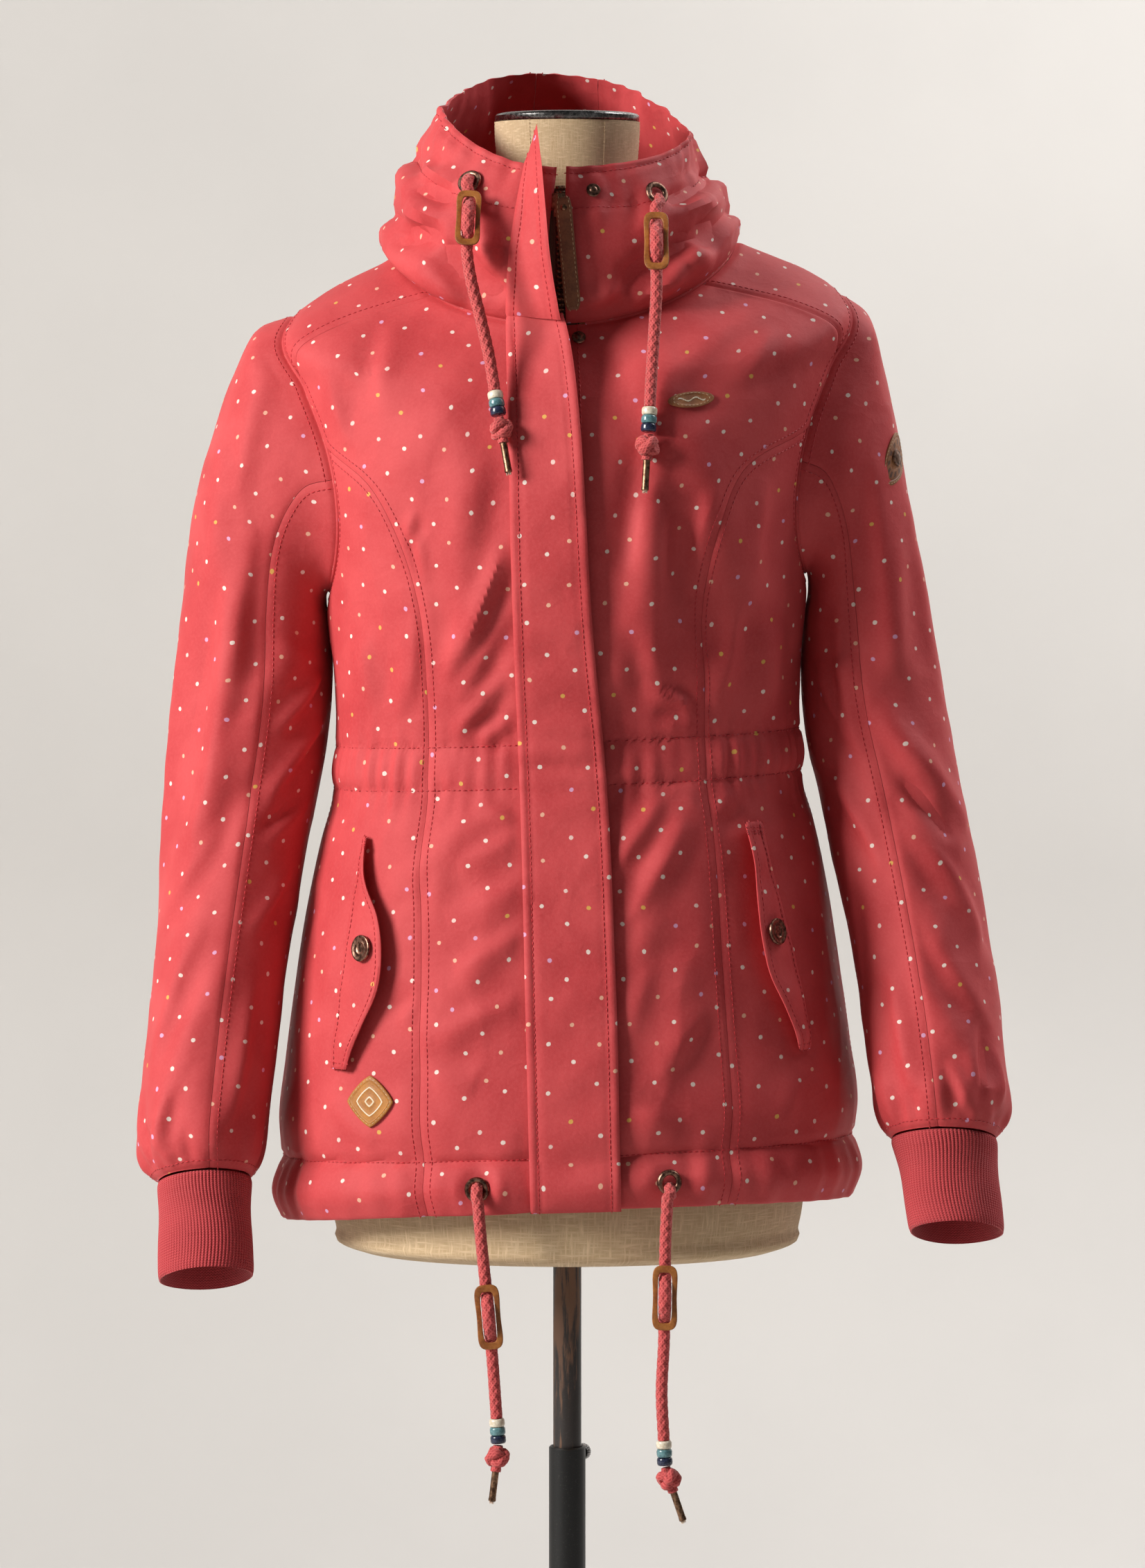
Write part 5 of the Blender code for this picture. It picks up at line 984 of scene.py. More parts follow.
def body_relief(points: Array, theta: Array, level: Array) -> Array:
    """Fine relief of the coat's body: creases, waist channel, hem channel and the hang of the cloth."""
    around = theta * 0.165
    in_front = np.sin(theta) < 0
    across, up = points[..., 0], points[..., 2]
    height = cloth_relief(points) + np.where(in_front, hand_creases(across, up, FRONT_CREASES),
                                             hand_creases(across, up, BACK_CREASES))
    waist = band(level, WAIST_MID, 0.026)
    height = height + waist * gathers(around, points, 0.0150, 0.0013)
    for line in WAIST_LINES:
        height = height - 0.0019 * band(level, line, 0.0022)
    height = height + 0.0014 * band(level, WAIST_MID, 0.012)
    hem = band(level, 0.5 * (HEM + HEM_LINE), 0.026)
    height = height + hem * (gathers(around, points, 0.021, 0.0011) + 0.0022)
    height = height + 0.0014 * np.abs(np.cos(theta)) ** 6 * band(level, 1.180, 0.045)
    return calmed(height, points) - 0.0030 * band(level, HEM_LINE, 0.0034)


def hood_relief(points: Array, theta: Array, level: Array) -> Array:
    """Fine relief of the hood: its creases, its rim channel and the softness of its pouch."""
    around = theta * 0.105
    across, up = points[..., 0], points[..., 2]
    height = 1.1 * cloth_relief(points) + 1.3 * np.where(np.sin(theta) < 0,
                                                         hand_creases(across, up, HOOD_CREASES),
                                                         hand_creases(across, up, POUCH_CREASES))
    sides = np.abs(np.cos(theta)) ** 2
    for notch, deep in HOOD_NOTCHES:
        place = notch + 0.35 * np.sin(3 * theta + notch)
        height = height + sides * deep * (0.5 * band(level, place - 0.95, 0.45) - band(level, place, 0.30))
    rim = np.clip((level - 5.6) / 2.0, 0, 1)
    height = height + rim * gathers(around, points, 0.019, 0.0010)
    height = height - 0.0010 * band(level, RIM_LINE, 0.10)
    return calmed(height, points) - 0.0010 * band(level, CHANNEL_LINE, 0.12)


def sleeve_relief(points: Array, turn: Array, station: Array, side: Side) -> Array:
    """Fine relief of a sleeve: its creases, soft rings of cloth and the gathers above the cuff."""
    height = 0.9 * cloth_relief(points)
    signed = (turn + math.pi) % (2 * math.pi) - math.pi
    rows = [(math.radians(t1) * SLEEVE_RADIUS, s1 * SLEEVE_STEP, math.radians(t2) * SLEEVE_RADIUS,
             s2 * SLEEVE_STEP, *shape) for t1, s1, t2, s2, *shape in SLEEVE_CREASES[side.word]]
    for shift in (-1, 0, 1):
        turned = (signed + shift * 2 * math.pi) * SLEEVE_RADIUS
        height = height + hand_creases(turned, station * SLEEVE_STEP, rows)
    height = height + 0.0014 * band(np.abs(signed), math.pi, 0.6) * band(station, 5.1, 1.6)
    slump = np.clip((station - 8.5) / 5.0, 0, 1)
    rings = np.sin(points[..., 2] * (2 * math.pi / 0.070) + 1.2 * np.sin(turn + 0.6) + 2 * SWELL.at(points))
    height = height + 0.0009 * slump * rings
    cuff = np.clip((station - SLEEVE_SECTIONS + 1.3) / 1.3, 0, 1)
    return height + cuff * gathers(turn * 0.045, points, 0.0140, 0.0014)


# ---------------------------------------------------------------- meshes
@dataclass
class Skin:
    """A fine grid of cloth: outer points, inner points at every second place, and flat lengths."""

    name: str
    outer: Array
    inner: Array
    flat: Array
    out: Array

    def inset(self, edge: str, distance: float) -> tuple[Array, Array]:
        """A line that runs beside an edge of the skin.

        Args:
            edge: first, last, low or high.
            distance: How far from the edge, in metres.

        Returns:
            Points on the skin and the directions out of it.
        """
        grid, out = self.outer, self.out
        if edge in ("low", "high"):
            grid, out = grid.swapaxes(0, 1), out.swapaxes(0, 1)
        if edge in ("last", "high"):
            grid, out = grid[::-1], out[::-1]
        step = np.linalg.norm(np.diff(grid, axis=0), axis=-1)
        run = np.concatenate([np.zeros((1, grid.shape[1])), np.cumsum(step, axis=0)])
        points = np.empty((grid.shape[1], 3))
        ways = np.empty((grid.shape[1], 3))
        for j in range(grid.shape[1]):
            for axis in range(3):
                points[j, axis] = np.interp(distance, run[:, j], grid[:, j, axis])
                ways[j, axis] = np.interp(distance, run[:, j], out[:, j, axis])
        return points, ways

    def at_row(self, rows: Array, value: float) -> tuple[Array, Array]:
        """The line across the skin where a quantity of its rows has this value."""
        points = np.empty((self.outer.shape[0], 3))
        ways = np.empty((self.outer.shape[0], 3))
        for i in range(self.outer.shape[0]):
            for axis in range(3):
                points[i, axis] = np.interp(value, rows[i], self.outer[i, :, axis])
                ways[i, axis] = np.interp(value, rows[i], self.out[i, :, axis])
        return points, ways


def grid_faces(columns: int, rows: int, start: int, wrap: bool = False) -> list[tuple[int, ...]]:
    """Quads of a grid of points that starts at a number."""
    faces = []
    for i in range(columns if wrap else columns - 1):
        for j in range(rows - 1):
            here = start + i * rows + j
            there = start + (i + 1) % columns * rows + j
            faces.append((here, there, there + 1, here + 1))
    return faces


def flattened(grid: Array, columns: int = 13, rows: int = 31, rounds: int = 14) -> Array:
    """Flat coordinates of a grid, as its cloth lay before it was sewn: every small piece keeps its shape.

    Args:
        grid: Points of shape (columns, rows, 3).
        columns: Columns of the coarse net that is laid flat.
        rows: Its rows.
        rounds: How often its pieces are turned and drawn together again.

    Returns:
        Flat coordinates in metres, of shape (columns, rows, 2).
    """
    run, climb = mean_run(grid), mean_run(grid.swapaxes(0, 1))
    take = [np.unique(np.linspace(0, len(line) - 1, many).round().astype(int))
            for line, many in ((run, columns), (climb, rows))]
    net = grid[np.ix_(*take)]
    wide, tall = net.shape[:2]
    number = np.arange(wide * tall).reshape(wide, tall)
    a, b, c, d = number[:-1, :-1], number[1:, :-1], number[1:, 1:], number[:-1, 1:]
    corners = ((a, b, c), (a, c, d), (a, b, d), (b, c, d))
    pieces = np.concatenate([np.stack(corner, -1).reshape(-1, 3) for corner in corners])
    points = net.reshape(-1, 3)
    along = points[pieces[:, 1]] - points[pieces[:, 0]]
    other = points[pieces[:, 2]] - points[pieces[:, 0]]
    length = np.linalg.norm(along, axis=1)
    across = (along * other).sum(1) / length
    height = np.sqrt(np.maximum((other**2).sum(1) - across**2, 0.0))
    zero = np.zeros(len(length))
    rest = np.stack([np.stack([zero, zero], -1), np.stack([length, zero], -1),
                     np.stack([across, height], -1)], 1)
    system = np.zeros((len(points), len(points)))
    for first, second in ((0, 1), (1, 2), (2, 0)):
        i, j = pieces[:, first], pieces[:, second]
        for row, column, value in ((i, i, 1), (j, j, 1), (i, j, -1), (j, i, -1)):
            np.add.at(system, (row, column), value)
    system[0, 0] += 1.0
    solve = np.linalg.inv(system)
    flat = np.stack(np.meshgrid(run[take[0]], climb[take[1]], indexing="ij"), -1).reshape(-1, 2)
    for _ in range(rounds):
        target = np.zeros_like(flat)
        now = flat[pieces]
        cross = np.einsum("tki,tkj->tij", now - np.roll(now, -1, 1), rest - np.roll(rest, -1, 1))
        turn = np.arctan2(cross[:, 1, 0] - cross[:, 0, 1], cross[:, 0, 0] + cross[:, 1, 1])
        spin = np.stack([np.stack([np.cos(turn), -np.sin(turn)], -1),
                         np.stack([np.sin(turn), np.cos(turn)], -1)], 1)
        for first, second in ((0, 1), (1, 2), (2, 0)):
            edge = np.einsum("tij,tj->ti", spin, rest[:, first] - rest[:, second])
            np.add.at(target, pieces[:, first], edge)
            np.add.at(target, pieces[:, second], -edge)
        flat = solve @ target
    flat = flat.reshape(wide, tall, 2)
    spread = np.stack([[np.interp(run, run[take[0]], flat[:, j, k]) for j in range(tall)]
                       for k in (0, 1)], -1)
    return np.stack([[np.interp(climb, climb[take[1]], spread[:, i, k]) for i in range(len(run))]
                     for k in (0, 1)], -1)


def mean_run(grid: Array) -> Array:
    """Distance from the first column to each, on the average of the rows."""
    steps = np.linalg.norm(np.diff(grid, axis=0), axis=-1).mean(axis=1)
    return np.concatenate([[0.0], np.cumsum(steps)])


def to_mesh(name: str, points: Array, faces: Sequence[Sequence[int]], flat: Array | None = None,
            sharp: float = 40.0) -> bpy.types.Object:
    """A mesh object at the origin.

    Args:
        name: The piece's name.
        points: Its points, in metres.
        faces: Its faces, as numbers of points.
        flat: Flat coordinates of each point, for the pattern.
        sharp: Angle in degrees past which an edge is sharp.

    Returns:
        The object, linked to the scene.
    """
    data = bpy.data.meshes.new(name)
    data.from_pydata(np.asarray(points).reshape(-1, 3).tolist(), [], faces)
    data.shade_smooth()
    data.set_sharp_from_angle(angle=math.radians(sharp))
    if flat is not None:
        layer = data.uv_layers.new(name="flat")
        loops = np.empty(len(data.loops), np.int32)
        data.loops.foreach_get("vertex_index", loops)
        layer.data.foreach_set("uv", np.asarray(flat, np.float32)[loops].ravel())
    item = bpy.data.objects.new(f"{name}_dressed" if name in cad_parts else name, data)
    bpy.context.scene.collection.objects.link(item)
    return item


def skin_mesh(skin: Skin, flip: bool) -> bpy.types.Object:
    """The closed wall between a skin's outer grid and its coarser inner grid."""
    columns, rows = skin.outer.shape[:2]
    small_columns, small_rows = skin.inner.shape[:2]
    start = columns * rows
    faces = grid_faces(columns, rows, 0)
    faces += [face[::-1] for face in grid_faces(small_columns, small_rows, start)]

    def outer(i: int, j: int) -> int:
        """Number of an outer point."""
        return i * rows + j

    def inner(i: int, j: int) -> int:
        """Number of an inner point."""
        return start + i // 2 * small_rows + j // 2
    for i in range(0, columns - 1, 2):
        faces.append((outer(i + 2, 0), outer(i + 1, 0), outer(i, 0), inner(i, 0), inner(i + 2, 0)))
        faces.append((outer(i, rows - 1), outer(i + 1, rows - 1), outer(i + 2, rows - 1),
                      inner(i + 2, rows - 1), inner(i, rows - 1)))
    for j in range(0, rows - 1, 2):
        faces.append((outer(0, j), outer(0, j + 1), outer(0, j + 2), inner(0, j + 2), inner(0, j)))
        faces.append((outer(columns - 1, j + 2), outer(columns - 1, j + 1), outer(columns - 1, j),
                      inner(columns - 1, j), inner(columns - 1, j + 2)))
    if flip:
        faces = [face[::-1] for face in faces]
    points = np.concatenate([skin.outer.reshape(-1, 3), skin.inner.reshape(-1, 3)])
    flat = np.concatenate([skin.flat.reshape(-1, 2), skin.flat[::2, ::2].reshape(-1, 2)])
    return to_mesh(skin.name, points, faces, flat)


def is_inside_out(skin: Skin) -> bool:
    """True if the skin's quads turn their front to its inner side."""
    i = (skin.outer.shape[0] - 1) // 4 * 2
    j = (skin.outer.shape[1] - 1) // 4 * 2
    way = np.cross(skin.outer[i + 2, j] - skin.outer[i, j], skin.outer[i, j + 2] - skin.outer[i, j])
    return float(np.dot(way, skin.outer[i, j] - skin.inner[i // 2, j // 2])) < 0


def draw_in(grid: Array, gap: float) -> Array:
    """Draw the four edges of a grid in, which leaves room at each seam."""
    grid = np.array(grid)
    for lines in (grid, grid.swapaxes(0, 1)):
        for edge, beside in ((0, 2), (-1, -3)):
            way = lines[beside] - lines[edge]
            lines[edge] += gap * way / np.maximum(np.linalg.norm(way, axis=-1, keepdims=True), 1e-9)
    return grid


@dataclass(frozen=True)
class Edge:
    """How a skin ends: sewn edges dip into their seam, free edges roll round."""

    sewn: bool = True
    dip: float = 0.0013
    width: float = 0.0034


SEWN = Edge(dip=0.0016, width=0.0028)
FLAT_SEAM = Edge(dip=0.0006, width=0.0022)
FREE = Edge(sewn=False, dip=0.0009, width=0.0011)


def make_skin(name: str, face: Face, normal: Array, first: Array, second: Array, relief: Array,
              edges: Sequence[Edge], wall: float = 0.0024) -> Skin:
    """A skin over a face of the coat.

    Args:
        name: The piece's name.
        face: The face, as a function of two coordinates.
        normal: Directions out of it at the grid's places.
        first: First coordinates of the grid.
        second: Second coordinates.
        relief: Fine height at each place.
        edges: How the first, last, low and high edges end.
        wall: Thickness of the cloth.

    Returns:
        The skin, hung like the coat.
    """
    base = face(first, second)
    flat = flattened(base)
    across = np.linalg.norm(np.diff(base, axis=0), axis=-1)
    up = np.linalg.norm(np.diff(base, axis=1), axis=-1)
    from_first = np.concatenate([np.zeros((1, base.shape[1])), np.cumsum(across, axis=0)])
    from_low = np.concatenate([np.zeros((base.shape[0], 1)), np.cumsum(up, axis=1)], axis=1)
    away = (from_first, from_first[-1][None] - from_first, from_low, from_low[:, -1][:, None] - from_low)
    fade = np.ones(base.shape[:2])
    height = np.zeros(base.shape[:2])
    tuck = np.zeros(base.shape[:2])
    for distance, edge in zip(away, edges):
        fall = np.exp(-((distance / edge.width) ** 2))
        height = height - edge.dip * fall
        if edge.sewn:
            fade = fade * (1 - np.exp(-((distance / 0.010) ** 2)))
        else:
            tuck = tuck + edge.dip * fall
    outer = base + normal * (relief * fade + height)[..., None]
    inner = base + normal * (0.5 * relief * fade - wall + tuck)[..., None]
    outer = hang(draw_in(outer, 0.00016))
    inner = hang(draw_in(inner, 0.00016))[::2, ::2]
    return Skin(name, outer, inner, flat, normal)


def box_mesh(bm: bmesh.types.BMesh, size: Sequence[float], place: Matrix, bevel: float,
             segments: int = 2) -> None:
    """Add a block with rounded edges to a bmesh."""
    made = bmesh.ops.create_cube(bm, size=1.0, matrix=Matrix.Diagonal((*size, 1.0)))
    edges = list({edge for vert in made["verts"] for edge in vert.link_edges})
    made = bmesh.ops.bevel(bm, geom=edges, offset=bevel, segments=segments, affect="EDGES", profile=0.5)
    verts = list({vert for face in made["faces"] for vert in face.verts})
    bmesh.ops.transform(bm, matrix=place, verts=verts)


def lathe(name: str, profile: Sequence[tuple[float, float]], place: Matrix, steps: int = 64,
          closed: bool = False, sharp: float = 35.0) -> bpy.types.Object:
    """A profile of radius and height, from the top down its outer side, turned about Z and set in place.

    Args:
        name: The piece's name.
        profile: Radius and height of each point.
        place: Where its Z axis and origin go.
        steps: Points round it.
        closed: Whether the profile closes on itself, as a ring's does.
        sharp: Angle in degrees past which an edge is sharp.

    Returns:
        The turned piece.
    """
    points, faces = [], []
    starts = []
    for radius, height in profile:
        starts.append((len(points), 1 if radius < 1e-9 else steps))
        if radius < 1e-9:
            points.append((0.0, 0.0, height))
        else:
            angle = np.arange(steps) * 2 * math.pi / steps
            points += list(zip(radius * np.cos(angle), radius * np.sin(angle), np.full(steps, height)))
    pairs = list(zip(starts, starts[1:] + starts[:1])) if closed else list(zip(starts, starts[1:]))
    for (here, many), (there, also) in pairs:
        for k in range(steps):
            after = (k + 1) % steps
            if many == 1:
                faces.append((here, there + k, there + after))
            elif also == 1:
                faces.append((here + k, there, here + after))
            else:
                faces.append((here + k, there + k, there + after, here + after))
    matrix = np.array(place)
    points = np.array(points) @ matrix[:3, :3].T + matrix[:3, 3]
    return to_mesh(name, points, faces, sharp=sharp)


def frame_at(point: Array, normal: Array) -> Matrix:
    """Matrix that stands +Z along a direction at a point, with +Y up."""
    out = Vector(normal).normalized()
    across = Vector((0, 0, 1)).cross(out).normalized()
    place = Matrix((across, out.cross(across), out)).transposed().to_4x4()
    place.translation = Vector(point)
    return place


def tube(name: str, path: Array, radius: Array | float, sides: int = 14, relief: float = 0.0,
         pitch: float = 0.006, turns: int = 3) -> bpy.types.Object:
    """A tube along a path, with a braid raised on it.

    Args:
        name: The piece's name.
        path: Points along its middle, close together.
        radius: Its radius, or one for each point.
        sides: Points round it.
        relief: Height of the braid.
        pitch: Length of one braid.
        turns: Strands each way round.

    Returns:
        The closed tube, with flat coordinates round and along it.
    """
    path = np.asarray(path, float)
    count = len(path)
    way = np.gradient(path, axis=0)
    way /= np.linalg.norm(way, axis=1, keepdims=True)
    run = np.concatenate([[0.0], np.cumsum(np.linalg.norm(np.diff(path, axis=0), axis=1))])
    side = np.cross(way[0], (0.0, 0.0, 1.0))
    side = side if np.linalg.norm(side) > 0.1 else np.cross(way[0], (0.0, 1.0, 0.0))
    sides_of = []
    for direction in way:
        side = side - np.dot(side, direction) * direction
        side = side / np.linalg.norm(side)
        sides_of.append(side)
    right = np.array(sides_of)
    up = np.cross(way, right)
    angle = np.arange(sides) * 2 * math.pi / sides
    one = np.sin(turns * angle[None, :] + 2 * math.pi * run[:, None] / pitch)
    other = np.sin(turns * angle[None, :] - 2 * math.pi * run[:, None] / pitch)
    bulk = np.broadcast_to(np.asarray(radius, float), (count,))[:, None]
    bulk = bulk - relief + relief * np.maximum(one, other)
    ring_points = (path[:, None] + bulk[..., None] * (np.cos(angle)[None, :, None] * right[:, None]
                                                      + np.sin(angle)[None, :, None] * up[:, None]))
    points = np.concatenate([ring_points.reshape(-1, 3), path[:1], path[-1:]])
    faces = []
    for i in range(count - 1):
        for k in range(sides):
            after = (k + 1) % sides
            faces.append((i * sides + k, i * sides + after, (i + 1) * sides + after, (i + 1) * sides + k))
    first, last = count * sides, count * sides + 1
    for k in range(sides):
        after = (k + 1) % sides
        faces.append((first, after, k))
        faces.append((last, (count - 1) * sides + k, (count - 1) * sides + after))
    flat = np.stack([np.tile(angle * 0.0045, count), np.repeat(run, sides)], -1)
    flat = np.concatenate([flat, [[0.0, 0.0], [0.0, run[-1]]]])
    return to_mesh(name, points, faces, flat, sharp=80)


# ---------------------------------------------------------------- what repeats, by geometry nodes
class Repeater:
    """A tree of geometry nodes that sets one small piece along lines of points."""

    def __init__(self, name: str, pitch: float, size: Sequence[float], material: bpy.types.Material,
                 round_piece: bool = True) -> None:
        """Build the tree.

        Args:
            name: The tree's name.
            pitch: Distance between two pieces.
            size: Length along the line, width and height of a piece.
            material: What the pieces are made of.
            round_piece: A short rounded bar if true, and a block otherwise.
        """
        self.tree = bpy.data.node_groups.new(name, "GeometryNodeTree")
        face = self.tree.interface
        face.new_socket("Lines", in_out="INPUT", socket_type="NodeSocketGeometry")
        pitch_socket = face.new_socket("Pitch", in_out="INPUT", socket_type="NodeSocketFloat")
        size_socket = face.new_socket("Size", in_out="INPUT", socket_type="NodeSocketVector")
        face.new_socket("Pieces", in_out="OUTPUT", socket_type="NodeSocketGeometry")
        long, wide, high = size
        self.inputs = {pitch_socket.identifier: pitch, size_socket.identifier: (high, wide, long)}
        given = self._add("NodeGroupInput")
        to_curve = self._add("GeometryNodeMeshToCurve")
        resample = self._add("GeometryNodeResampleCurve", mode="LENGTH")
        instance = self._add("GeometryNodeInstanceOnPoints")
        named = self._add("GeometryNodeInputNamedAttribute", data_type="FLOAT_VECTOR")
        named.inputs["Name"].default_value = "out"
        tangent = self._add("GeometryNodeInputTangent")
        stand = self._add("FunctionNodeAlignRotationToVector", axis="Z")
        turn = self._add("FunctionNodeAlignRotationToVector", axis="X", pivot_axis="Z")
        realize = self._add("GeometryNodeRealizeInstances")
        dress = self._add("GeometryNodeSetMaterial")
        dress.inputs["Material"].default_value = material
        result = self._add("NodeGroupOutput")
        shape = self._bar() if round_piece else self._add("GeometryNodeMeshCube")
        link = self.tree.links.new
        link(given.outputs["Lines"], to_curve.inputs["Mesh"])
        link(to_curve.outputs["Curve"], resample.inputs["Curve"])
        link(given.outputs["Pitch"], resample.inputs["Length"])
        link(resample.outputs["Curve"], instance.inputs["Points"])
        link(shape.outputs["Mesh"], instance.inputs["Instance"])
        link(tangent.outputs["Tangent"], stand.inputs["Vector"])
        link(stand.outputs["Rotation"], turn.inputs["Rotation"])
        link(named.outputs["Attribute"], turn.inputs["Vector"])
        link(turn.outputs["Rotation"], instance.inputs["Rotation"])
        link(given.outputs["Size"], instance.inputs["Scale"])
        link(instance.outputs["Instances"], realize.inputs["Geometry"])
        link(realize.outputs["Geometry"], dress.inputs["Geometry"])
        link(dress.outputs["Geometry"], result.inputs["Pieces"])

    def _add(self, kind: str, **settings: Any) -> bpy.types.Node:
        """A node of this kind with these settings."""
        node = self.tree.nodes.new(kind)
        for name, value in settings.items():
            setattr(node, name, value)
        return node

    def _bar(self) -> bpy.types.Node:
        """A unit bar along Z with tapered ends."""
        sphere = self._add("GeometryNodeMeshUVSphere")
        sphere.inputs["Segments"].default_value = 5
        sphere.inputs["Rings"].default_value = 4
        sphere.inputs["Radius"].default_value = 0.5
        return sphere

    def along(self, name: str, lines: Sequence[tuple[Array, Array]]) -> bpy.types.Object:
        """Set the pieces along these lines.

        Args:
            name: The name of the finished piece.
            lines: Points and directions out of the surface, for each line.

        Returns:
            A plain mesh of all the pieces.
        """
        points = np.concatenate([line for line, _ in lines])
        ways = np.concatenate([way for _, way in lines])
        edges, start = [], 0
        for line, _ in lines:
            edges += [(start + i, start + i + 1) for i in range(len(line) - 1)]
            start += len(line)
        data = bpy.data.meshes.new(name + "_lines")
        data.from_pydata(points.tolist(), edges, [])
        layer = data.attributes.new("out", "FLOAT_VECTOR", "POINT")
        layer.data.foreach_set("vector", ways.astype(np.float32).ravel())
        source = bpy.data.objects.new(name + "_lines", data)
        bpy.context.scene.collection.objects.link(source)
        modifier = source.modifiers.new("repeat", "NODES")
        modifier.node_group = self.tree
        for identifier, value in self.inputs.items():
            modifier[identifier] = value
        graph = bpy.context.evaluated_depsgraph_get()
        made = bpy.data.meshes.new_from_object(source.evaluated_get(graph), depsgraph=graph)
        made.name = name
        bpy.data.objects.remove(source)
        bpy.data.meshes.remove(data)
        made.shade_smooth()
        item = bpy.data.objects.new(name, made)
        bpy.context.scene.collection.objects.link(item)
        return item


# ---------------------------------------------------------------- shader expressions and finishes
class Value:
    """A socket of a shader tree that takes part in plain arithmetic."""

    def __init__(self, maker: "Shader", socket: bpy.types.NodeSocket) -> None:
        """Wrap a socket of this shader's tree."""
        self.maker = maker
        self.socket = socket

    def _maths(self, operation: str, first: Any, second: Any = None) -> "Value":
        """A Math node on these values."""
        links = {0: first} if second is None else {0: first, 1: second}
        return self.maker.node("ShaderNodeMath", {"operation": operation}, links).out()

    def __add__(self, other: Any) -> "Value":
        """The sum."""
        return self._maths("ADD", self, other)

    __radd__ = __add__

    def __sub__(self, other: Any) -> "Value":
        """The difference."""
        return self._maths("SUBTRACT", self, other)

    def __rsub__(self, other: Any) -> "Value":
        """The difference, from a number."""
        return self._maths("SUBTRACT", other, self)

    def __mul__(self, other: Any) -> "Value":
        """The product."""
        return self._maths("MULTIPLY", self, other)

    __rmul__ = __mul__

    def __pow__(self, other: Any) -> "Value":
        """The power."""
        return self._maths("POWER", self, other)

    def maximum(self, other: Any) -> "Value":
        """The larger of the two."""
        return self._maths("MAXIMUM", self, other)

    def wave(self) -> "Value":
        """Its sine."""
        return self._maths("SINE", self)

    def ramp(self, low: float, high: float, to_low: float = 0.0, to_high: float = 1.0) -> "Value":
        """Its place between two values, softened at both ends."""
        links = {"Value": self, "From Min": low, "From Max": high, "To Min": to_low, "To Max": to_high}
        return self.maker.node("ShaderNodeMapRange", {"interpolation_type": "SMOOTHSTEP"},
                               links).out("Result")


class Made:
    """A node just made, asked for its outputs."""

    def __init__(self, maker: "Shader", node: bpy.types.Node) -> None:
        """Keep the node."""
        self.maker = maker
        self.node = node

    def out(self, name: str | int = 0) -> Value:
        """One of its outputs."""
        return Value(self.maker, self.node.outputs[name])


Colour = tuple[float, float, float]


class Shader:
    """A material whose nodes are written as expressions."""

    def __init__(self, name: str) -> None:
        """Start an empty material."""
        self.material = bpy.data.materials.new(name)
        self.material.use_nodes = True
        self.tree = self.material.node_tree
        self.surface = self.tree.nodes["Principled BSDF"]

    def node(self, kind: str, settings: dict[str, Any] | None = None,
             links: dict[Any, Any] | None = None) -> Made:
        """Any node.

        Args:
            kind: The node's type.
            settings: Its settings; `stops` are a ramp's places and colours.
            links: Values or outputs for its input sockets, by name or number.

        Returns:
            The node, ready to be asked for its outputs.
        """
        made = self.tree.nodes.new(kind)
        for name, value in (settings or {}).items():
            if name == "stops":
                ramp = made.color_ramp
                while len(ramp.elements) < len(value):
                    ramp.elements.new(1.0)
                for element, (place, colour) in zip(ramp.elements, value):
                    element.position = place
                    element.color = (*colour, 1.0)
            elif name == "interpolation":
                made.color_ramp.interpolation = value
            else:
                setattr(made, name, value)
        for name, value in (links or {}).items():
            self.feed(made.inputs[name], value)
        return Made(self, made)

    def feed(self, socket: bpy.types.NodeSocket, value: Any) -> None:
        """Give a socket a value, a colour or another node's output."""
        if isinstance(value, Value):
            self.tree.links.new(value.socket, socket)
        elif isinstance(value, tuple) and len(value) == 3 and socket.type == "RGBA":
            socket.default_value = (*value, 1.0)
        else:
            socket.default_value = value

    def place(self, kind: str = "Object", scale: Any = (1.0, 1.0, 1.0), turn: float = 0.0) -> Value:
        """Coordinates of the surface, scaled, and turned about Z in degrees."""
        source = self.node("ShaderNodeTexCoord").out(kind)
        links = {"Vector": source, "Scale": scale, "Rotation": (0.0, 0.0, math.radians(turn))}
        return self.node("ShaderNodeMapping", None, links).out()

    def noise(self, where: Value, scale: float, detail: float = 3.0, roughness: float = 0.5) -> Value:
        """Soft noise about 0 to 1."""
        links = {"Vector": where, "Scale": scale, "Detail": detail, "Roughness": roughness}
        return self.node("ShaderNodeTexNoise", None, links).out("Fac")

    def blend(self, factor: Any, first: Any, second: Any, how: str = "MIX") -> Value:
        """Two colours mixed."""
        made = self.node("ShaderNodeMix", {"data_type": "RGBA", "blend_type": how})
        self.feed(made.node.inputs[0], factor)
        self.feed(made.node.inputs[6], first)
        self.feed(made.node.inputs[7], second)
        return Value(self, made.node.outputs[2])

    def bump(self, height: Value, distance: float, strength: float = 1.0, onto: Value | None = None) -> Value:
        """A Bump node's normal."""
        links = {"Height": height, "Distance": distance, "Strength": strength}
        if onto is not None:
            links["Normal"] = onto
        return self.node("ShaderNodeBump", None, links).out("Normal")

    def finish(self, **sockets: Any) -> bpy.types.Material:
        """Feed the surface's sockets, named with underscores for spaces."""
        for name, value in sockets.items():
            self.feed(self.surface.inputs[name.replace("_", " ")], value)
        return self.material


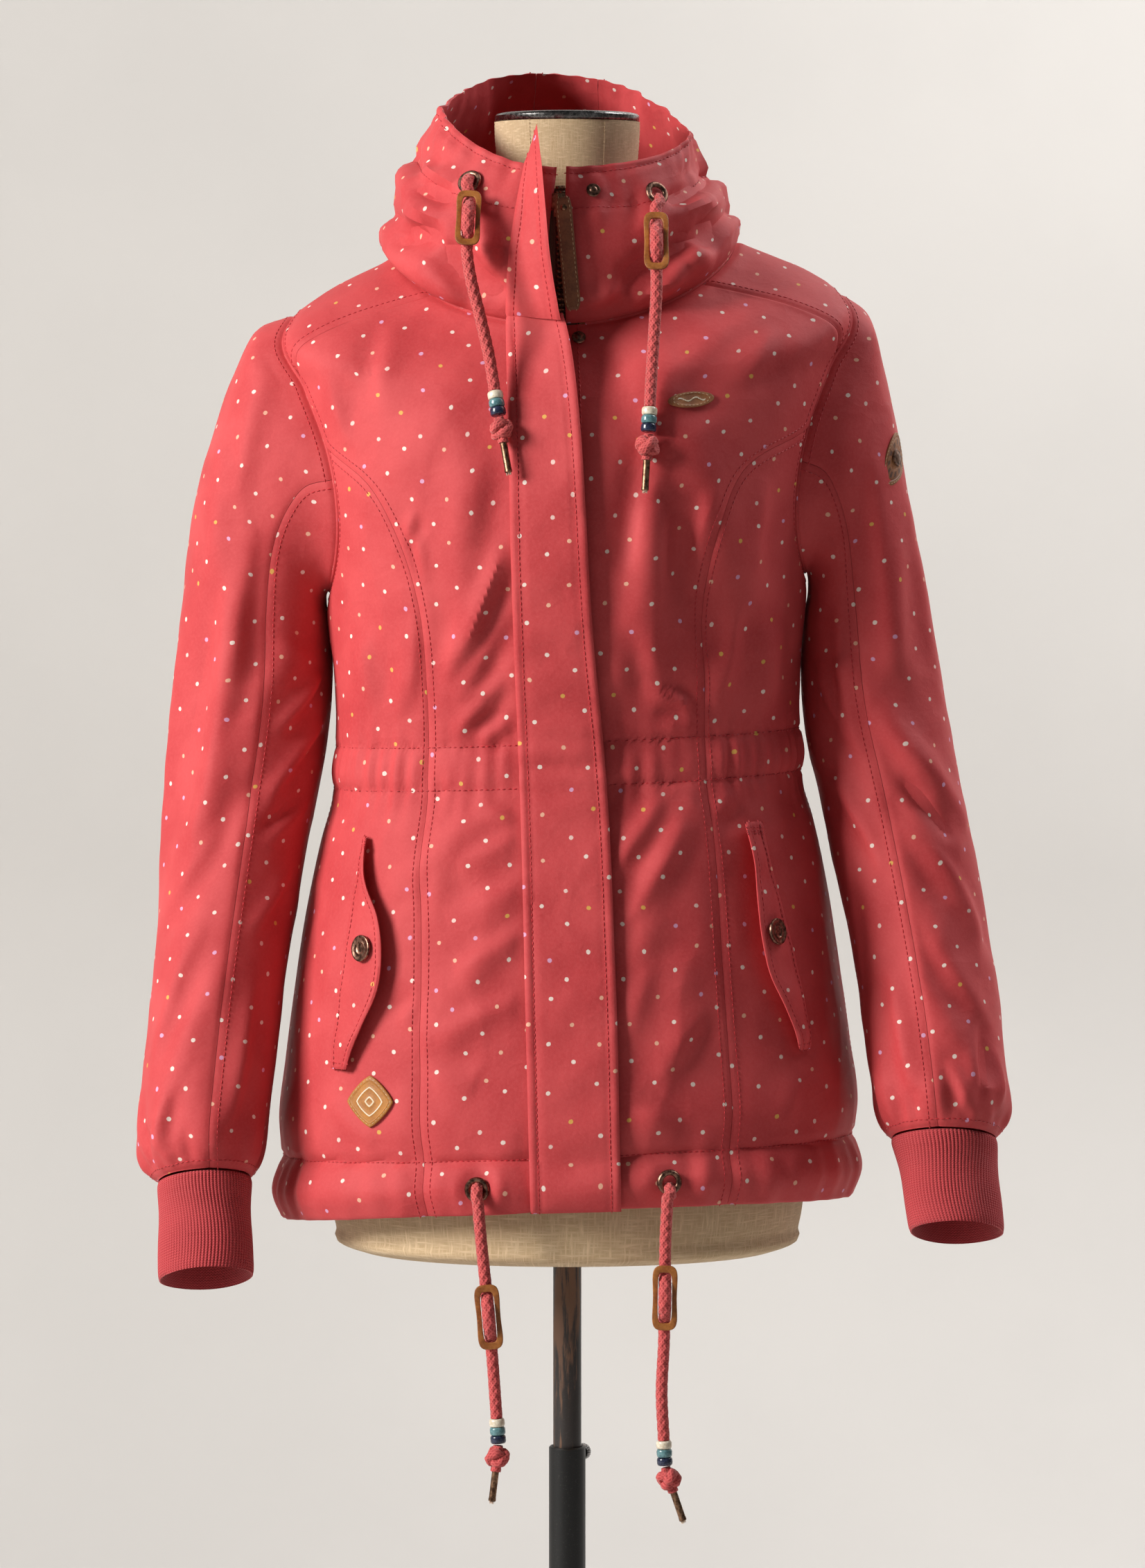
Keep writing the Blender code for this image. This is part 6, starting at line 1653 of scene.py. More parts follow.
@dataclass(frozen=True)
class DottedCloth:
    """Fine cotton printed with loose rows of small dots in five light colours.

    Attributes:
        base: Colour of the cloth.
        pitch: Distance between dots.
        dot: Radius of a dot.
        wander: How far the dots leave their rows, 0 to 1.
    """

    base: Colour = (0.615, 0.076, 0.081)
    shade: Colour = (0.520, 0.050, 0.056)
    pitch: float = 0.0245
    dot: float = 0.00160
    wander: float = 0.42

    def make(self) -> bpy.types.Material:
        """The material."""
        shader = Shader("dotted_cloth")
        flat = shader.place("UV", turn=45.0)
        drift = shader.node("ShaderNodeTexNoise", {"noise_dimensions": "2D"},
                            {"Vector": flat, "Scale": 9.0, "Detail": 1.0}).out("Color")
        drifted = shader.node("ShaderNodeVectorMath", {"operation": "MULTIPLY_ADD"},
                              {0: drift, 1: (0.012, 0.012, 0.0), 2: flat}).out()
        dots = shader.node("ShaderNodeTexVoronoi", {"voronoi_dimensions": "2D"},
                           {"Vector": drifted, "Scale": 1 / self.pitch, "Randomness": self.wander})
        ragged = shader.noise(flat, 900.0, 2.0) * 0.022
        edge = self.dot / self.pitch
        mask = (dots.out("Distance") + ragged).ramp(edge + 0.002, edge + 0.020, 1.0, 0.0)
        pick = shader.node("ShaderNodeSeparateColor", None, {"Color": dots.out("Color")}).out("Red")
        inks = ((0.0, (0.86, 0.74, 0.66)), (0.44, (0.82, 0.46, 0.32)), (0.62, (0.72, 0.42, 0.10)),
                (0.74, (0.72, 0.38, 0.58)), (0.88, (0.84, 0.60, 0.54)))
        ink = shader.node("ShaderNodeValToRGB", {"stops": inks, "interpolation": "CONSTANT"},
                          {"Fac": pick}).out("Color")
        cloudy = shader.noise(shader.place(), 22.0, 4.0)
        fibre = shader.noise(flat, 420.0, 5.0, 0.7)
        ground = shader.blend(cloudy.ramp(0.25, 0.75), self.shade, self.base)
        ground = shader.blend(fibre.ramp(0.35, 0.75) * 0.25, ground, (0.68, 0.13, 0.13))
        colour = shader.blend(mask * 0.92, ground, ink)
        across = (shader.node("ShaderNodeSeparateXYZ", None, {"Vector": shader.place("UV")}))
        thread = 2 * math.pi / 0.00052
        weave = (across.out("X") * thread).wave() * (across.out("Y") * thread).wave()
        height = weave * 0.5 + shader.noise(flat, 700.0, 4.0, 0.65) * 1.6
        normal = shader.bump(height, 0.00010, 0.55)
        crumple = shader.noise(shader.place(), 62.0, 4.0, 0.55)
        normal = shader.bump(crumple, 0.0016, 0.35, normal)
        bent = shader.noise(shader.place("Object", (1.0, 1.0, 1.7)), 21.0, 3.0, 0.5) * 2.0 - 1.0
        normal = shader.bump((1.0 - bent.maximum(bent * -1.0)) ** 5.0, 0.0022, 0.10, normal)
        return shader.finish(Base_Color=colour, Roughness=fibre.ramp(0.2, 0.8, 0.48, 0.62), Normal=normal,
                             Sheen_Weight=0.04, Sheen_Roughness=0.42, Sheen_Tint=(1.0, 0.60, 0.58),
                             Specular_IOR_Level=0.16)


@dataclass(frozen=True)
class Knit:
    """Rib knit: columns of small loops that run along the ribs."""

    base: Colour = (0.60, 0.080, 0.086)

    def make(self) -> bpy.types.Material:
        """The material."""
        shader = Shader("rib_knit")
        flat = shader.node("ShaderNodeSeparateXYZ", None, {"Vector": shader.place("UV")})
        loops = ((flat.out("Y") * (2 * math.pi / 0.0016)) + (flat.out("X") * (2 * math.pi / 0.0030)).wave()
                 * 1.6)
        fluff = shader.noise(shader.place(), 900.0, 4.0, 0.7)
        height = loops.wave() * 0.5 + fluff
        # Darker where the loops and fluff lie low: painted shade between the loops.
        colour = shader.blend(height.ramp(0.0, 1.4), (0.40, 0.036, 0.044), self.base)
        return shader.finish(Base_Color=colour, Roughness=fluff.ramp(0.2, 0.8, 0.78, 0.92),
                             Normal=shader.bump(height, 0.00035, 0.7), Sheen_Weight=0.35, Sheen_Roughness=0.5,
                             Sheen_Tint=(1.0, 0.6, 0.6), Specular_IOR_Level=0.25)


@dataclass(frozen=True)
class Thread:
    """Twisted thread."""

    name: str
    colour: Colour
    dark: Colour

    def make(self) -> bpy.types.Material:
        """The material."""
        shader = Shader(self.name)
        where = shader.place()
        tone = shader.noise(where, 260.0, 3.0)
        twist = shader.noise(where, 2600.0, 2.0)
        colour = shader.blend(tone.ramp(0.3, 0.7), self.dark, self.colour)
        return shader.finish(Base_Color=colour, Roughness=tone.ramp(0.2, 0.8, 0.45, 0.6),
                             Normal=shader.bump(twist, 0.0001, 0.6), Sheen_Weight=0.2)


@dataclass(frozen=True)
class Braid:
    """Soft braided cord with fluff on its strands."""

    name: str = "braided_cord"
    colour: Colour = (0.68, 0.110, 0.105)
    # The darker colour stands for painted shade in the grooves between the strands, and for the cord's own uneven
    # tone.
    dark: Colour = (0.44, 0.042, 0.045)
    strand: float = 0.0030

    def make(self) -> bpy.types.Material:
        """The material."""
        shader = Shader(self.name)
        flat = shader.node("ShaderNodeSeparateXYZ", None, {"Vector": shader.place("UV")})
        step = 2 * math.pi / self.strand
        one = ((flat.out("X") + flat.out("Y")) * step).wave()
        other = ((flat.out("X") - flat.out("Y")) * step).wave()
        braid = one.maximum(other)
        fibre = shader.noise(shader.place(), 1500.0, 4.0, 0.7)
        tone = shader.noise(shader.place(), 120.0, 3.0)
        # Darker in the grooves between the strands, which is painted shade; the fibre and tone noise are the cord's
        # own uneven colour.
        colour = shader.blend((braid * 0.35 + fibre * 0.5 + tone * 0.4).ramp(0.25, 0.95), self.dark,
                              self.colour)
        return shader.finish(Base_Color=colour, Roughness=tone.ramp(0.2, 0.8, 0.72, 0.86),
                             Normal=shader.bump(braid * 0.5 + fibre, 0.00035, 0.8), Sheen_Weight=0.35,
                             Sheen_Roughness=0.45, Sheen_Tint=(1.0, 0.7, 0.65))


@dataclass(frozen=True)
class Leather:
    """Leather with fine grain, darker where it is handled."""

    name: str
    colour: Colour
    dark: Colour
    roughness: float = 0.46
    grain: float = 900.0

    def make(self) -> bpy.types.Material:
        """The material."""
        shader = Shader(self.name)
        where = shader.place()
        pores = shader.node("ShaderNodeTexVoronoi", {"feature": "DISTANCE_TO_EDGE"},
                            {"Vector": where, "Scale": self.grain}).out("Distance")
        tone = shader.noise(where, 75.0, 5.0, 0.6)
        speck = shader.noise(where, 600.0, 3.0, 0.6)
        colour = shader.blend((tone * 0.75 + speck * 0.25).ramp(0.32, 0.66), self.dark, self.colour)
        normal = shader.bump(pores.ramp(0.0, 0.12) + speck * 0.6, 0.00008, 0.7)
        return shader.finish(Base_Color=colour, Normal=normal,
                             Roughness=tone.ramp(0.2, 0.8, self.roughness - 0.08, self.roughness + 0.1),
                             Specular_IOR_Level=0.45)


@dataclass(frozen=True)
class AntiqueMetal:
    """Worn plated metal: bright where it is rubbed, dark in its hollows."""

    name: str
    bright: Colour
    dark: Colour
    roughness: float = 0.34

    def make(self) -> bpy.types.Material:
        """The material."""
        shader = Shader(self.name)
        where = shader.place()
        patina = shader.noise(where, 320.0, 5.0, 0.65)
        scratch = shader.noise(shader.place("Object", (1.0, 1.0, 0.12)), 1800.0, 2.0)
        colour = shader.blend(patina.ramp(0.36, 0.62), self.dark, self.bright)
        rough = (patina * 0.30 + scratch * 0.14) + (self.roughness - 0.20)
        return shader.finish(Base_Color=colour, Metallic=1.0, Roughness=rough,
                             Normal=shader.bump(scratch, 0.00003, 0.4))


@dataclass(frozen=True)
class Paint:
    """Satin paint over steel, with light dust and rubbed places."""

    name: str
    colour: Colour
    rubbed: Colour
    share: float
    streak: float = 1.0

    def make(self) -> bpy.types.Material:
        """The material; `share` is how much of it is rubbed."""
        shader = Shader(self.name)
        worn = shader.noise(shader.place("Object", (1.0, 1.0, self.streak)), 75.0, 7.0, 0.68)
        dust = shader.noise(shader.place(), 700.0, 3.0)
        mask = worn.ramp(0.66 - self.share, 0.74 - self.share)
        colour = shader.blend(mask, self.colour, self.rubbed)
        colour = shader.blend(dust.ramp(0.55, 0.85) * 0.22, colour, (0.16, 0.15, 0.14))
        rough = mask * 0.22 + dust * 0.16 + 0.36
        return shader.finish(Base_Color=colour, Roughness=rough,
                             Normal=shader.bump(mask + dust * 0.3, 0.00012, 0.6))


@dataclass(frozen=True)
class Linen:
    """Plain-woven natural linen with slubs."""

    light: Colour = (0.92, 0.72, 0.48)
    dark: Colour = (0.58, 0.40, 0.22)
    thread: float = 0.00085

    def make(self) -> bpy.types.Material:
        """The material."""
        shader = Shader("linen")
        flat = shader.node("ShaderNodeSeparateXYZ", None, {"Vector": shader.place("UV")})
        step = 2 * math.pi / self.thread
        weave = (flat.out("X") * step).wave() * (flat.out("Y") * step).wave()
        slub = shader.noise(shader.place("UV", (1.0, 0.08, 1.0)), 700.0, 3.0, 0.6)
        also = shader.noise(shader.place("UV", (0.08, 1.0, 1.0)), 700.0, 3.0, 0.6)
        threads = slub.maximum(also)
        # The low crossings of the weave are darker, which is painted shade; the slubs are the linen's own uneven
        # tone.
        colour = shader.blend((threads * 0.8 + weave * 0.12).ramp(0.30, 0.66), self.dark, self.light)
        return shader.finish(Base_Color=colour, Roughness=threads.ramp(0.2, 0.8, 0.82, 0.95),
                             Normal=shader.bump(weave * 0.5 + threads * 1.3, 0.00028, 0.7),
                             Sheen_Weight=0.15, Specular_IOR_Level=0.25)


@dataclass(frozen=True)
class Glaze:
    """Lacquered bead with fine turning lines."""

    name: str
    colour: Colour
    dark: Colour
    roughness: float = 0.24

    def make(self) -> bpy.types.Material:
        """The material."""
        shader = Shader(self.name)
        where = shader.place()
        tone = shader.noise(where, 420.0, 4.0, 0.6)
        colour = shader.blend(tone.ramp(0.30, 0.62), self.dark, self.colour)
        return shader.finish(Base_Color=colour, Roughness=tone.ramp(0.2, 0.8, self.roughness - 0.06,
                                                                     self.roughness + 0.12),
                             Normal=shader.bump(tone, 0.00006, 0.5), Coat_Weight=0.25)


@dataclass(frozen=True)
class Webbing:
    """Woven zip tape: close ribs that run along it."""

    name: str = "zip_tape_weave"
    colour: Colour = (0.16, 0.075, 0.045)

    def make(self) -> bpy.types.Material:
        """The material."""
        shader = Shader(self.name)
        flat = shader.node("ShaderNodeSeparateXYZ", None, {"Vector": shader.place("UV")})
        rib = (flat.out("X") * (2 * math.pi / 0.0011)).wave()
        pick = (flat.out("Y") * (2 * math.pi / 0.0007) + flat.out("X") * 3000.0).wave()
        speck = shader.noise(shader.place(), 1100.0, 3.0)
        height = rib * 0.6 + pick * 0.4 + speck
        # Darker in the grooves between the ribs and picks, which is painted shade; the specks are the tape's own
        # tone.
        colour = shader.blend(height.ramp(-0.4, 1.4), (0.07, 0.032, 0.020), self.colour)
        return shader.finish(Base_Color=colour, Roughness=speck.ramp(0.2, 0.8, 0.7, 0.85),
                             Normal=shader.bump(height, 0.0002, 0.6), Sheen_Weight=0.2)


@dataclass(frozen=True)
class Backdrop:
    """Matt paper with the faintest mottling, clear when seen from its back."""

    name: str
    colour: Colour

    def make(self) -> bpy.types.Material:
        """The material."""
        shader = Shader(self.name)
        tone = shader.noise(shader.place(), 2.2, 4.0)
        soft = tuple(0.955 * part for part in self.colour)
        shader.finish(Base_Color=shader.blend(tone.ramp(0.3, 0.7), soft, self.colour), Roughness=0.9)
        back = shader.node("ShaderNodeNewGeometry").out("Backfacing")
        clear = shader.node("ShaderNodeBsdfTransparent").out("BSDF")
        paper = Value(shader, shader.surface.outputs["BSDF"])
        mixed = shader.node("ShaderNodeMixShader", None, {0: back, 1: paper, 2: clear}).out("Shader")
        shader.feed(shader.tree.nodes["Material Output"].inputs["Surface"], mixed)
        return shader.material


class Finishes:
    """Every material of the part, made once."""

    def __init__(self) -> None:
        """Make them all."""
        self.cloth = DottedCloth().make()
        self.knit = Knit().make()
        self.stitch = Thread("stitch_thread", (0.56, 0.008, 0.018), (0.40, 0.005, 0.012)).make()
        self.tan_stitch = Thread("leather_stitch", (0.70, 0.52, 0.30), (0.50, 0.34, 0.17)).make()
        self.braid = Braid().make()
        self.frayed = Thread("frayed_ends", (0.80, 0.66, 0.50), (0.62, 0.40, 0.30)).make()
        self.toggle = Leather("toggle_leather", (0.42, 0.150, 0.028), (0.21, 0.058, 0.012), 0.36).make()
        self.cut_edge = Leather("leather_cut_edge", (0.30, 0.095, 0.020), (0.15, 0.040, 0.010), 0.5).make()
        self.patch = Leather("patch_leather", (0.38, 0.150, 0.055), (0.23, 0.080, 0.030), 0.52).make()
        self.patch_mark = Leather("patch_marking", (0.15, 0.055, 0.028), (0.085, 0.030, 0.016), 0.5).make()
        self.golden = Leather("golden_leather", (0.50, 0.200, 0.030), (0.35, 0.125, 0.018), 0.5).make()
        self.patch_light = Leather("patch_light", (0.80, 0.72, 0.58), (0.66, 0.54, 0.36), 0.55).make()
        self.strap = Leather("strap_leather", (0.27, 0.110, 0.048), (0.15, 0.052, 0.024), 0.5).make()
        self.copper = AntiqueMetal("antique_copper", (0.30, 0.165, 0.115), (0.070, 0.038, 0.028)).make()
        self.bronze = AntiqueMetal("dark_bronze", (0.34, 0.20, 0.12), (0.10, 0.052, 0.032), 0.38).make()
        self.steel = AntiqueMetal("polished_steel", (0.26, 0.25, 0.245), (0.10, 0.10, 0.10), 0.24).make()
        self.tape = Webbing().make()
        self.linen = Linen().make()
        self.cream = Glaze("bead_cream", (0.80, 0.72, 0.58), (0.62, 0.50, 0.36)).make()
        self.teal = Glaze("bead_teal", (0.130, 0.270, 0.290), (0.065, 0.150, 0.170)).make()
        self.navy = Glaze("bead_navy", (0.022, 0.030, 0.070), (0.008, 0.010, 0.026)).make()
        self.black = Paint("black_paint", (0.004, 0.004, 0.004), (0.020, 0.017, 0.015), 0.01, 0.5).make()
        self.worn = Paint("worn_paint", (0.030, 0.024, 0.022), (0.165, 0.085, 0.050), 0.17, 0.10).make()


# ---------------------------------------------------------------- the coat, piece by piece
class Workshop:
    """Finished pieces: gives each its material and its body, and hides the solids it stands for."""

    def __init__(self, finishes: Finishes) -> None:
        """Keep the finishes."""
        self.finishes = finishes
        self.made: list[bpy.types.Object] = []

    def dress(self, piece: bpy.types.Object, material: bpy.types.Material | None, slot: str,
              nodes: Sequence[str] = (), body: Body = Body.FIGURE) -> bpy.types.Object:
        """Finish a piece.

        Args:
            piece: The piece.
            material: Its material, or None if its faces already have theirs.
            slot: Not used.
            nodes: Solids that it stands for.
            body: What it rides on.

        Returns:
            The piece.
        """
        if material is not None:
            piece.data.materials.clear()
            piece.data.materials.append(material)
        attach(piece, body.value)
        if nodes:
            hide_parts(*nodes)
        self.made.append(piece)
        LOG.info("%s: %d faces", piece.name, len(piece.data.polygons))
        return piece

    def cloth(self, skin: Skin, node: str, rests_on: Sequence[str]) -> bpy.types.Object:
        """Make a panel of cloth; its cut is worked out and not kept."""
        piece = skin_mesh(skin, is_inside_out(skin))
        self.dress(piece, self.finishes.cloth, "cloth", (node,))
        width, length, area = cut_of(skin.flat, skin.outer)
        list(rests_on)
        return piece


def cut_of(flat: Array, grid: Array) -> tuple[float, float, float]:
    """Width, length and area of a skin laid flat."""
    across = np.linalg.norm(np.diff(grid, axis=0), axis=-1).sum(axis=0)
    up = np.linalg.norm(np.diff(grid, axis=1), axis=-1).sum(axis=1)
    one = grid[1:, :-1] - grid[:-1, :-1]
    two = grid[:-1, 1:] - grid[:-1, :-1]
    area = float(np.linalg.norm(np.cross(one, two), axis=-1).sum())
    width, length = float(across.max()), float(up.max())
    return width, length, min(max(area, 0.31 * width * length), 0.99 * width * length)


@dataclass
class CoatBody:
    """The nine panels of the coat's body and their topstitching.

    Attributes:
        cell: Size of the grid of the cloth.
        off_seam: Distance of the topstitching from its seam.
    """

    shop: Workshop
    cell: float = 0.0036
    off_seam: float = 0.0062
    lines: list[tuple[Array, Array]] = field(default_factory=list)

    def places(self) -> dict[str, tuple[Array, tuple[Edge, ...]]]:
        """Every panel as a grid of angles and levels, with how its edges end."""
        panels = {}
        fine = 24
        yoke_front = straight((YOKE_FRONT_NECK, NECK), arm_line(YOKE_FRONT_TURN, 0, 1)[0], fine)
        yoke_back = straight((YOKE_BACK_NECK, NECK), arm_line(YOKE_BACK_TURN, 0, 1)[0], fine)
        back_edges = {}
        share = self.cell

        def at(length: float) -> Array:
            """Shares for an edge of this length."""
            return shares(max(8, round(length / share)), length)
        for side in Side:
            front_seam = to_side(princess(PRINCESS_FRONT[side.word], PRINCESS_FRONT_TURN, True, 120), side)
            back_seam = to_side(princess(PRINCESS_BACK, PRINCESS_BACK_TURN, False, 120), side, RIGHT_ANGLE)
            arm_front = arm_line(PRINCESS_FRONT_TURN, YOKE_FRONT_TURN, 30)
            arm_back = arm_line(PRINCESS_BACK_TURN, YOKE_BACK_TURN, 30)
            arm_low_front = to_side(arm_line(PRINCESS_FRONT_TURN, 180, 60), side)
            arm_low_back = to_side(arm_line(-180, PRINCESS_BACK_TURN, 60), side, RIGHT_ANGLE)
            arm_top = to_side(arm_line(YOKE_FRONT_TURN, YOKE_BACK_TURN, 60), side)
            level = np.linspace(HEM, NECK, 151)
            front_edge = angle_at_x(BODY, closure_x(level) + side.value * CLOSURE_HALF, level)
            centre = np.stack([front_edge, level], -1)
            junction = to_side([(YOKE_FRONT_NECK, NECK)], side)[0, 0]
            neck = level_line(NECK, centre[-1, 0], junction, fine)
            right = join(front_seam, to_side(arm_front, side))
            panels[f"front_{side.word}"] = (
                fill(level_line(HEM, centre[0, 0], front_seam[0, 0], 48),
                     join(neck, to_side(yoke_front, side)),
                     centre, right, at(0.165), at(0.71)), (FREE, FLAT_SEAM, FREE, SEWN))
            side_seam = straight((0.0, HEM), (0.0, ARM_MID - ARM_HALF), 120)
            front_side = to_side(side_seam, side)
            panels[f"side_front_{side.word}"] = (
                fill(level_line(HEM, front_seam[0, 0], front_side[0, 0], 48), arm_low_front, front_seam,
                     front_side, at(0.17), at(0.52)), (FLAT_SEAM, FLAT_SEAM, FREE, SEWN))
            back_side = to_side(side_seam, side, RIGHT_ANGLE)
            panels[f"side_back_{side.word}"] = (
                fill(level_line(HEM, back_side[0, 0], back_seam[0, 0], 48), arm_low_back, back_side,
                     back_seam, at(0.17), at(0.52)), (FLAT_SEAM, FLAT_SEAM, FREE, SEWN))
            panels[f"yoke_{side.word}"] = (
                fill(level_line(NECK, junction, to_side([(YOKE_BACK_NECK, NECK)], side)[0, 0], 48), arm_top,
                     to_side(yoke_front, side), to_side(yoke_back, side), at(0.17), at(0.11)),
                (SEWN, SEWN, SEWN, SEWN))
            back_edges[side] = (join(back_seam, to_side(arm_back, side, RIGHT_ANGLE)),
                                to_side(yoke_back, side, RIGHT_ANGLE))
        left_edge, left_yoke = back_edges[Side.LEFT]
        right_edge, right_yoke = back_edges[Side.RIGHT]
        neck = level_line(NECK, left_yoke[0, 0], right_yoke[0, 0], 24)
        panels["back"] = (
            fill(level_line(HEM, left_edge[0, 0], right_edge[0, 0], 72),
                 join(left_yoke[::-1], neck, right_yoke),
                 left_edge, right_edge, at(0.26), at(0.71)), (FLAT_SEAM, FLAT_SEAM, FREE, SEWN))
        return panels

    def build(self) -> None:
        """Make the panels, and keep the lines of their stitches."""
        for name, (places, edges) in self.places().items():
            theta, level = places[..., 0], places[..., 1]
            normal = face_normal(body_face, theta, level)
            normal = normal if np.sum(normal * body_face(theta, level) * (1, 1, 0)) > 0 else -normal
            relief = body_relief(body_face(theta, level), theta, level)
            skin = make_skin(name, body_face, normal, theta, level, relief, edges)
            self.shop.cloth(skin, name, ["dress_form"])
            self.keep_lines(name, skin, level)

    def keep_lines(self, name: str, skin: Skin, level: Array) -> None:
        """Keep where this panel is topstitched."""
        if not name.startswith("yoke"):
            for line in (*WAIST_LINES, HEM_LINE):
                self.lines.append(skin.at_row(level, line))
        if name.startswith("front"):
            self.lines.append(skin.inset("last", self.off_seam))
            self.lines.append(skin.inset("first", 0.0085))
        elif name.startswith("side"):
            self.lines.append(skin.inset("first", self.off_seam))
            self.lines.append(skin.inset("high", self.off_seam))
        elif name.startswith("yoke"):
            for edge in ("first", "last", "high"):
                self.lines.append(skin.inset(edge, self.off_seam))
        else:
            for edge in ("first", "last", "high"):
                self.lines.append(skin.inset(edge, self.off_seam))


@dataclass
class Sleeves:
    """Top and under sleeves, and the rib cuffs."""

    shop: Workshop
    cell: float = 0.0038
    back_seam: float = -112.0
    front_seam: float = 100.0
    ribs: int = 84
    rib_depth: float = 0.0010
    lines: list[tuple[Array, Array]] = field(default_factory=list)

    def build(self) -> None:
        """Make both sleeves and both cuffs."""
        for side in Side:
            cuts = {"top": (self.back_seam, self.front_seam),
                    "under": (self.front_seam, self.back_seam + 360)}
            for part, (first, last) in cuts.items():
                self.panel(side, part, math.radians(first), math.radians(last))
            self.cuff(side)

    def panel(self, side: Side, part: str, first: float, last: float) -> None:
        """One panel of a sleeve, between two turns."""
        def face(turn: Array, station: Array) -> Array:
            """The sleeve's face on this side."""
            return sleeve_face(side, turn, station)
        across = shares(round((last - first) * 0.068 / self.cell), (last - first) * 0.06)
        turn = (first + (last - first) * across)[:, None]
        station = SLEEVE_SECTIONS * shares(round(0.64 / self.cell), 0.64)[None, :]
        turn, station = np.broadcast_arrays(turn, station)
        normal = face_normal(face, turn, station, 0.02, 0.05) * side.value
        normal[:, 0] = normal[:, 1]
        relief = sleeve_relief(face(turn, station), turn, station, side)
        name = f"sleeve_{part}_{side.word}"
        skin = make_skin(name, face, normal, turn, station, relief, (FLAT_SEAM, FLAT_SEAM, SEWN, SEWN))
        self.shop.cloth(skin, name, [f"yoke_{side.word}", f"cuff_{side.word}"])
        self.lines.append(skin.inset("low", 0.0062) if part == "top" else skin.inset("first", 0.0062))
        self.lines.append(skin.inset("high", 0.0070))

    def cuff(self, side: Side) -> None:
        """A rib cuff: raised ribs outside, plain inside."""
        many = self.ribs * 8
        station = np.linspace(0.012, 2.0, 25)[None, :]
        turn = (np.arange(many) * 2 * math.pi / many)[:, None]
        turn, station = np.broadcast_arrays(turn, station)
        points, out = tube_section(CUFF[side], turn, station)
        sway = turn + 0.05 * np.sin(station * 2.6 + 1.0)
        rib = np.abs(np.sin(sway * self.ribs / 2)) ** 0.8
        low_roll = np.exp(-(((2.0 - station) * 0.033 / 0.0022) ** 2))
        roll = low_roll + np.exp(-(((station - 0.012) * 0.033 / 0.002) ** 2))
        drape = 0.0010 * np.sin(3 * turn + 0.8) * np.sin(station * 1.5)
        drape = drape + 0.0006 * station * np.cos(2 * turn + 0.9) - 0.0014 * band(station, 0.75, 0.55)
        outer = points + out * (self.rib_depth * (rib - 1) - 0.0009 * roll + drape)[..., None]
        inner_turn = turn[::4]
        plain, inner_out = tube_section(CUFF[side], inner_turn, station[::4])
        inner = plain - (CUFF_WALL - 0.0006 * roll[::4])[..., None] * inner_out
        inner = inner + inner_out * drape[::4][..., None]
        rows = station.shape[1]
        start = many * rows
        small = len(inner_turn)
        faces = grid_faces(many, rows, 0, wrap=True)
        faces += [face[::-1] for face in grid_faces(small, rows, start, wrap=True)]
        for i in range(small):
            after = (i + 1) % small
            outside = [(i * 4 + k) % many * rows for k in range(5)]
            inside = [start + after * rows, start + i * rows]
            faces.append(tuple(reversed(outside + inside)))
            faces.append(tuple(point + rows - 1 for point in outside + inside))
        if side is Side.RIGHT:
            faces = [face[::-1] for face in faces]
        grids = [mirrored(outer, side), mirrored(inner, side)]
        flat = [np.stack([grid_turn * 0.042, grid_station * 0.033], -1)
                for grid_turn, grid_station in ((turn, station), (inner_turn, station[::4]))]
        points = hang(np.concatenate([grid.reshape(-1, 3) for grid in grids]))
        name = f"cuff_{side.word}"
        piece = to_mesh(name, points, faces, np.concatenate([part.reshape(-1, 2) for part in flat]), 80)
        self.shop.dress(piece, self.shop.finishes.knit, "rib", (name,))
        around = float(np.linalg.norm(np.diff(inner[:, 0], axis=0), axis=-1).sum())


@dataclass
class Hood:
    """The hood that stands round the neck and hangs behind as a pouch."""

    shop: Workshop
    cell: float = 0.0036
    centre_share: float = 2 / 6
    lines: list[tuple[Array, Array]] = field(default_factory=list)

    def build(self) -> None:
        """Make the side panels and the centre strip."""
        edges = {}
        for side in Side:
            centre = float(angle_at_x(BODY, closure_x(NECK) + side.value * CLOSURE_HALF, NECK))
            edges[side] = (centre, to_side([(YOKE_BACK_NECK, NECK)], side)[0, 0])
        left_end = edges[Side.LEFT][1]
        right_end = math.pi - YOKE_BACK_NECK
        left_cut = left_end + (right_end - left_end) * self.centre_share
        right_cut = right_end - (right_end - left_end) * self.centre_share
        cuts = {"hood_left": (edges[Side.LEFT][0], left_cut), "hood_centre": (left_cut, right_cut),
                "hood_right": (edges[Side.RIGHT][0] + 2 * math.pi, right_cut)}
        ends = {"hood_left": (FREE, FLAT_SEAM), "hood_centre": (FLAT_SEAM, FLAT_SEAM),
                "hood_right": (FREE, FLAT_SEAM)}
        for name, (first, last) in cuts.items():
            across = shares(round(abs(last - first) * 0.15 / self.cell), abs(last - first) * 0.13)
            theta = (first + (last - first) * across)[:, None]
            tall = 0.105 if name != "hood_centre" else 0.20
            level = HOOD_SECTIONS * shares(round(tall / self.cell), tall)[None, :]
            theta, level = np.broadcast_arrays(theta, level)
            base = hood_face(theta, level)
            normal = face_normal(hood_face, theta, level, 0.01, 0.05)
            relief = hood_relief(base, theta, level)
            skin = make_skin(name, hood_face, normal, theta, level, relief, (*ends[name], SEWN, FREE))
            self.shop.cloth(skin, name, ["yoke_left", "yoke_right", "back"])
            self.lines.append(skin.at_row(level, RIM_LINE))
            self.lines.append(skin.at_row(level, CHANNEL_LINE))
            self.lines.append(skin.inset("last", 0.005))


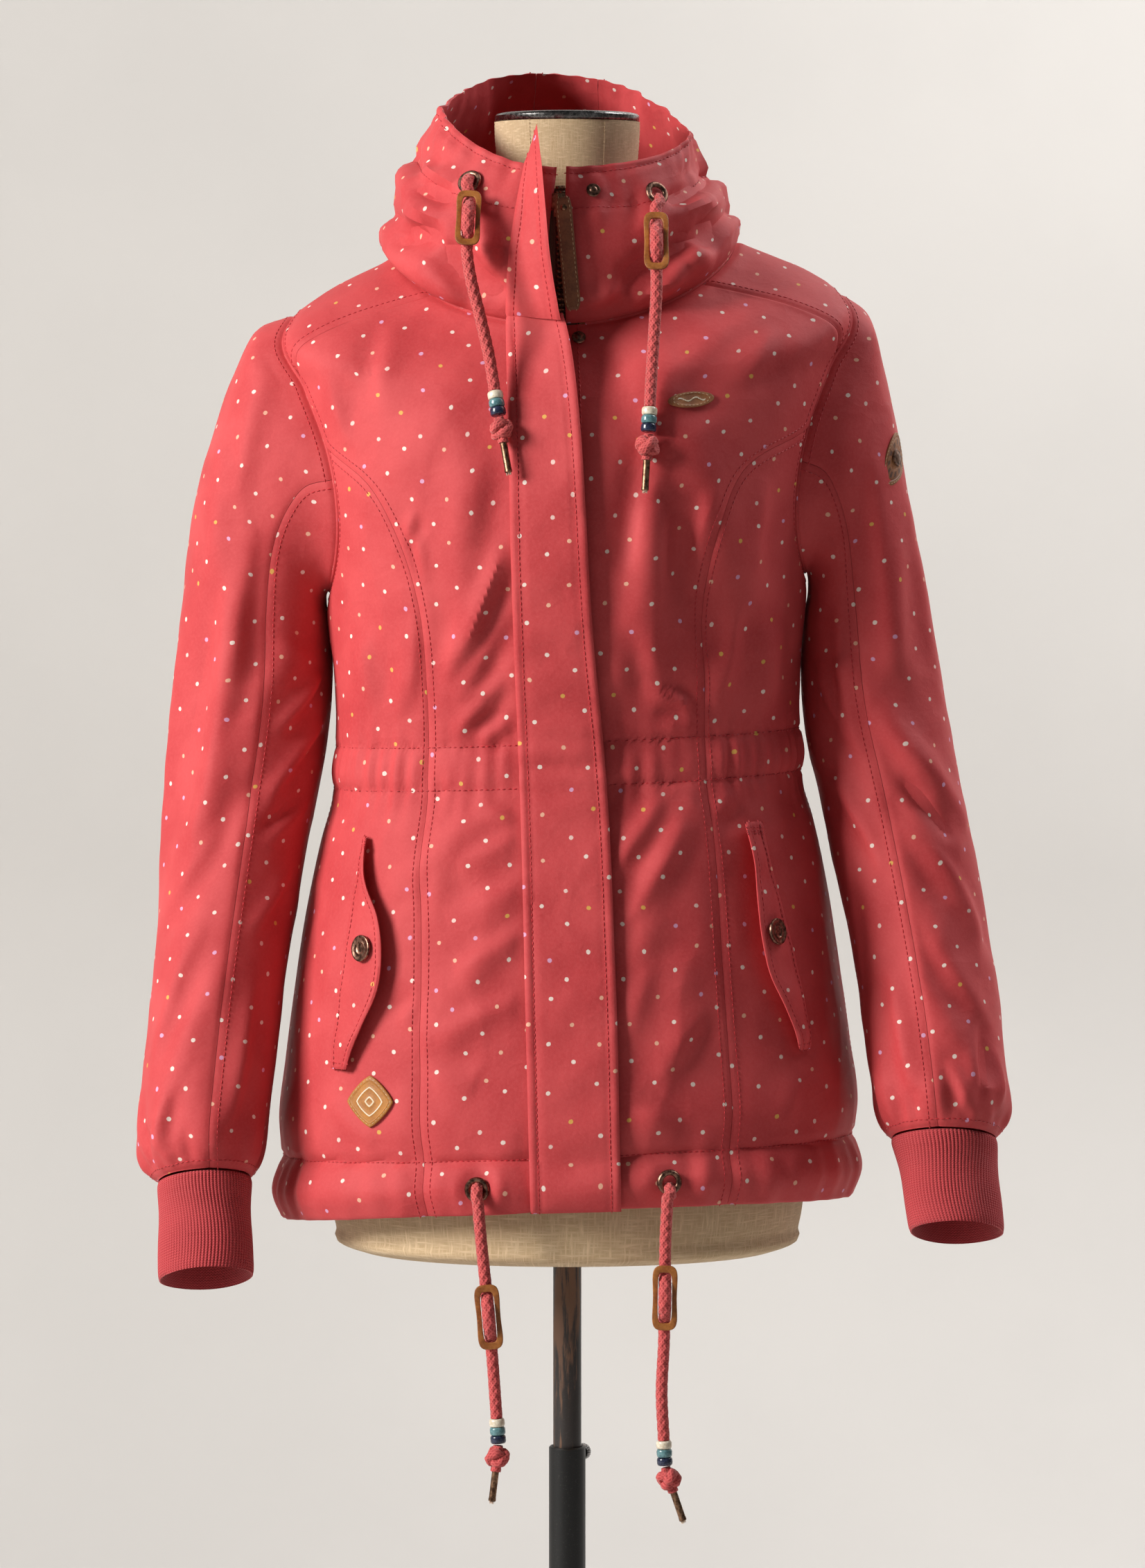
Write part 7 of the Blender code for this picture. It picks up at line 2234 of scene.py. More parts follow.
# ---------------------------------------------------------------- closure, pockets and trims
def front_place(x: Array, level: Array, on_hood: bool) -> tuple[Array, Array]:
    """A place on the front of the body or of the hood by its x, and the direction out."""
    table, face = (HOOD, hood_face) if on_hood else (BODY, body_face)
    theta = angle_at_x(table, x, level)
    return face(theta, level), face_normal(face, theta, level, 0.01, 0.05 if on_hood else 0.003)


def closure_places(count: int, low: float = HEM, high: float = HOOD_SECTIONS) -> list[tuple[float, bool]]:
    """Levels up the closure, close together: those of the fronts, then those of the hood."""
    body = [(float(level), False) for level in np.linspace(low, NECK, count)]
    return body + [(float(level), True) for level in np.linspace(0, high, count // 8)[1:]]


def evened(rows: Array, reach: int) -> Array:
    """Points or directions evened out along their rows, over this many rows each way, but at the ends."""
    weights = np.exp(-(np.linspace(-2.0, 2.0, 2 * reach + 1) ** 2))
    padded = np.pad(rows, ((0, 0), (reach, reach), (0, 0)), mode="edge")
    total = sum(weight * padded[:, k:k + rows.shape[1]] for k, weight in enumerate(weights / weights.sum()))
    order = np.arange(rows.shape[1])
    inside = np.clip(np.minimum(order, order[::-1]) / (2.0 * reach), 0, 1)
    return rows + inside[None, :, None] * (total - rows)


def over(points: Array, normal: Array, low: Array, high: Array, name: str,
         flat_from: Array | None = None) -> Skin:
    """A skin that lies over a face, between two distances from it."""
    outer = hang(points + normal * high[..., None])
    inner = hang(points + normal * low[..., None])[::2, ::2]
    return Skin(name, outer, inner, flattened(points if flat_from is None else flat_from), normal)


@dataclass
class Closure:
    """The storm flap over the zip, the zip tape with its teeth, the slider and its leather pull."""

    shop: Workshop
    fold: float = 0.0072
    edge_stitch: float = 0.0075
    tooth_pitch: float = 0.0042
    lines: list[tuple[Array, Array]] = field(default_factory=list)

    def flap(self) -> None:
        """The flap: sewn along one edge with a narrow folded strip, free along the other."""
        rows = closure_places(210)
        if len(rows) % 2 == 0:
            rows.pop(1)
        part = shares(20, 0.062)
        base, normals, lift = [], [], []
        for level, on_hood in rows:
            middle, _ = front_place(np.array([closure_x(NECK)]), np.array([level]), on_hood)
            height = middle[0, 2]
            x = (1 - part) * FLAP.at("sewn_x", height) + part * FLAP.at("free_x", height)
            points, normal = front_place(x, np.full(x.shape, level), on_hood)
            points[:, 2] += part * FLAP.at("rise", height)
            base.append(points)
            normals.append(normal)
            lift.append(FLAP_CLEAR + part**FLAP_LIFT_POWER * FLAP.at("lift", height))
        base = np.array(base).swapaxes(0, 1)
        normal = np.array(normals).swapaxes(0, 1)
        base, normal = evened(base, 20), evened(normal, 20)
        normal = normal / np.linalg.norm(normal, axis=-1, keepdims=True)
        low = np.array(lift).T
        width = np.linalg.norm(base[-1] - base[0], axis=-1)[None, :]
        run = part[:, None] * width
        up = np.linalg.norm(np.diff(base[0], axis=0), axis=-1)
        along = np.concatenate([[0.0], np.cumsum(up)])[None, :]
        relief = 0.9 * cloth_relief(base)
        pull = 0.0010 * np.sin(2 * math.pi * along / 0.047 + 2.0 * SWELL.at(base))
        relief = relief + pull * np.sin(math.pi * part)[:, None]
        waist = band(base[..., 2], WAIST_MID, 0.030)
        relief = relief + 0.0010 * waist * np.sin(2 * math.pi * along / 0.021)
        strip = -0.0011 * np.exp(-(((run - self.fold) / 0.0016) ** 2))
        seam = -0.0008 * np.exp(-(((run - width + self.edge_stitch) / 0.0016) ** 2))
        roll = 0.0013 * (np.exp(-((run / 0.0012) ** 2)) + np.exp(-(((width - run) / 0.0012) ** 2)))
        ends = np.minimum(along, along[0, -1] - along)
        roll = roll + 0.0012 * np.exp(-((ends / 0.0012) ** 2))
        fade = 1 - np.exp(-((ends / 0.006) ** 2))
        high = low + FLAP_THICK + (relief * fade * 0.8 + strip + seam) - roll
        low = low + 0.5 * relief * fade * np.clip(part[:, None] * 4, 0, 1) + 0.6 * roll
        skin = over(base, normal, np.maximum(low, 0.0006), high, "storm_flap")
        piece = skin_mesh(skin, is_inside_out(skin))
        self.shop.dress(piece, self.shop.finishes.cloth, "cloth", ("storm_flap",))
        width, length, area = cut_of(skin.flat, skin.outer)
        self.lines.append(skin.inset("first", self.fold))
        self.lines.append(skin.inset("last", self.edge_stitch))

    def tape(self) -> None:
        """Both halves of the tape, on its solid, and the metal teeth between them."""
        rows = [(level, on_hood) for level, on_hood in closure_places(150, TAPE_FROM, HOOD_SECTIONS - 1)]
        if len(rows) % 2 == 0:
            rows.pop(1)
        halves, teeth = [], []
        for side in Side:
            across = side.value * np.array([0.0, 0.0009, 0.0022, 0.0036, 0.0070, 0.0104, TAPE_HALF])
            base, normals, spine, ways = [], [], [], []
            for level, on_hood in rows:
                centre = closure_x(NECK if on_hood else level)
                points, normal = front_place(centre + across, np.full(across.shape, level), on_hood)
                base.append(points)
                normals.append(normal)
                spine.append(points[0] + 0.0014 * side.value * np.array([1.0, 0.0, 0.0]))
                ways.append(normal[0])
            base = np.array(base).swapaxes(0, 1)
            normal = np.array(normals).swapaxes(0, 1)
            high = np.full(base.shape[:2], -WALL - TAPE_DEPTH)
            high = high + 0.0008 * np.exp(-(((np.abs(across) - 0.0022) / 0.0011) ** 2))[:, None]
            halves.append(over(base, normal, high - TAPE_THICK, high, f"zip_tape_{side.word}"))
            depth = -WALL - TAPE_DEPTH + 0.0012
            teeth.append((hang(np.array(spine) + np.array(ways) * depth), np.array(ways)))
        for skin in halves:
            piece = skin_mesh(skin, is_inside_out(skin))
            self.shop.dress(piece, self.shop.finishes.tape, "tape", ("zip_tape",))
            width, length, area = cut_of(skin.flat, skin.outer)
        comb = Repeater("teeth_along_a_tape", self.tooth_pitch, (0.0022, 0.0040, 0.0017),
                        self.shop.finishes.bronze, False)
        self.shop.dress(comb.along("zip_teeth", teeth), None, "zip_metal")

    def slider(self) -> None:
        """The slider's body: two rounded wings, a bridge on top and the pull's eye."""
        x, level = SLIDER
        point, normal = front_place(np.array([x]), np.array([level]), True)
        place = frame_at(hang(point[0]), normal[0]) @ Matrix.Translation((0, 0, SLIDER_LIFT))
        width, length, height = SLIDER_SIZE
        bm = bmesh.new()
        box_mesh(bm, (width, length * 0.62, height * 0.42),
                 place @ Matrix.Translation((0, length * 0.16, height * 0.24)),
                 0.0006)
        box_mesh(bm, (width * 0.72, length * 0.5, height * 0.42),
                 place @ Matrix.Translation((0, -length * 0.20, height * 0.25)), 0.0006)
        box_mesh(bm, (width * 0.34, length * 0.80, height * 0.34),
                 place @ Matrix.Translation((0, 0, height * 0.72)),
                 0.0005)
        for end in (-1, 1):
            box_mesh(bm, (width * 0.34, length * 0.12, height * 0.60),
                     place @ Matrix.Translation((0, end * length * 0.36, height * 0.56)), 0.0004)
        self.from_bmesh("zip_slider_dressed", bm, self.shop.finishes.bronze, "zip_metal", ("zip_slider",),
                        Body.FIGURE)

    def from_bmesh(self, name: str, bm: bmesh.types.BMesh, material: bpy.types.Material, slot: str,
                   nodes: Sequence[str], body: Body) -> bpy.types.Object:
        """Turn a bmesh into a dressed piece."""
        data = bpy.data.meshes.new(name)
        bmesh.ops.recalc_face_normals(bm, faces=bm.faces)
        bm.to_mesh(data)
        bm.free()
        data.shade_smooth()
        data.set_sharp_from_angle(angle=math.radians(35))
        item = bpy.data.objects.new(name, data)
        bpy.context.scene.collection.objects.link(item)
        return self.shop.dress(item, material, slot, nodes, body)

    def pull(self) -> None:
        """The leather strap on the slider: crowned, stitched along its edges, with a rivet."""
        width, thick, length = PULL_SIZE
        place = Matrix.Translation(PULL_HINGE) @ Matrix.Rotation(-PULL_LEAN, 4, "Y")
        matrix = np.array(place)
        along = shares(56, length)
        across = np.array([-1.0, -0.93, -0.80, -0.66, -0.52, -0.3, -0.1, 0.1, 0.3, 0.52, 0.66, 0.80, 0.93,
                           1.0])
        across = np.insert(across, 7, 0.0)
        u, v = np.meshgrid(across, along, indexing="ij")
        nose = np.clip((v - 0.90) / 0.10, 0, 1)
        taper = (1 - 0.34 * nose**2) * (1 - 0.22 * np.clip(1 - v / 0.10, 0, 1) ** 2)
        x = u * width / 2 * taper
        z = PULL_ABOVE - v * length
        ends = np.minimum(v, 1 - v) * length
        side = (1 - np.abs(u)) * width / 2
        round_off = 0.00055 * (np.exp(-((side / 0.0006) ** 2)) + np.exp(-((ends / 0.0006) ** 2)))
        groove = 0.00016 * np.exp(-(((side - 0.0016) / 0.0004) ** 2))
        bow = 0.0002 * np.sin(v * 9.0) * np.sin(math.pi * v)
        front = -thick / 2 + round_off + groove + bow
        back = thick / 2 - round_off + bow
        outer = np.stack([x, front, z], -1)
        inner = np.stack([x, back, z], -1)[::2, ::2]
        outer = outer @ matrix[:3, :3].T + matrix[:3, 3]
        inner = inner @ matrix[:3, :3].T + matrix[:3, 3]
        way = np.broadcast_to(matrix[:3, :3] @ np.array([0.0, -1.0, 0.0]), outer.shape)
        skin = Skin("pull_strap", outer, inner, np.stack([x, z], -1), way)
        piece = skin_mesh(skin, is_inside_out(skin))
        self.shop.dress(piece, self.shop.finishes.strap, "leather", ("zip_pull",), Body.PULL)
        lines = [skin.inset(edge, 0.0016) for edge in ("first", "last")]
        sewing = Repeater("stitches_along_the_strap", 0.0034, (0.0023, 0.0005, 0.00042),
                          self.shop.finishes.tan_stitch)
        self.shop.dress(sewing.along("pull_stitches", lines), None, "leather", (), Body.PULL)
        dome = ((0.0, 0.0011), (0.0013, 0.0009), (0.0023, 0.0003), (0.0025, -0.0001), (0.0, -0.0001))
        rivet = place @ Matrix.Translation((0, -thick / 2, PULL_ABOVE - 0.0075))
        rivet = rivet @ Matrix.Rotation(RIGHT_ANGLE, 4, "X")
        self.shop.dress(lathe("pull_rivet", dome, rivet, 24), self.shop.finishes.bronze, "zip_metal", (),
                        Body.PULL)

    def build(self) -> None:
        """Make the whole closure."""
        self.flap()
        self.tape()
        self.slider()
        self.pull()


@dataclass
class Pockets:
    """The slanting pocket flaps with their snaps."""

    shop: Workshop
    stitch: float = 0.0050
    lines: list[tuple[Array, Array]] = field(default_factory=list)

    def place(self, side: Side, part: Array, z: Array) -> tuple[Array, Array, Array]:
        """Places of a pocket flap over the side front, and how far it stands off there."""
        x = (1 - part) * POCKET.at(f"hinge_{side.word}", z) + part * POCKET.at(f"free_{side.word}", z)
        points, normal = front_place(x * side.value, z + 0 * part, False)
        return points, normal, POCKET_CLEAR + part * POCKET.at("lift", z)

    def build(self) -> None:
        """Make both flaps and their snaps."""
        for side in Side:
            low_z, high_z = POCKET_ROWS[-1][0], POCKET_ROWS[0][0]
            z = (low_z + (high_z - low_z) * shares(60, high_z - low_z))[None, :]
            part = shares(16, 0.030)[:, None]
            part, z = np.broadcast_arrays(part, z)
            points, normal, low = self.place(side, part, z)
            width = np.linalg.norm(points[-1] - points[0], axis=-1)[None, :]
            run = part * width
            ends = np.minimum(z - low_z, high_z - z)
            roll = 0.0013 * (np.exp(-((run / 0.0010) ** 2)) + np.exp(-(((width - run) / 0.0012) ** 2))
                             + np.exp(-((ends / 0.0012) ** 2)))
            relief = 0.8 * cloth_relief(points) + 0.0007 * np.sin(2 * math.pi * z / 0.034 + side.value)
            fade = 1 - np.exp(-((ends / 0.006) ** 2))
            seam = -0.0009 * np.exp(-(((run - self.stitch) / 0.0015) ** 2))
            seam = seam - 0.0007 * np.exp(-(((width - run - self.stitch) / 0.0015) ** 2))
            high = low + POCKET_THICK + relief * fade * np.sin(math.pi * part) + seam - roll
            skin = over(points, normal, np.maximum(low + 0.5 * roll, 0.0006), high,
                        f"pocket_flap_{side.word}")
            piece = skin_mesh(skin, is_inside_out(skin))
            self.shop.dress(piece, self.shop.finishes.cloth, "cloth", (skin.name,))
            flat_width, length, area = cut_of(skin.flat, skin.outer)
            for edge in ("first", "last", "low", "high"):
                self.lines.append(skin.inset(edge, self.stitch))
            for step in (0.0, 0.0014, 0.0028):
                self.lines.append(skin.inset("high", 0.0075 + step))
            self.snap(side)

    def snap(self, side: Side) -> None:
        """The snap's cap: a domed disc with a rolled rim and a dished middle."""
        height, share = POCKET_SNAP

        def face(part: Array, z: Array) -> Array:
            """The flap's outer face."""
            points, normal, off = self.place(side, part, z)
            return points + normal * (off[..., None] + POCKET_THICK)
        part, z = np.array([share]), np.array([height])
        out = face_normal(face, part, z, 0.15, 0.008)[0]
        out = out if out[1] < 0 else -out
        place = frame_at(hang(face(part, z)[0]), out) @ Matrix.Translation((0, 0, SNAP_CLEAR))
        name = f"snap_pocket_{side.word}"
        piece = lathe(name, cap_profile(SNAP_RADIUS, SNAP_HEIGHT), place, 48)
        self.shop.dress(piece, self.shop.finishes.copper, "copper", (name,))


def cap_profile(radius: float, height: float) -> list[tuple[float, float]]:
    """Profile of a snap's cap: dished middle, ring and rolled rim."""
    rows = ((0.0, 0.70), (0.30, 0.70), (0.40, 0.74), (0.46, 0.86), (0.56, 0.80), (0.70, 0.82), (0.82, 0.95),
            (0.90, 1.0), (0.97, 0.90), (1.0, 0.66), (0.995, 0.36), (0.94, 0.12), (0.86, 0.0), (0.0, 0.0))
    return [(share * radius, up * height) for share, up in rows]


@dataclass
class Fastenings:
    """Snap studs on the right front and the eyelets that the cords leave by."""

    shop: Workshop

    def build(self) -> None:
        """Make the studs and eyelets."""
        for name, (x, level, where) in STUDS.items():
            point, normal = front_place(np.array([x]), np.array([level]), where == "hood")
            place = frame_at(hang(point[0]), normal[0]) @ Matrix.Translation((0, 0, STUD_CLEAR))
            rows = ((0.0, 0.90), (0.26, 0.88), (0.40, 0.80), (0.50, 0.62), (0.60, 0.56), (0.80, 0.60),
                    (0.92, 0.56),
                    (1.0, 0.36), (0.97, 0.12), (0.88, 0.0), (0.0, 0.0))
            profile = [(share * STUD_RADIUS, up * STUD_HEIGHT) for share, up in rows]
            self.shop.dress(lathe(name, profile, place, 40), self.shop.finishes.copper, "copper", (name,))
        for name, (x, level, where) in EYELETS.items():
            point, normal = front_place(np.array([x]), np.array([level]), where == "hood")
            raised = Matrix.Translation((0, 0, 0.0012 + EYELET_WIRE * EYELET_FLAT))
            place = frame_at(hang(point[0]), normal[0]) @ raised
            inner, outer, tall = EYELET_RADIUS - EYELET_WIRE, EYELET_RADIUS + EYELET_WIRE, EYELET_WIRE * EYELET_FLAT
            profile = ((inner, 0.0), (inner, -tall * 0.7), (inner + 0.0003, -tall), (outer - 0.0004, -tall),
                       (outer, -tall * 0.5), (outer - 0.0002, tall * 0.2), (outer - 0.0011, tall * 0.9),
                       (EYELET_RADIUS, tall), (inner + 0.0010, tall * 0.85), (inner + 0.0003, tall * 0.45))
            piece = lathe(name, profile[::-1], place, 48, closed=True)
            self.shop.dress(piece, self.shop.finishes.copper, "copper", (name,))


@dataclass
class Patches:
    """Three leather patches with generic marks of the builder's own.

    Attributes:
        rings: Steps from the middle of a patch to its edge.
        spokes: Steps round it.
    """

    shop: Workshop
    rings: int = 22
    spokes: int = 96

    def shape(self, angle: Array, half_width: float, half_height: float, power: float) -> Array:
        """Outline of a squared oval or rounded diamond."""
        x = half_width * np.sign(np.cos(angle)) * np.abs(np.cos(angle)) ** (2 / power)
        y = half_height * np.sign(np.sin(angle)) * np.abs(np.sin(angle)) ** (2 / power)
        return np.stack([x, y], -1)

    def sheet(self, name: str, place: Callable[[Array, Array], tuple[Array, Array]], size: Sequence[float],
              relief: Callable[[Array, Array, Array], Array], mark: Callable[[Array, Array, Array], Array],
              marking: bpy.types.Material, leather: bpy.types.Material) -> None:
        """A patch that lies on the cloth.

        Args:
            name: The node's name.
            place: Points and directions on the cloth, from two distances.
            size: Half width, half height and power of its outline.
            relief: Height of its face at x, y and share of the way to the edge.
            mark: Whether a place has the marking's colour.
            marking: The marking's material.
            leather: The patch's own.
        """
        angle = np.arange(self.spokes) * 2 * math.pi / self.spokes
        edge = self.shape(angle, *size)
        reach = 1 - np.linspace(1, 0, self.rings + 1)[1:] ** 1.6
        reach = np.append(reach[:-1], [0.985, 1.0])
        share = np.sort(np.unique(reach))
        spots = np.concatenate([np.zeros((1, 2)), (share[:, None, None] * edge[None]).reshape(-1, 2)])
        shares_of = np.concatenate([[0.0], np.repeat(share, self.spokes)])
        points, normal = place(spots[:, 0], spots[:, 1])
        lift = relief(spots[:, 0], spots[:, 1], shares_of)
        round_off = 0.0006 * np.clip((shares_of - 0.95) / 0.05, 0, 1) ** 2
        top = points + normal * (PATCH_CLEAR + PATCH_THICK + lift - round_off)[:, None]
        low = points + normal * (PATCH_CLEAR + 0.5 * round_off)[:, None]
        total = len(spots)
        faces = []
        for k in range(self.spokes):
            after = (k + 1) % self.spokes
            faces.append((0, 1 + k, 1 + after))
            for row in range(len(share) - 1):
                here = 1 + row * self.spokes
                faces.append((here + k, here + self.spokes + k, here + self.spokes + after, here + after))
        faces += [tuple(total + point for point in reversed(face)) for face in faces]
        last = 1 + (len(share) - 1) * self.spokes
        for k in range(self.spokes):
            after = (k + 1) % self.spokes
            faces.append((last + k, total + last + k, total + last + after, last + after))
        grid = hang(np.concatenate([top, low]))
        way = np.cross(grid[1] - grid[0], grid[1 + self.spokes // 4] - grid[0])
        if np.dot(way, top[0] - low[0]) < 0:
            faces = [face[::-1] for face in faces]
        piece = to_mesh(name, grid, faces, np.concatenate([spots, spots]), 50)
        self.shop.dress(piece, leather, "leather", (name,))
        piece.data.materials.append(marking)
        for face in piece.data.polygons:
            centre = np.mean([spots[i % total] for i in face.vertices], axis=0)
            how_far = float(np.mean([shares_of[i % total] for i in face.vertices]))
            if min(face.vertices) < total and bool(mark(centre[0], centre[1], how_far)):
                face.material_index = 1
        self.sew(name, place, size, relief)

    def sew(self, name: str, place: Callable[[Array, Array], tuple[Array, Array]], size: Sequence[float],
            relief: Callable[[Array, Array, Array], Array]) -> None:
        """Stitches round the edge of a patch."""
        angle = np.linspace(0, 2 * math.pi, 200)
        inset = 1 - 0.0017 / min(size[:2])
        line = self.shape(angle, *size) * inset
        points, normal = place(line[:, 0], line[:, 1])
        lift = relief(line[:, 0], line[:, 1], np.full(len(line), inset))
        stitches = hang(points + normal * (PATCH_CLEAR + PATCH_THICK + lift + 0.0001)[:, None])
        sewing = Repeater(f"stitches_round_{name}", 0.0030, (0.0020, 0.0005, 0.0004),
                          self.shop.finishes.tan_stitch)
        self.shop.dress(sewing.along(f"{name}_stitches", [(stitches, normal)]), None, "leather")

    def build(self) -> None:
        """Make the three patches."""
        finishes = self.shop.finishes

        def on_front(x: float, level: float) -> Callable[[Array, Array], tuple[Array, Array]]:
            """Places about a spot on the coat's front."""
            return lambda across, up: front_place(x + across, level + up, False)

        def on_sleeve(across: Array, up: Array) -> tuple[Array, Array]:
            """Places about the round patch's spot on the left sleeve."""
            turn = math.radians(ROUND_PATCH[0]) + across / SLEEVE_RADIUS
            station = ROUND_PATCH[1] - up / SLEEVE_STEP

            def face(first: Array, second: Array) -> Array:
                """The left sleeve's face."""
                return sleeve_face(Side.LEFT, first, second)
            return face(turn, station), face_normal(face, turn, station, 0.02, 0.05)

        def oval_relief(x: Array, y: Array, share: Array) -> Array:
            """A sunk oval field with a raised wave in it."""
            field_at = 1 / (1 + np.exp((share - 0.66) * 60))
            return -0.0004 * field_at + 0.0003 * field_at * (np.abs(y - 0.0016 * np.sin(x * 520)) < 0.0007)

        def oval_mark(x: float, y: float, share: float) -> bool:
            """The pale wave."""
            return share < 0.62 and abs(y - 0.0016 * math.sin(x * 520)) < 0.0007

        def diamond_relief(x: Array, y: Array, share: Array) -> Array:
            """Light raised lozenges one in another."""
            return 0.0003 * (np.abs(np.mod(share * 2.8, 1) - 0.5) < 0.15) * (share < 0.84)

        def diamond_mark(x: float, y: float, share: float) -> bool:
            """Thin lozenge rings, one in another."""
            return share < 0.84 and (abs((share * 2.8) % 1 - 0.5) < 0.13)

        def round_relief(x: Array, y: Array, share: Array) -> Array:
            """Two pressed rings."""
            return -0.0005 * (np.exp(-(((share - 0.80) / 0.025) ** 2))
                              + np.exp(-(((share - 0.40) / 0.03) ** 2)))

        def round_mark(x: float, y: float, share: float) -> bool:
            """Short dark strokes between the rings."""
            return 0.50 < share < 0.70 and math.cos(12 * math.atan2(y, x)) > 0.35
        self.sheet("patch_chest", on_front(*OVAL_PATCH[:2]), (*OVAL_PATCH[2:], 2.0), oval_relief, oval_mark,
                   finishes.patch_light, finishes.patch)
        self.sheet("patch_hem", on_front(*DIAMOND_PATCH[:2]), (*DIAMOND_PATCH[2:], 1.25), diamond_relief,
                   diamond_mark, finishes.patch_light, finishes.golden)
        self.sheet("patch_sleeve", on_sleeve, (ROUND_PATCH[2], ROUND_PATCH[2], 2.0), round_relief, round_mark,
                   finishes.patch_mark, finishes.patch)
        point, normal = on_sleeve(np.zeros(1), np.zeros(1))
        place = frame_at(hang(point[0] + normal[0] * (PATCH_CLEAR + PATCH_THICK - 0.0004)), normal[0])
        profile = [(share * 0.0062, up * 0.0022) for share, up in
                   ((0.0, 1.0), (0.35, 0.96), (0.62, 0.80), (0.80, 0.62), (0.94, 0.66), (1.0, 0.40),
                    (1.0, 0.0),
                    (0.0, 0.0))]
        self.shop.dress(lathe("patch_sleeve_stud", profile, place, 36), finishes.copper, "copper")


# ---------------------------------------------------------------- drawcords
def cord_rise(distance: Array) -> Array:
    """How far a cord comes forward at a distance from the middle of its toggle: two arcs each way."""
    half = CORD_RISE_HALF / 2
    radius = (half**2 + (CORD_RISE / 2) ** 2) / CORD_RISE
    off = np.abs(distance)
    near = CORD_RISE - radius + np.sqrt(np.maximum(radius**2 - off**2, 0.0))
    far = radius - np.sqrt(np.maximum(radius**2 - (CORD_RISE_HALF - off) ** 2, 0.0))
    return np.where(off < half, near, np.where(off < CORD_RISE_HALF, far, 0.0))


def hang_on(point: Vector, way: Sequence[float]) -> Matrix:
    """Matrix for a turned piece that hangs at a point in this direction."""
    place = (-Vector(way)).to_track_quat("Z", "Y").to_matrix().to_4x4()
    place.translation = Vector(point)
    return place


def squared_oval(half_width: float, half_length: float, power: float, count: int) -> Array:
    """Points of a squared oval, x and y."""
    angle = np.arange(count) * 2 * math.pi / count
    x = half_width * np.sign(np.cos(angle)) * np.abs(np.cos(angle)) ** (2 / power)
    y = half_length * np.sign(np.sin(angle)) * np.abs(np.sin(angle)) ** (2 / power)
    return np.stack([x, y], -1)


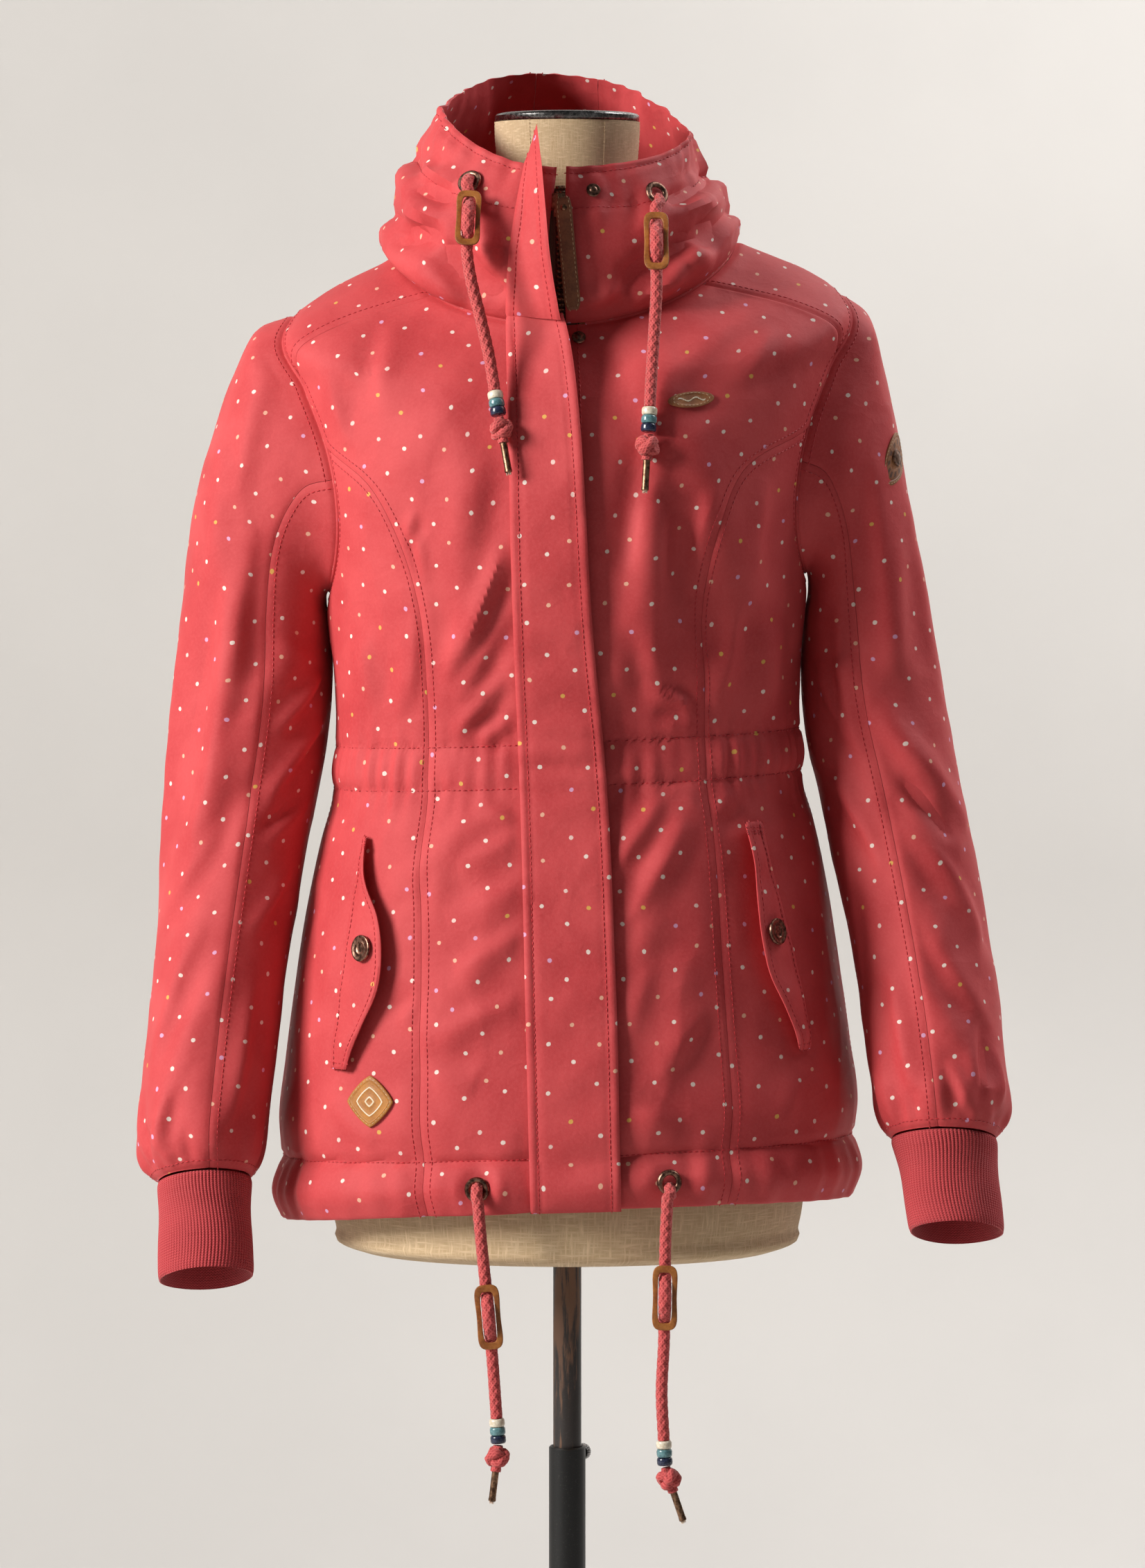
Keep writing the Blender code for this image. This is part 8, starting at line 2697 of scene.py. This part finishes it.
@dataclass
class Drawcord:
    """One free end of a drawcord: cord, leather toggle, beads, knot and metal tip.

    Attributes:
        name: Which of the four it is.
        step: Distance between two rings of the cord.
        strand: Height of the braid on it.
    """

    shop: Workshop
    name: str
    step: float = 0.0011
    strand: float = 0.00062
    toggle_ring: int = 96

    def build(self) -> None:
        """Make the cord and what is on it."""
        line = through(CORD_ROWS[self.name], 200)
        run = np.concatenate([[0.0], np.cumsum(np.linalg.norm(np.diff(line, axis=0), axis=1))])

        def at(distance: Array) -> Array:
            """Places along the cord's line."""
            return np.stack([np.interp(distance, run, line[:, i]) for i in range(3)], -1)
        middle = TOGGLE_AT[self.name]
        way = at(np.array([middle + CORD_RISE_HALF])) - at(np.array([middle - CORD_RISE_HALF]))
        place = self.stand_on(at(np.array([middle]))[0], way[0])
        forward = np.array(place.to_3x3().col[2])
        spots = np.linspace(0, run[-1], max(12, round(run[-1] / self.step)))
        path = at(spots) + cord_rise(spots - middle)[:, None] * forward
        path, radius = self.rooted(path, CORD_RADIUS + 0.0005 * band(spots, middle, 0.016))
        cord = tube(f"cord_{self.name}", path, radius, 28, self.strand, 0.0080, 5)
        self.shop.dress(cord, self.shop.finishes.braid, "cord", (f"cord_{self.name}",))
        toggle = self.toggle(place @ Matrix.Translation((0, 0, TOGGLE_OFF)))
        down = Vector(path[-1] - path[-2]).normalized()
        start = Vector(path[-1]) + down * BEAD_GAP
        beads = self.beads(start, down)
        end = start + down * (-BEADS[-1][1] + CORD_END_GAP)
        tips = self.tip(end)
        tuple(path[0])

    def rooted(self, path: Array, radius: Array) -> tuple[Array, Array]:
        """The path and radius with the cord's root before them, out of the eyelet and over its ring."""
        x, level, where = EYELETS[f"eyelet_{self.name}"]
        spot, normal = front_place(np.array([x]), np.array([level]), where == "hood")
        out, down = normal[0], path[4] - path[0]
        down = down / np.linalg.norm(down)
        corners = [spot[0] - out * 0.0010 + down * 0.0008, spot[0] + out * 0.0026 + down * 0.0020,
                   spot[0] + out * 0.0060 + down * 0.0064, path[5], path[9]]
        root = through(corners, 26)
        root = root[np.linalg.norm(root - path[9], axis=1) > 0.0012]
        return np.concatenate([root, path[9:]]), np.concatenate([np.full(len(root), radius[0]), radius[9:]])

    def stand_on(self, point: Array, way: Array) -> Matrix:
        """Matrix with +Y up against the way a cord runs, and +Z towards its front."""
        up = -Vector(way).normalized()
        front = Vector((0, -1, 0))
        front = (front - front.dot(up) * up).normalized()
        across = up.cross(front)
        place = Matrix((across, up, front)).transposed().to_4x4()
        place.translation = Vector(point)
        return place

    def toggle(self, place: Matrix) -> bpy.types.Object:
        """A leather plate with one slot: rounded edges, light where it was cut."""
        ring_count = self.toggle_ring
        outline = squared_oval(TOGGLE_HALF[0] * 0.96, TOGGLE_HALF[1], 3.4, ring_count)
        waist = TOGGLE_WAIST - 0.04
        outline[:, 0] *= waist + (1 - waist) * (outline[:, 1] / TOGGLE_HALF[1]) ** 2
        slot = squared_oval(*TOGGLE_SLOT, 5.0, ring_count)
        rows = ((0.00, 0.0), (0.0, 0.55), (0.045, 0.90), (0.12, 1.0), (0.30, 1.06), (0.50, 1.08),
                (0.70, 1.06),
                (0.88, 1.0), (0.96, 0.90), (1.0, 0.55), (1.0, 0.0))
        half = TOGGLE_THICK / 2
        back = [(share, -up * half) for share, up in rows[-2:0:-1]]
        loop = [(share, up * half) for share, up in rows] + back
        points = []
        for share, height in loop:
            flat = (1 - share) * outline + share * slot
            points.append(np.column_stack([flat, np.full(ring_count, height)]))
        points = np.array(points)
        faces, edge = [], []
        for row in range(len(loop)):
            after_row = (row + 1) % len(loop)
            for k in range(ring_count):
                after = (k + 1) % ring_count
                faces.append((row * ring_count + k, row * ring_count + after, after_row * ring_count + after,
                              after_row * ring_count + k))
                edge.append(loop[row][0] in (0.0, 1.0) and loop[after_row][0] in (0.0, 1.0))
        matrix = np.array(place)
        world = points.reshape(-1, 3) @ matrix[:3, :3].T + matrix[:3, 3]
        piece = to_mesh(f"toggle_{self.name}", world, faces, sharp=60)
        self.shop.dress(piece, self.shop.finishes.toggle, "leather", (f"toggle_{self.name}",))
        piece.data.materials.append(self.shop.finishes.cut_edge)
        for face, cut in zip(piece.data.polygons, edge):
            face.material_index = 1 if cut else 0
        return piece

    def beads(self, start: Vector, down: Vector) -> list[bpy.types.Object]:
        """A cream, a teal and a navy bead, one under another."""
        pieces = []
        finishes = self.shop.finishes
        colours = (("cream", finishes.cream), ("teal", finishes.teal), ("navy", finishes.navy))
        for index, (word, material) in enumerate(colours):
            top = -0.0062 * index - 0.00008
            rows = ((0.0, 0.0), (0.70, 0.0), (0.88, -0.0002), (0.96, -0.0008), (1.0, -0.0018), (1.0, -0.0042),
                    (0.96, -0.0052), (0.88, -0.0058), (0.70, -0.0060), (0.0, -0.0060))
            profile = [(share * 0.00575, top + height) for share, height in rows]
            piece = lathe(f"bead_{word}_{self.name}", profile, hang_on(start, down), 36, sharp=60)
            self.shop.dress(piece, material, "beads", (f"beads_{self.name}",))
            pieces.append(piece)
        return pieces

    def tip(self, end: Vector) -> list[bpy.types.Object]:
        """The fluffy knot, the metal tip below it and the frayed end that shows out of the tip."""
        way = Vector(CORD_END_WAY[self.name]).normalized()
        place = hang_on(end, way)
        matrix = np.array(place)
        angle = np.linspace(0, 2 * math.pi, 90, endpoint=False)
        turns = 2.0
        wind = angle * turns
        radius = 0.0043 + 0.0014 * np.cos(3 * angle)
        knot_line = np.stack([radius * np.cos(wind), radius * np.sin(wind),
                              -0.0088 + 0.0036 * np.sin(3 * angle)], -1)
        first = np.stack([np.zeros(5), np.zeros(5), np.linspace(0.0, -0.0028, 5)], -1)
        last = np.stack([np.zeros(8), np.zeros(8), np.linspace(-0.0145, -0.0200, 8)], -1)
        bend = through(np.concatenate([first[::2], knot_line[::6], last[::3]]), 150)
        local = bend @ matrix[:3, :3].T + matrix[:3, 3]
        knot = tube(f"knot_{self.name}", local, 0.0040, 18, 0.0005, 0.0085, 3)
        self.shop.dress(knot, self.shop.finishes.braid, "cord", (f"cord_end_{self.name}",))
        profile = [(0.0, -0.0165), (0.0024, -0.0165), (0.0030, -0.0168), (0.0031, -0.0174), (0.0028, -0.0182),
                   (0.0026, -0.0200), (0.0026, -0.0385), (0.0028, -0.0400), (0.0028, -0.0412),
                   (0.0024, -0.0416),
                   (0.0, -0.0414)]
        metal = lathe(f"tip_{self.name}", profile, place, 28)
        self.shop.dress(metal, self.shop.finishes.bronze, "copper", (f"cord_end_{self.name}",))
        rng = np.random.default_rng(sum(map(ord, self.name)))
        bm = bmesh.new()
        for _ in range(34):
            spread = 0.0016 * math.sqrt(rng.random())
            turn = 2 * math.pi * rng.random()
            root = Vector((spread * math.cos(turn), spread * math.sin(turn), -0.0412))
            lean = Vector((0.35 * math.cos(turn) * rng.random(), 0.35 * math.sin(turn) * rng.random(), -1.0))
            long = 0.0026 * (0.5 + 0.5 * rng.random())
            strand = (lean.normalized()).to_track_quat("Z", "Y").to_matrix().to_4x4()
            strand.translation = root + lean.normalized() * long / 2
            bmesh.ops.create_cone(bm, cap_ends=True, segments=4, radius1=0.00022, radius2=0.00012, depth=long,
                                  matrix=place @ strand)
        data = bpy.data.meshes.new(f"frayed_{self.name}")
        bm.to_mesh(data)
        bm.free()
        frayed = bpy.data.objects.new(data.name, data)
        bpy.context.scene.collection.objects.link(frayed)
        self.shop.dress(frayed, self.shop.finishes.frayed, "cord", (f"cord_end_{self.name}",))
        return [knot, metal, frayed]


# ---------------------------------------------------------------- dress form and stand
@dataclass
class DressForm:
    """The linen-covered form with its neck cap."""

    shop: Workshop
    around: int = 176
    lines: list[tuple[Array, Array]] = field(default_factory=list)

    def build(self) -> None:
        """Make the form and the cap."""
        theta = (np.arange(self.around) * 2 * math.pi / self.around)[:, None]
        low = FORM.knots[0]
        knots = np.concatenate([np.linspace(low, low + 0.006, 5)[:-1],
                                np.linspace(low + 0.006, FORM.knots[-1], 210)])
        theta, level = np.broadcast_arrays(theta, knots[None, :])
        x, y = ring(FORM, level, theta)
        points = np.stack([x, y, level], -1)
        neck = np.clip((level - 1.43) / 0.03, 0, 1)
        puff = 0.0007 * neck * np.abs(np.sin(theta * 3.0)) ** 0.35
        seam = -0.0012 * np.exp(-(((level - 1.452) / 0.0016) ** 2))
        out = np.stack([np.cos(theta), np.sin(theta), 0 * theta], -1)
        points = points + out * (puff + seam - 0.0006 * neck)[..., None]
        rows = points.shape[1]
        faces = grid_faces(self.around, rows, 0, wrap=True)
        bottom, top = self.around * rows, self.around * rows + 1
        for i in range(self.around):
            after = (i + 1) % self.around
            faces.append((bottom, after * rows, i * rows))
            faces.append((top, i * rows + rows - 1, after * rows + rows - 1))
        flat = np.stack([theta * 0.16, level], -1).reshape(-1, 2)
        flat = np.concatenate([flat, [[0.0, low], [0.0, FORM.knots[-1]]]])
        caps = np.array([[0.0, 0.0, low], [0.0, 0.0, FORM.knots[-1]]])
        piece = to_mesh("form_linen", np.concatenate([points.reshape(-1, 3), caps]), faces, flat, 50)
        self.shop.dress(piece, self.shop.finishes.linen, "linen", ("dress_form",))
        for k in range(6):
            column = round(k * self.around / 6)
            height = level[column] > 1.4525
            ways = out[column][height]
            self.lines.append((points[column][height] + ways * 0.0002, ways))
        profile = ((0.0, CAP_TOP), (CAP_RADIUS * 0.80, CAP_TOP), (CAP_RADIUS * 0.93, CAP_TOP - 0.0003),
                   (CAP_RADIUS - 0.0012, CAP_TOP - 0.0010), (CAP_RADIUS, CAP_TOP - 0.0024),
                   (CAP_RADIUS, CAP_LOW + 0.0012), (CAP_RADIUS - 0.0006, CAP_LOW), (0.0, CAP_LOW))
        cap = lathe("neck_cap_dressed", profile, Matrix.Identity(4), 128)
        self.shop.dress(cap, self.shop.finishes.steel, "steel", ("neck_cap",))


@dataclass
class Stand:
    """The base, the two tubes and the clamp."""

    shop: Workshop

    def build(self) -> None:
        """Make every piece of the stand."""
        finishes = self.shop.finishes
        round_over = 0.0011
        pole = ((0.0, POLE_TOP), (POLE_RADIUS - round_over, POLE_TOP), (POLE_RADIUS, POLE_TOP - round_over),
                (POLE_RADIUS, 0.60), (POLE_RADIUS, 0.45), (POLE_RADIUS, POLE_LOW + round_over),
                (POLE_RADIUS - round_over, POLE_LOW), (0.0, POLE_LOW))
        self.shop.dress(lathe("pole_dressed", pole, Matrix.Identity(4), 96), finishes.worn, "worn_paint",
                        ("inner_pole",), Body.MAST)
        wall = TUBE_RADIUS - TUBE_BORE
        shell = ((TUBE_RADIUS - wall * 0.3, TUBE_TOP), (TUBE_RADIUS, TUBE_TOP - wall * 0.4),
                 (TUBE_RADIUS, 0.30),
                 (TUBE_RADIUS, TUBE_LOW + 0.0006), (TUBE_RADIUS - 0.0006, TUBE_LOW), (TUBE_BORE, TUBE_LOW),
                 (TUBE_BORE, TUBE_TOP - wall * 0.4), (TUBE_BORE + wall * 0.3, TUBE_TOP))
        self.shop.dress(lathe("tube_dressed", shell, Matrix.Identity(4), 96, closed=True), finishes.black,
                        "black_paint", ("outer_tube",), Body.STAND)
        top = BASE_THICK + 0.0022
        base = ((0.0, top), (BOSS_RADIUS - 0.001, top), (BOSS_RADIUS, top - 0.0006),
                (BOSS_RADIUS + 0.0024, BASE_THICK + 0.0004), (BOSS_RADIUS + 0.004, BASE_THICK),
                (0.10, BASE_THICK), (BASE_RADIUS - 0.007, BASE_THICK),
                (BASE_RADIUS - 0.0030, BASE_THICK - 0.0011),
                (BASE_RADIUS - 0.0008, BASE_THICK - 0.0034), (BASE_RADIUS, BASE_THICK / 2),
                (BASE_RADIUS, 0.0012),
                (BASE_RADIUS - 0.001, 0.0), (0.0, 0.0))
        self.shop.dress(lathe("base_dressed", base, Matrix.Identity(4), 160), finishes.black, "black_paint",
                        ("base",), Body.STAND)
        self.clamp()

    def clamp(self) -> None:
        """The thumb screw: a stem and a knurled head."""
        way = Vector((math.cos(SCREW_AROUND), math.sin(SCREW_AROUND), 0.0))
        place = way.to_track_quat("Z", "Y").to_matrix().to_4x4()
        place.translation = way * (TUBE_RADIUS + 0.0003) + Vector((0, 0, SCREW_HEIGHT))
        end = SCREW_STEM_LENGTH + SCREW_HEAD_LENGTH
        steps = 96
        rows = ((0.0, end), (0.55, end - 0.0002), (0.84, end), (0.95, end - 0.0005), (1.0, end - 0.0012),
                (1.0, SCREW_STEM_LENGTH + 0.0010), (0.95, SCREW_STEM_LENGTH), (0.5, SCREW_STEM_LENGTH))
        profile = [(share * SCREW_HEAD, height) for share, height in rows]
        profile += [(SCREW_STEM, SCREW_STEM_LENGTH - 0.0003), (SCREW_STEM, 0.0004),
                    (SCREW_STEM - 0.0004, 0.0), (0.0, 0.0)]
        piece = lathe("screw_dressed", profile, Matrix.Identity(4), steps)
        for vert in piece.data.vertices:
            flat = math.hypot(vert.co.x, vert.co.y)
            if flat > 0.93 * SCREW_HEAD:
                turn = math.atan2(vert.co.y, vert.co.x)
                shrink = 1 - 0.05 * (0.5 + 0.5 * math.cos(24 * turn))
                vert.co.x *= shrink
                vert.co.y *= shrink
        piece.data.transform(place)
        self.shop.dress(piece, self.shop.finishes.steel, "steel", ("clamp_screw",), Body.CLAMP)


# ---------------------------------------------------------------- sewing
THREAD_LIFT = 0.00012                            # how far the stitches stand out of the cloth
COAT_PITCH, COAT_STITCH = 0.0042, (0.0032, 0.00105, 0.00080)
FORM_PITCH, FORM_STITCH = 0.0028, (0.0021, 0.0005, 0.0004)


def sew(shop: Workshop, name: str, lines: Sequence[tuple[Array, Array]], pitch: float,
        size: Sequence[float], material: bpy.types.Material, slot: str) -> None:
    """Topstitching along every kept line."""
    usable = [(line + ways * THREAD_LIFT, ways) for line, ways in lines if len(line) > 3]
    sewing = Repeater(f"{name}_tree", pitch, size, material)
    shop.dress(sewing.along(name, usable), None, slot)


# ---------------------------------------------------------------- camera, light and ground
FLOOR_DROP = 0.0002      # the floor lies this far below the base


@dataclass(frozen=True)
class Studio:
    """Camera at the photograph's angle, soft light from the viewer's left, pale floor and backdrop."""

    eye: tuple[float, float, float] = (0.004, -4.5, 1.300)
    pitch: float = 3.27
    lens: float = 136.2
    wall_y: float = 2.4
    wall_top: float = 5.0
    floor_from: float = -7.0
    half_width: float = 6.0
    bend: float = 0.8
    paper: Colour = (0.555, 0.533, 0.510)
    ambient: Colour = (0.90, 0.89, 0.88)
    ambient_strength: float = 0.085

    def camera(self) -> None:
        """Set the camera."""
        data = bpy.data.cameras.new("camera")
        data.lens = self.lens
        data.sensor_width = 36.0
        data.clip_end = 40.0
        item = bpy.data.objects.new("camera", data)
        item.location = self.eye
        item.rotation_euler = (math.radians(90 - self.pitch), 0.0, 0.0)
        bpy.context.scene.collection.objects.link(item)
        bpy.context.scene.camera = item

    def lights(self) -> None:
        """Set the soft boxes and the ambient light."""
        lamps = (
            ("key", (-3.85, -2.0, 2.85), (0.0, 0.0, 1.10), 1.7, 305.0, (1.0, 0.985, 0.95)),
            ("fill", (2.6, -3.6, 1.2), (0.0, 0.0, 1.00), 2.4, 2.5, (0.98, 0.985, 1.0)),
            ("top", (-1.3, -0.8, 3.4), (-0.1, 0.0, 1.3), 1.6, 3.0, (1.0, 1.0, 1.0)),
            ("wall", (1.9, 0.9, 3.3), (1.6, 2.4, 1.1), 1.8, 110.0, (1.0, 1.0, 1.0)),
        )
        for name, place, aim, size, power, colour in lamps:
            data = bpy.data.lights.new(name, "AREA")
            data.shape = "SQUARE"
            data.size = size
            data.energy = power
            data.color = colour
            item = bpy.data.objects.new(name, data)
            item.location = place
            item.rotation_euler = (Vector(aim) - Vector(place)).to_track_quat("-Z", "Y").to_euler()
            bpy.context.scene.collection.objects.link(item)
        world = bpy.data.worlds.new("studio")
        world.use_nodes = True
        world.node_tree.nodes["Background"].inputs["Color"].default_value = (*self.ambient, 1.0)
        world.node_tree.nodes["Background"].inputs["Strength"].default_value = self.ambient_strength
        bpy.context.scene.world = world

    def ground(self) -> None:
        """A floor that curves up into the backdrop."""
        foot = self.wall_y - self.bend
        profile = [(self.floor_from, 0.0), (foot, 0.0)]
        for angle in np.linspace(0.1, RIGHT_ANGLE, 14):
            profile.append((foot + self.bend * math.sin(angle), self.bend - self.bend * math.cos(angle)))
        profile.append((self.wall_y, self.wall_top))
        points = [(x, y, z - FLOOR_DROP) for x in (-self.half_width, self.half_width) for y, z in profile]
        count = len(profile)
        faces = [(i, count + i, count + i + 1, i + 1) for i in range(count - 1)]
        floor = to_mesh("studio_floor", np.array(points), faces, sharp=180)
        floor.data.materials.append(Backdrop("backdrop_paper", self.paper).make())

    def build(self) -> None:
        """Set the whole studio; its colours are shown plainly, as a camera's picture has them."""
        bpy.context.scene.view_settings.view_transform = "Standard"
        self.camera()
        self.lights()
        self.ground()


SEAM_DEPTH = 0.0022      # how far behind the seam the middle of its allowance lies
SEAM_ROLL = 0.0016       # radius of the rolled allowance
SEAM_POINTS = 260


def close_seams(shop: Workshop) -> None:
    """Roll the allowances behind the neck seam and both armholes, so that nothing shows through."""
    theta = -RIGHT_ANGLE + np.linspace(0.10, 2 * math.pi - 0.10, SEAM_POINTS)
    neck = body_face(theta, np.full(theta.shape, NECK))
    ways = {"neck": (neck, neck * (-1.0, -1.0, 0.0))}
    for side in Side:
        turn = np.linspace(0, 2 * math.pi, 200)
        hole, level = armhole(turn)
        rim = body_face(armhole_theta(hole, side), level)
        middle = rim.mean(axis=0) - (0.05 * side.value, 0.0, 0.0)
        ways[f"armhole_{side.word}"] = (rim, middle - rim)
    for name, (line, inward) in ways.items():
        inward = inward / np.linalg.norm(inward, axis=-1, keepdims=True)
        roll = tube(f"seam_allowance_{name}", hang(line + inward * SEAM_DEPTH), SEAM_ROLL, 10)
        shop.dress(roll, shop.finishes.cloth, "cloth")


def main() -> None:
    """Build the whole part in order."""
    logging.basicConfig(level=logging.INFO, format="%(message)s")
    studio = Studio()
    studio.build()
    shop = Workshop(Finishes())
    for name in CORD_ROWS:
        Drawcord(shop, name).build()
    coat = CoatBody(shop)
    sleeves = Sleeves(shop)
    hood = Hood(shop)
    closure = Closure(shop)
    pockets = Pockets(shop)
    form = DressForm(shop)
    for part in (coat, sleeves, hood, closure, pockets, Fastenings(shop), Patches(shop), form, Stand(shop)):
        LOG.info("building %s", type(part).__name__)
        part.build()
    close_seams(shop)
    seams = coat.lines + sleeves.lines + hood.lines + closure.lines + pockets.lines
    sew(shop, "topstitching", seams, COAT_PITCH, COAT_STITCH, shop.finishes.stitch, "cloth")
    sew(shop, "form_stitches", form.lines, FORM_PITCH, FORM_STITCH, shop.finishes.linen, "linen")


if __name__ == "__main__":
    main()
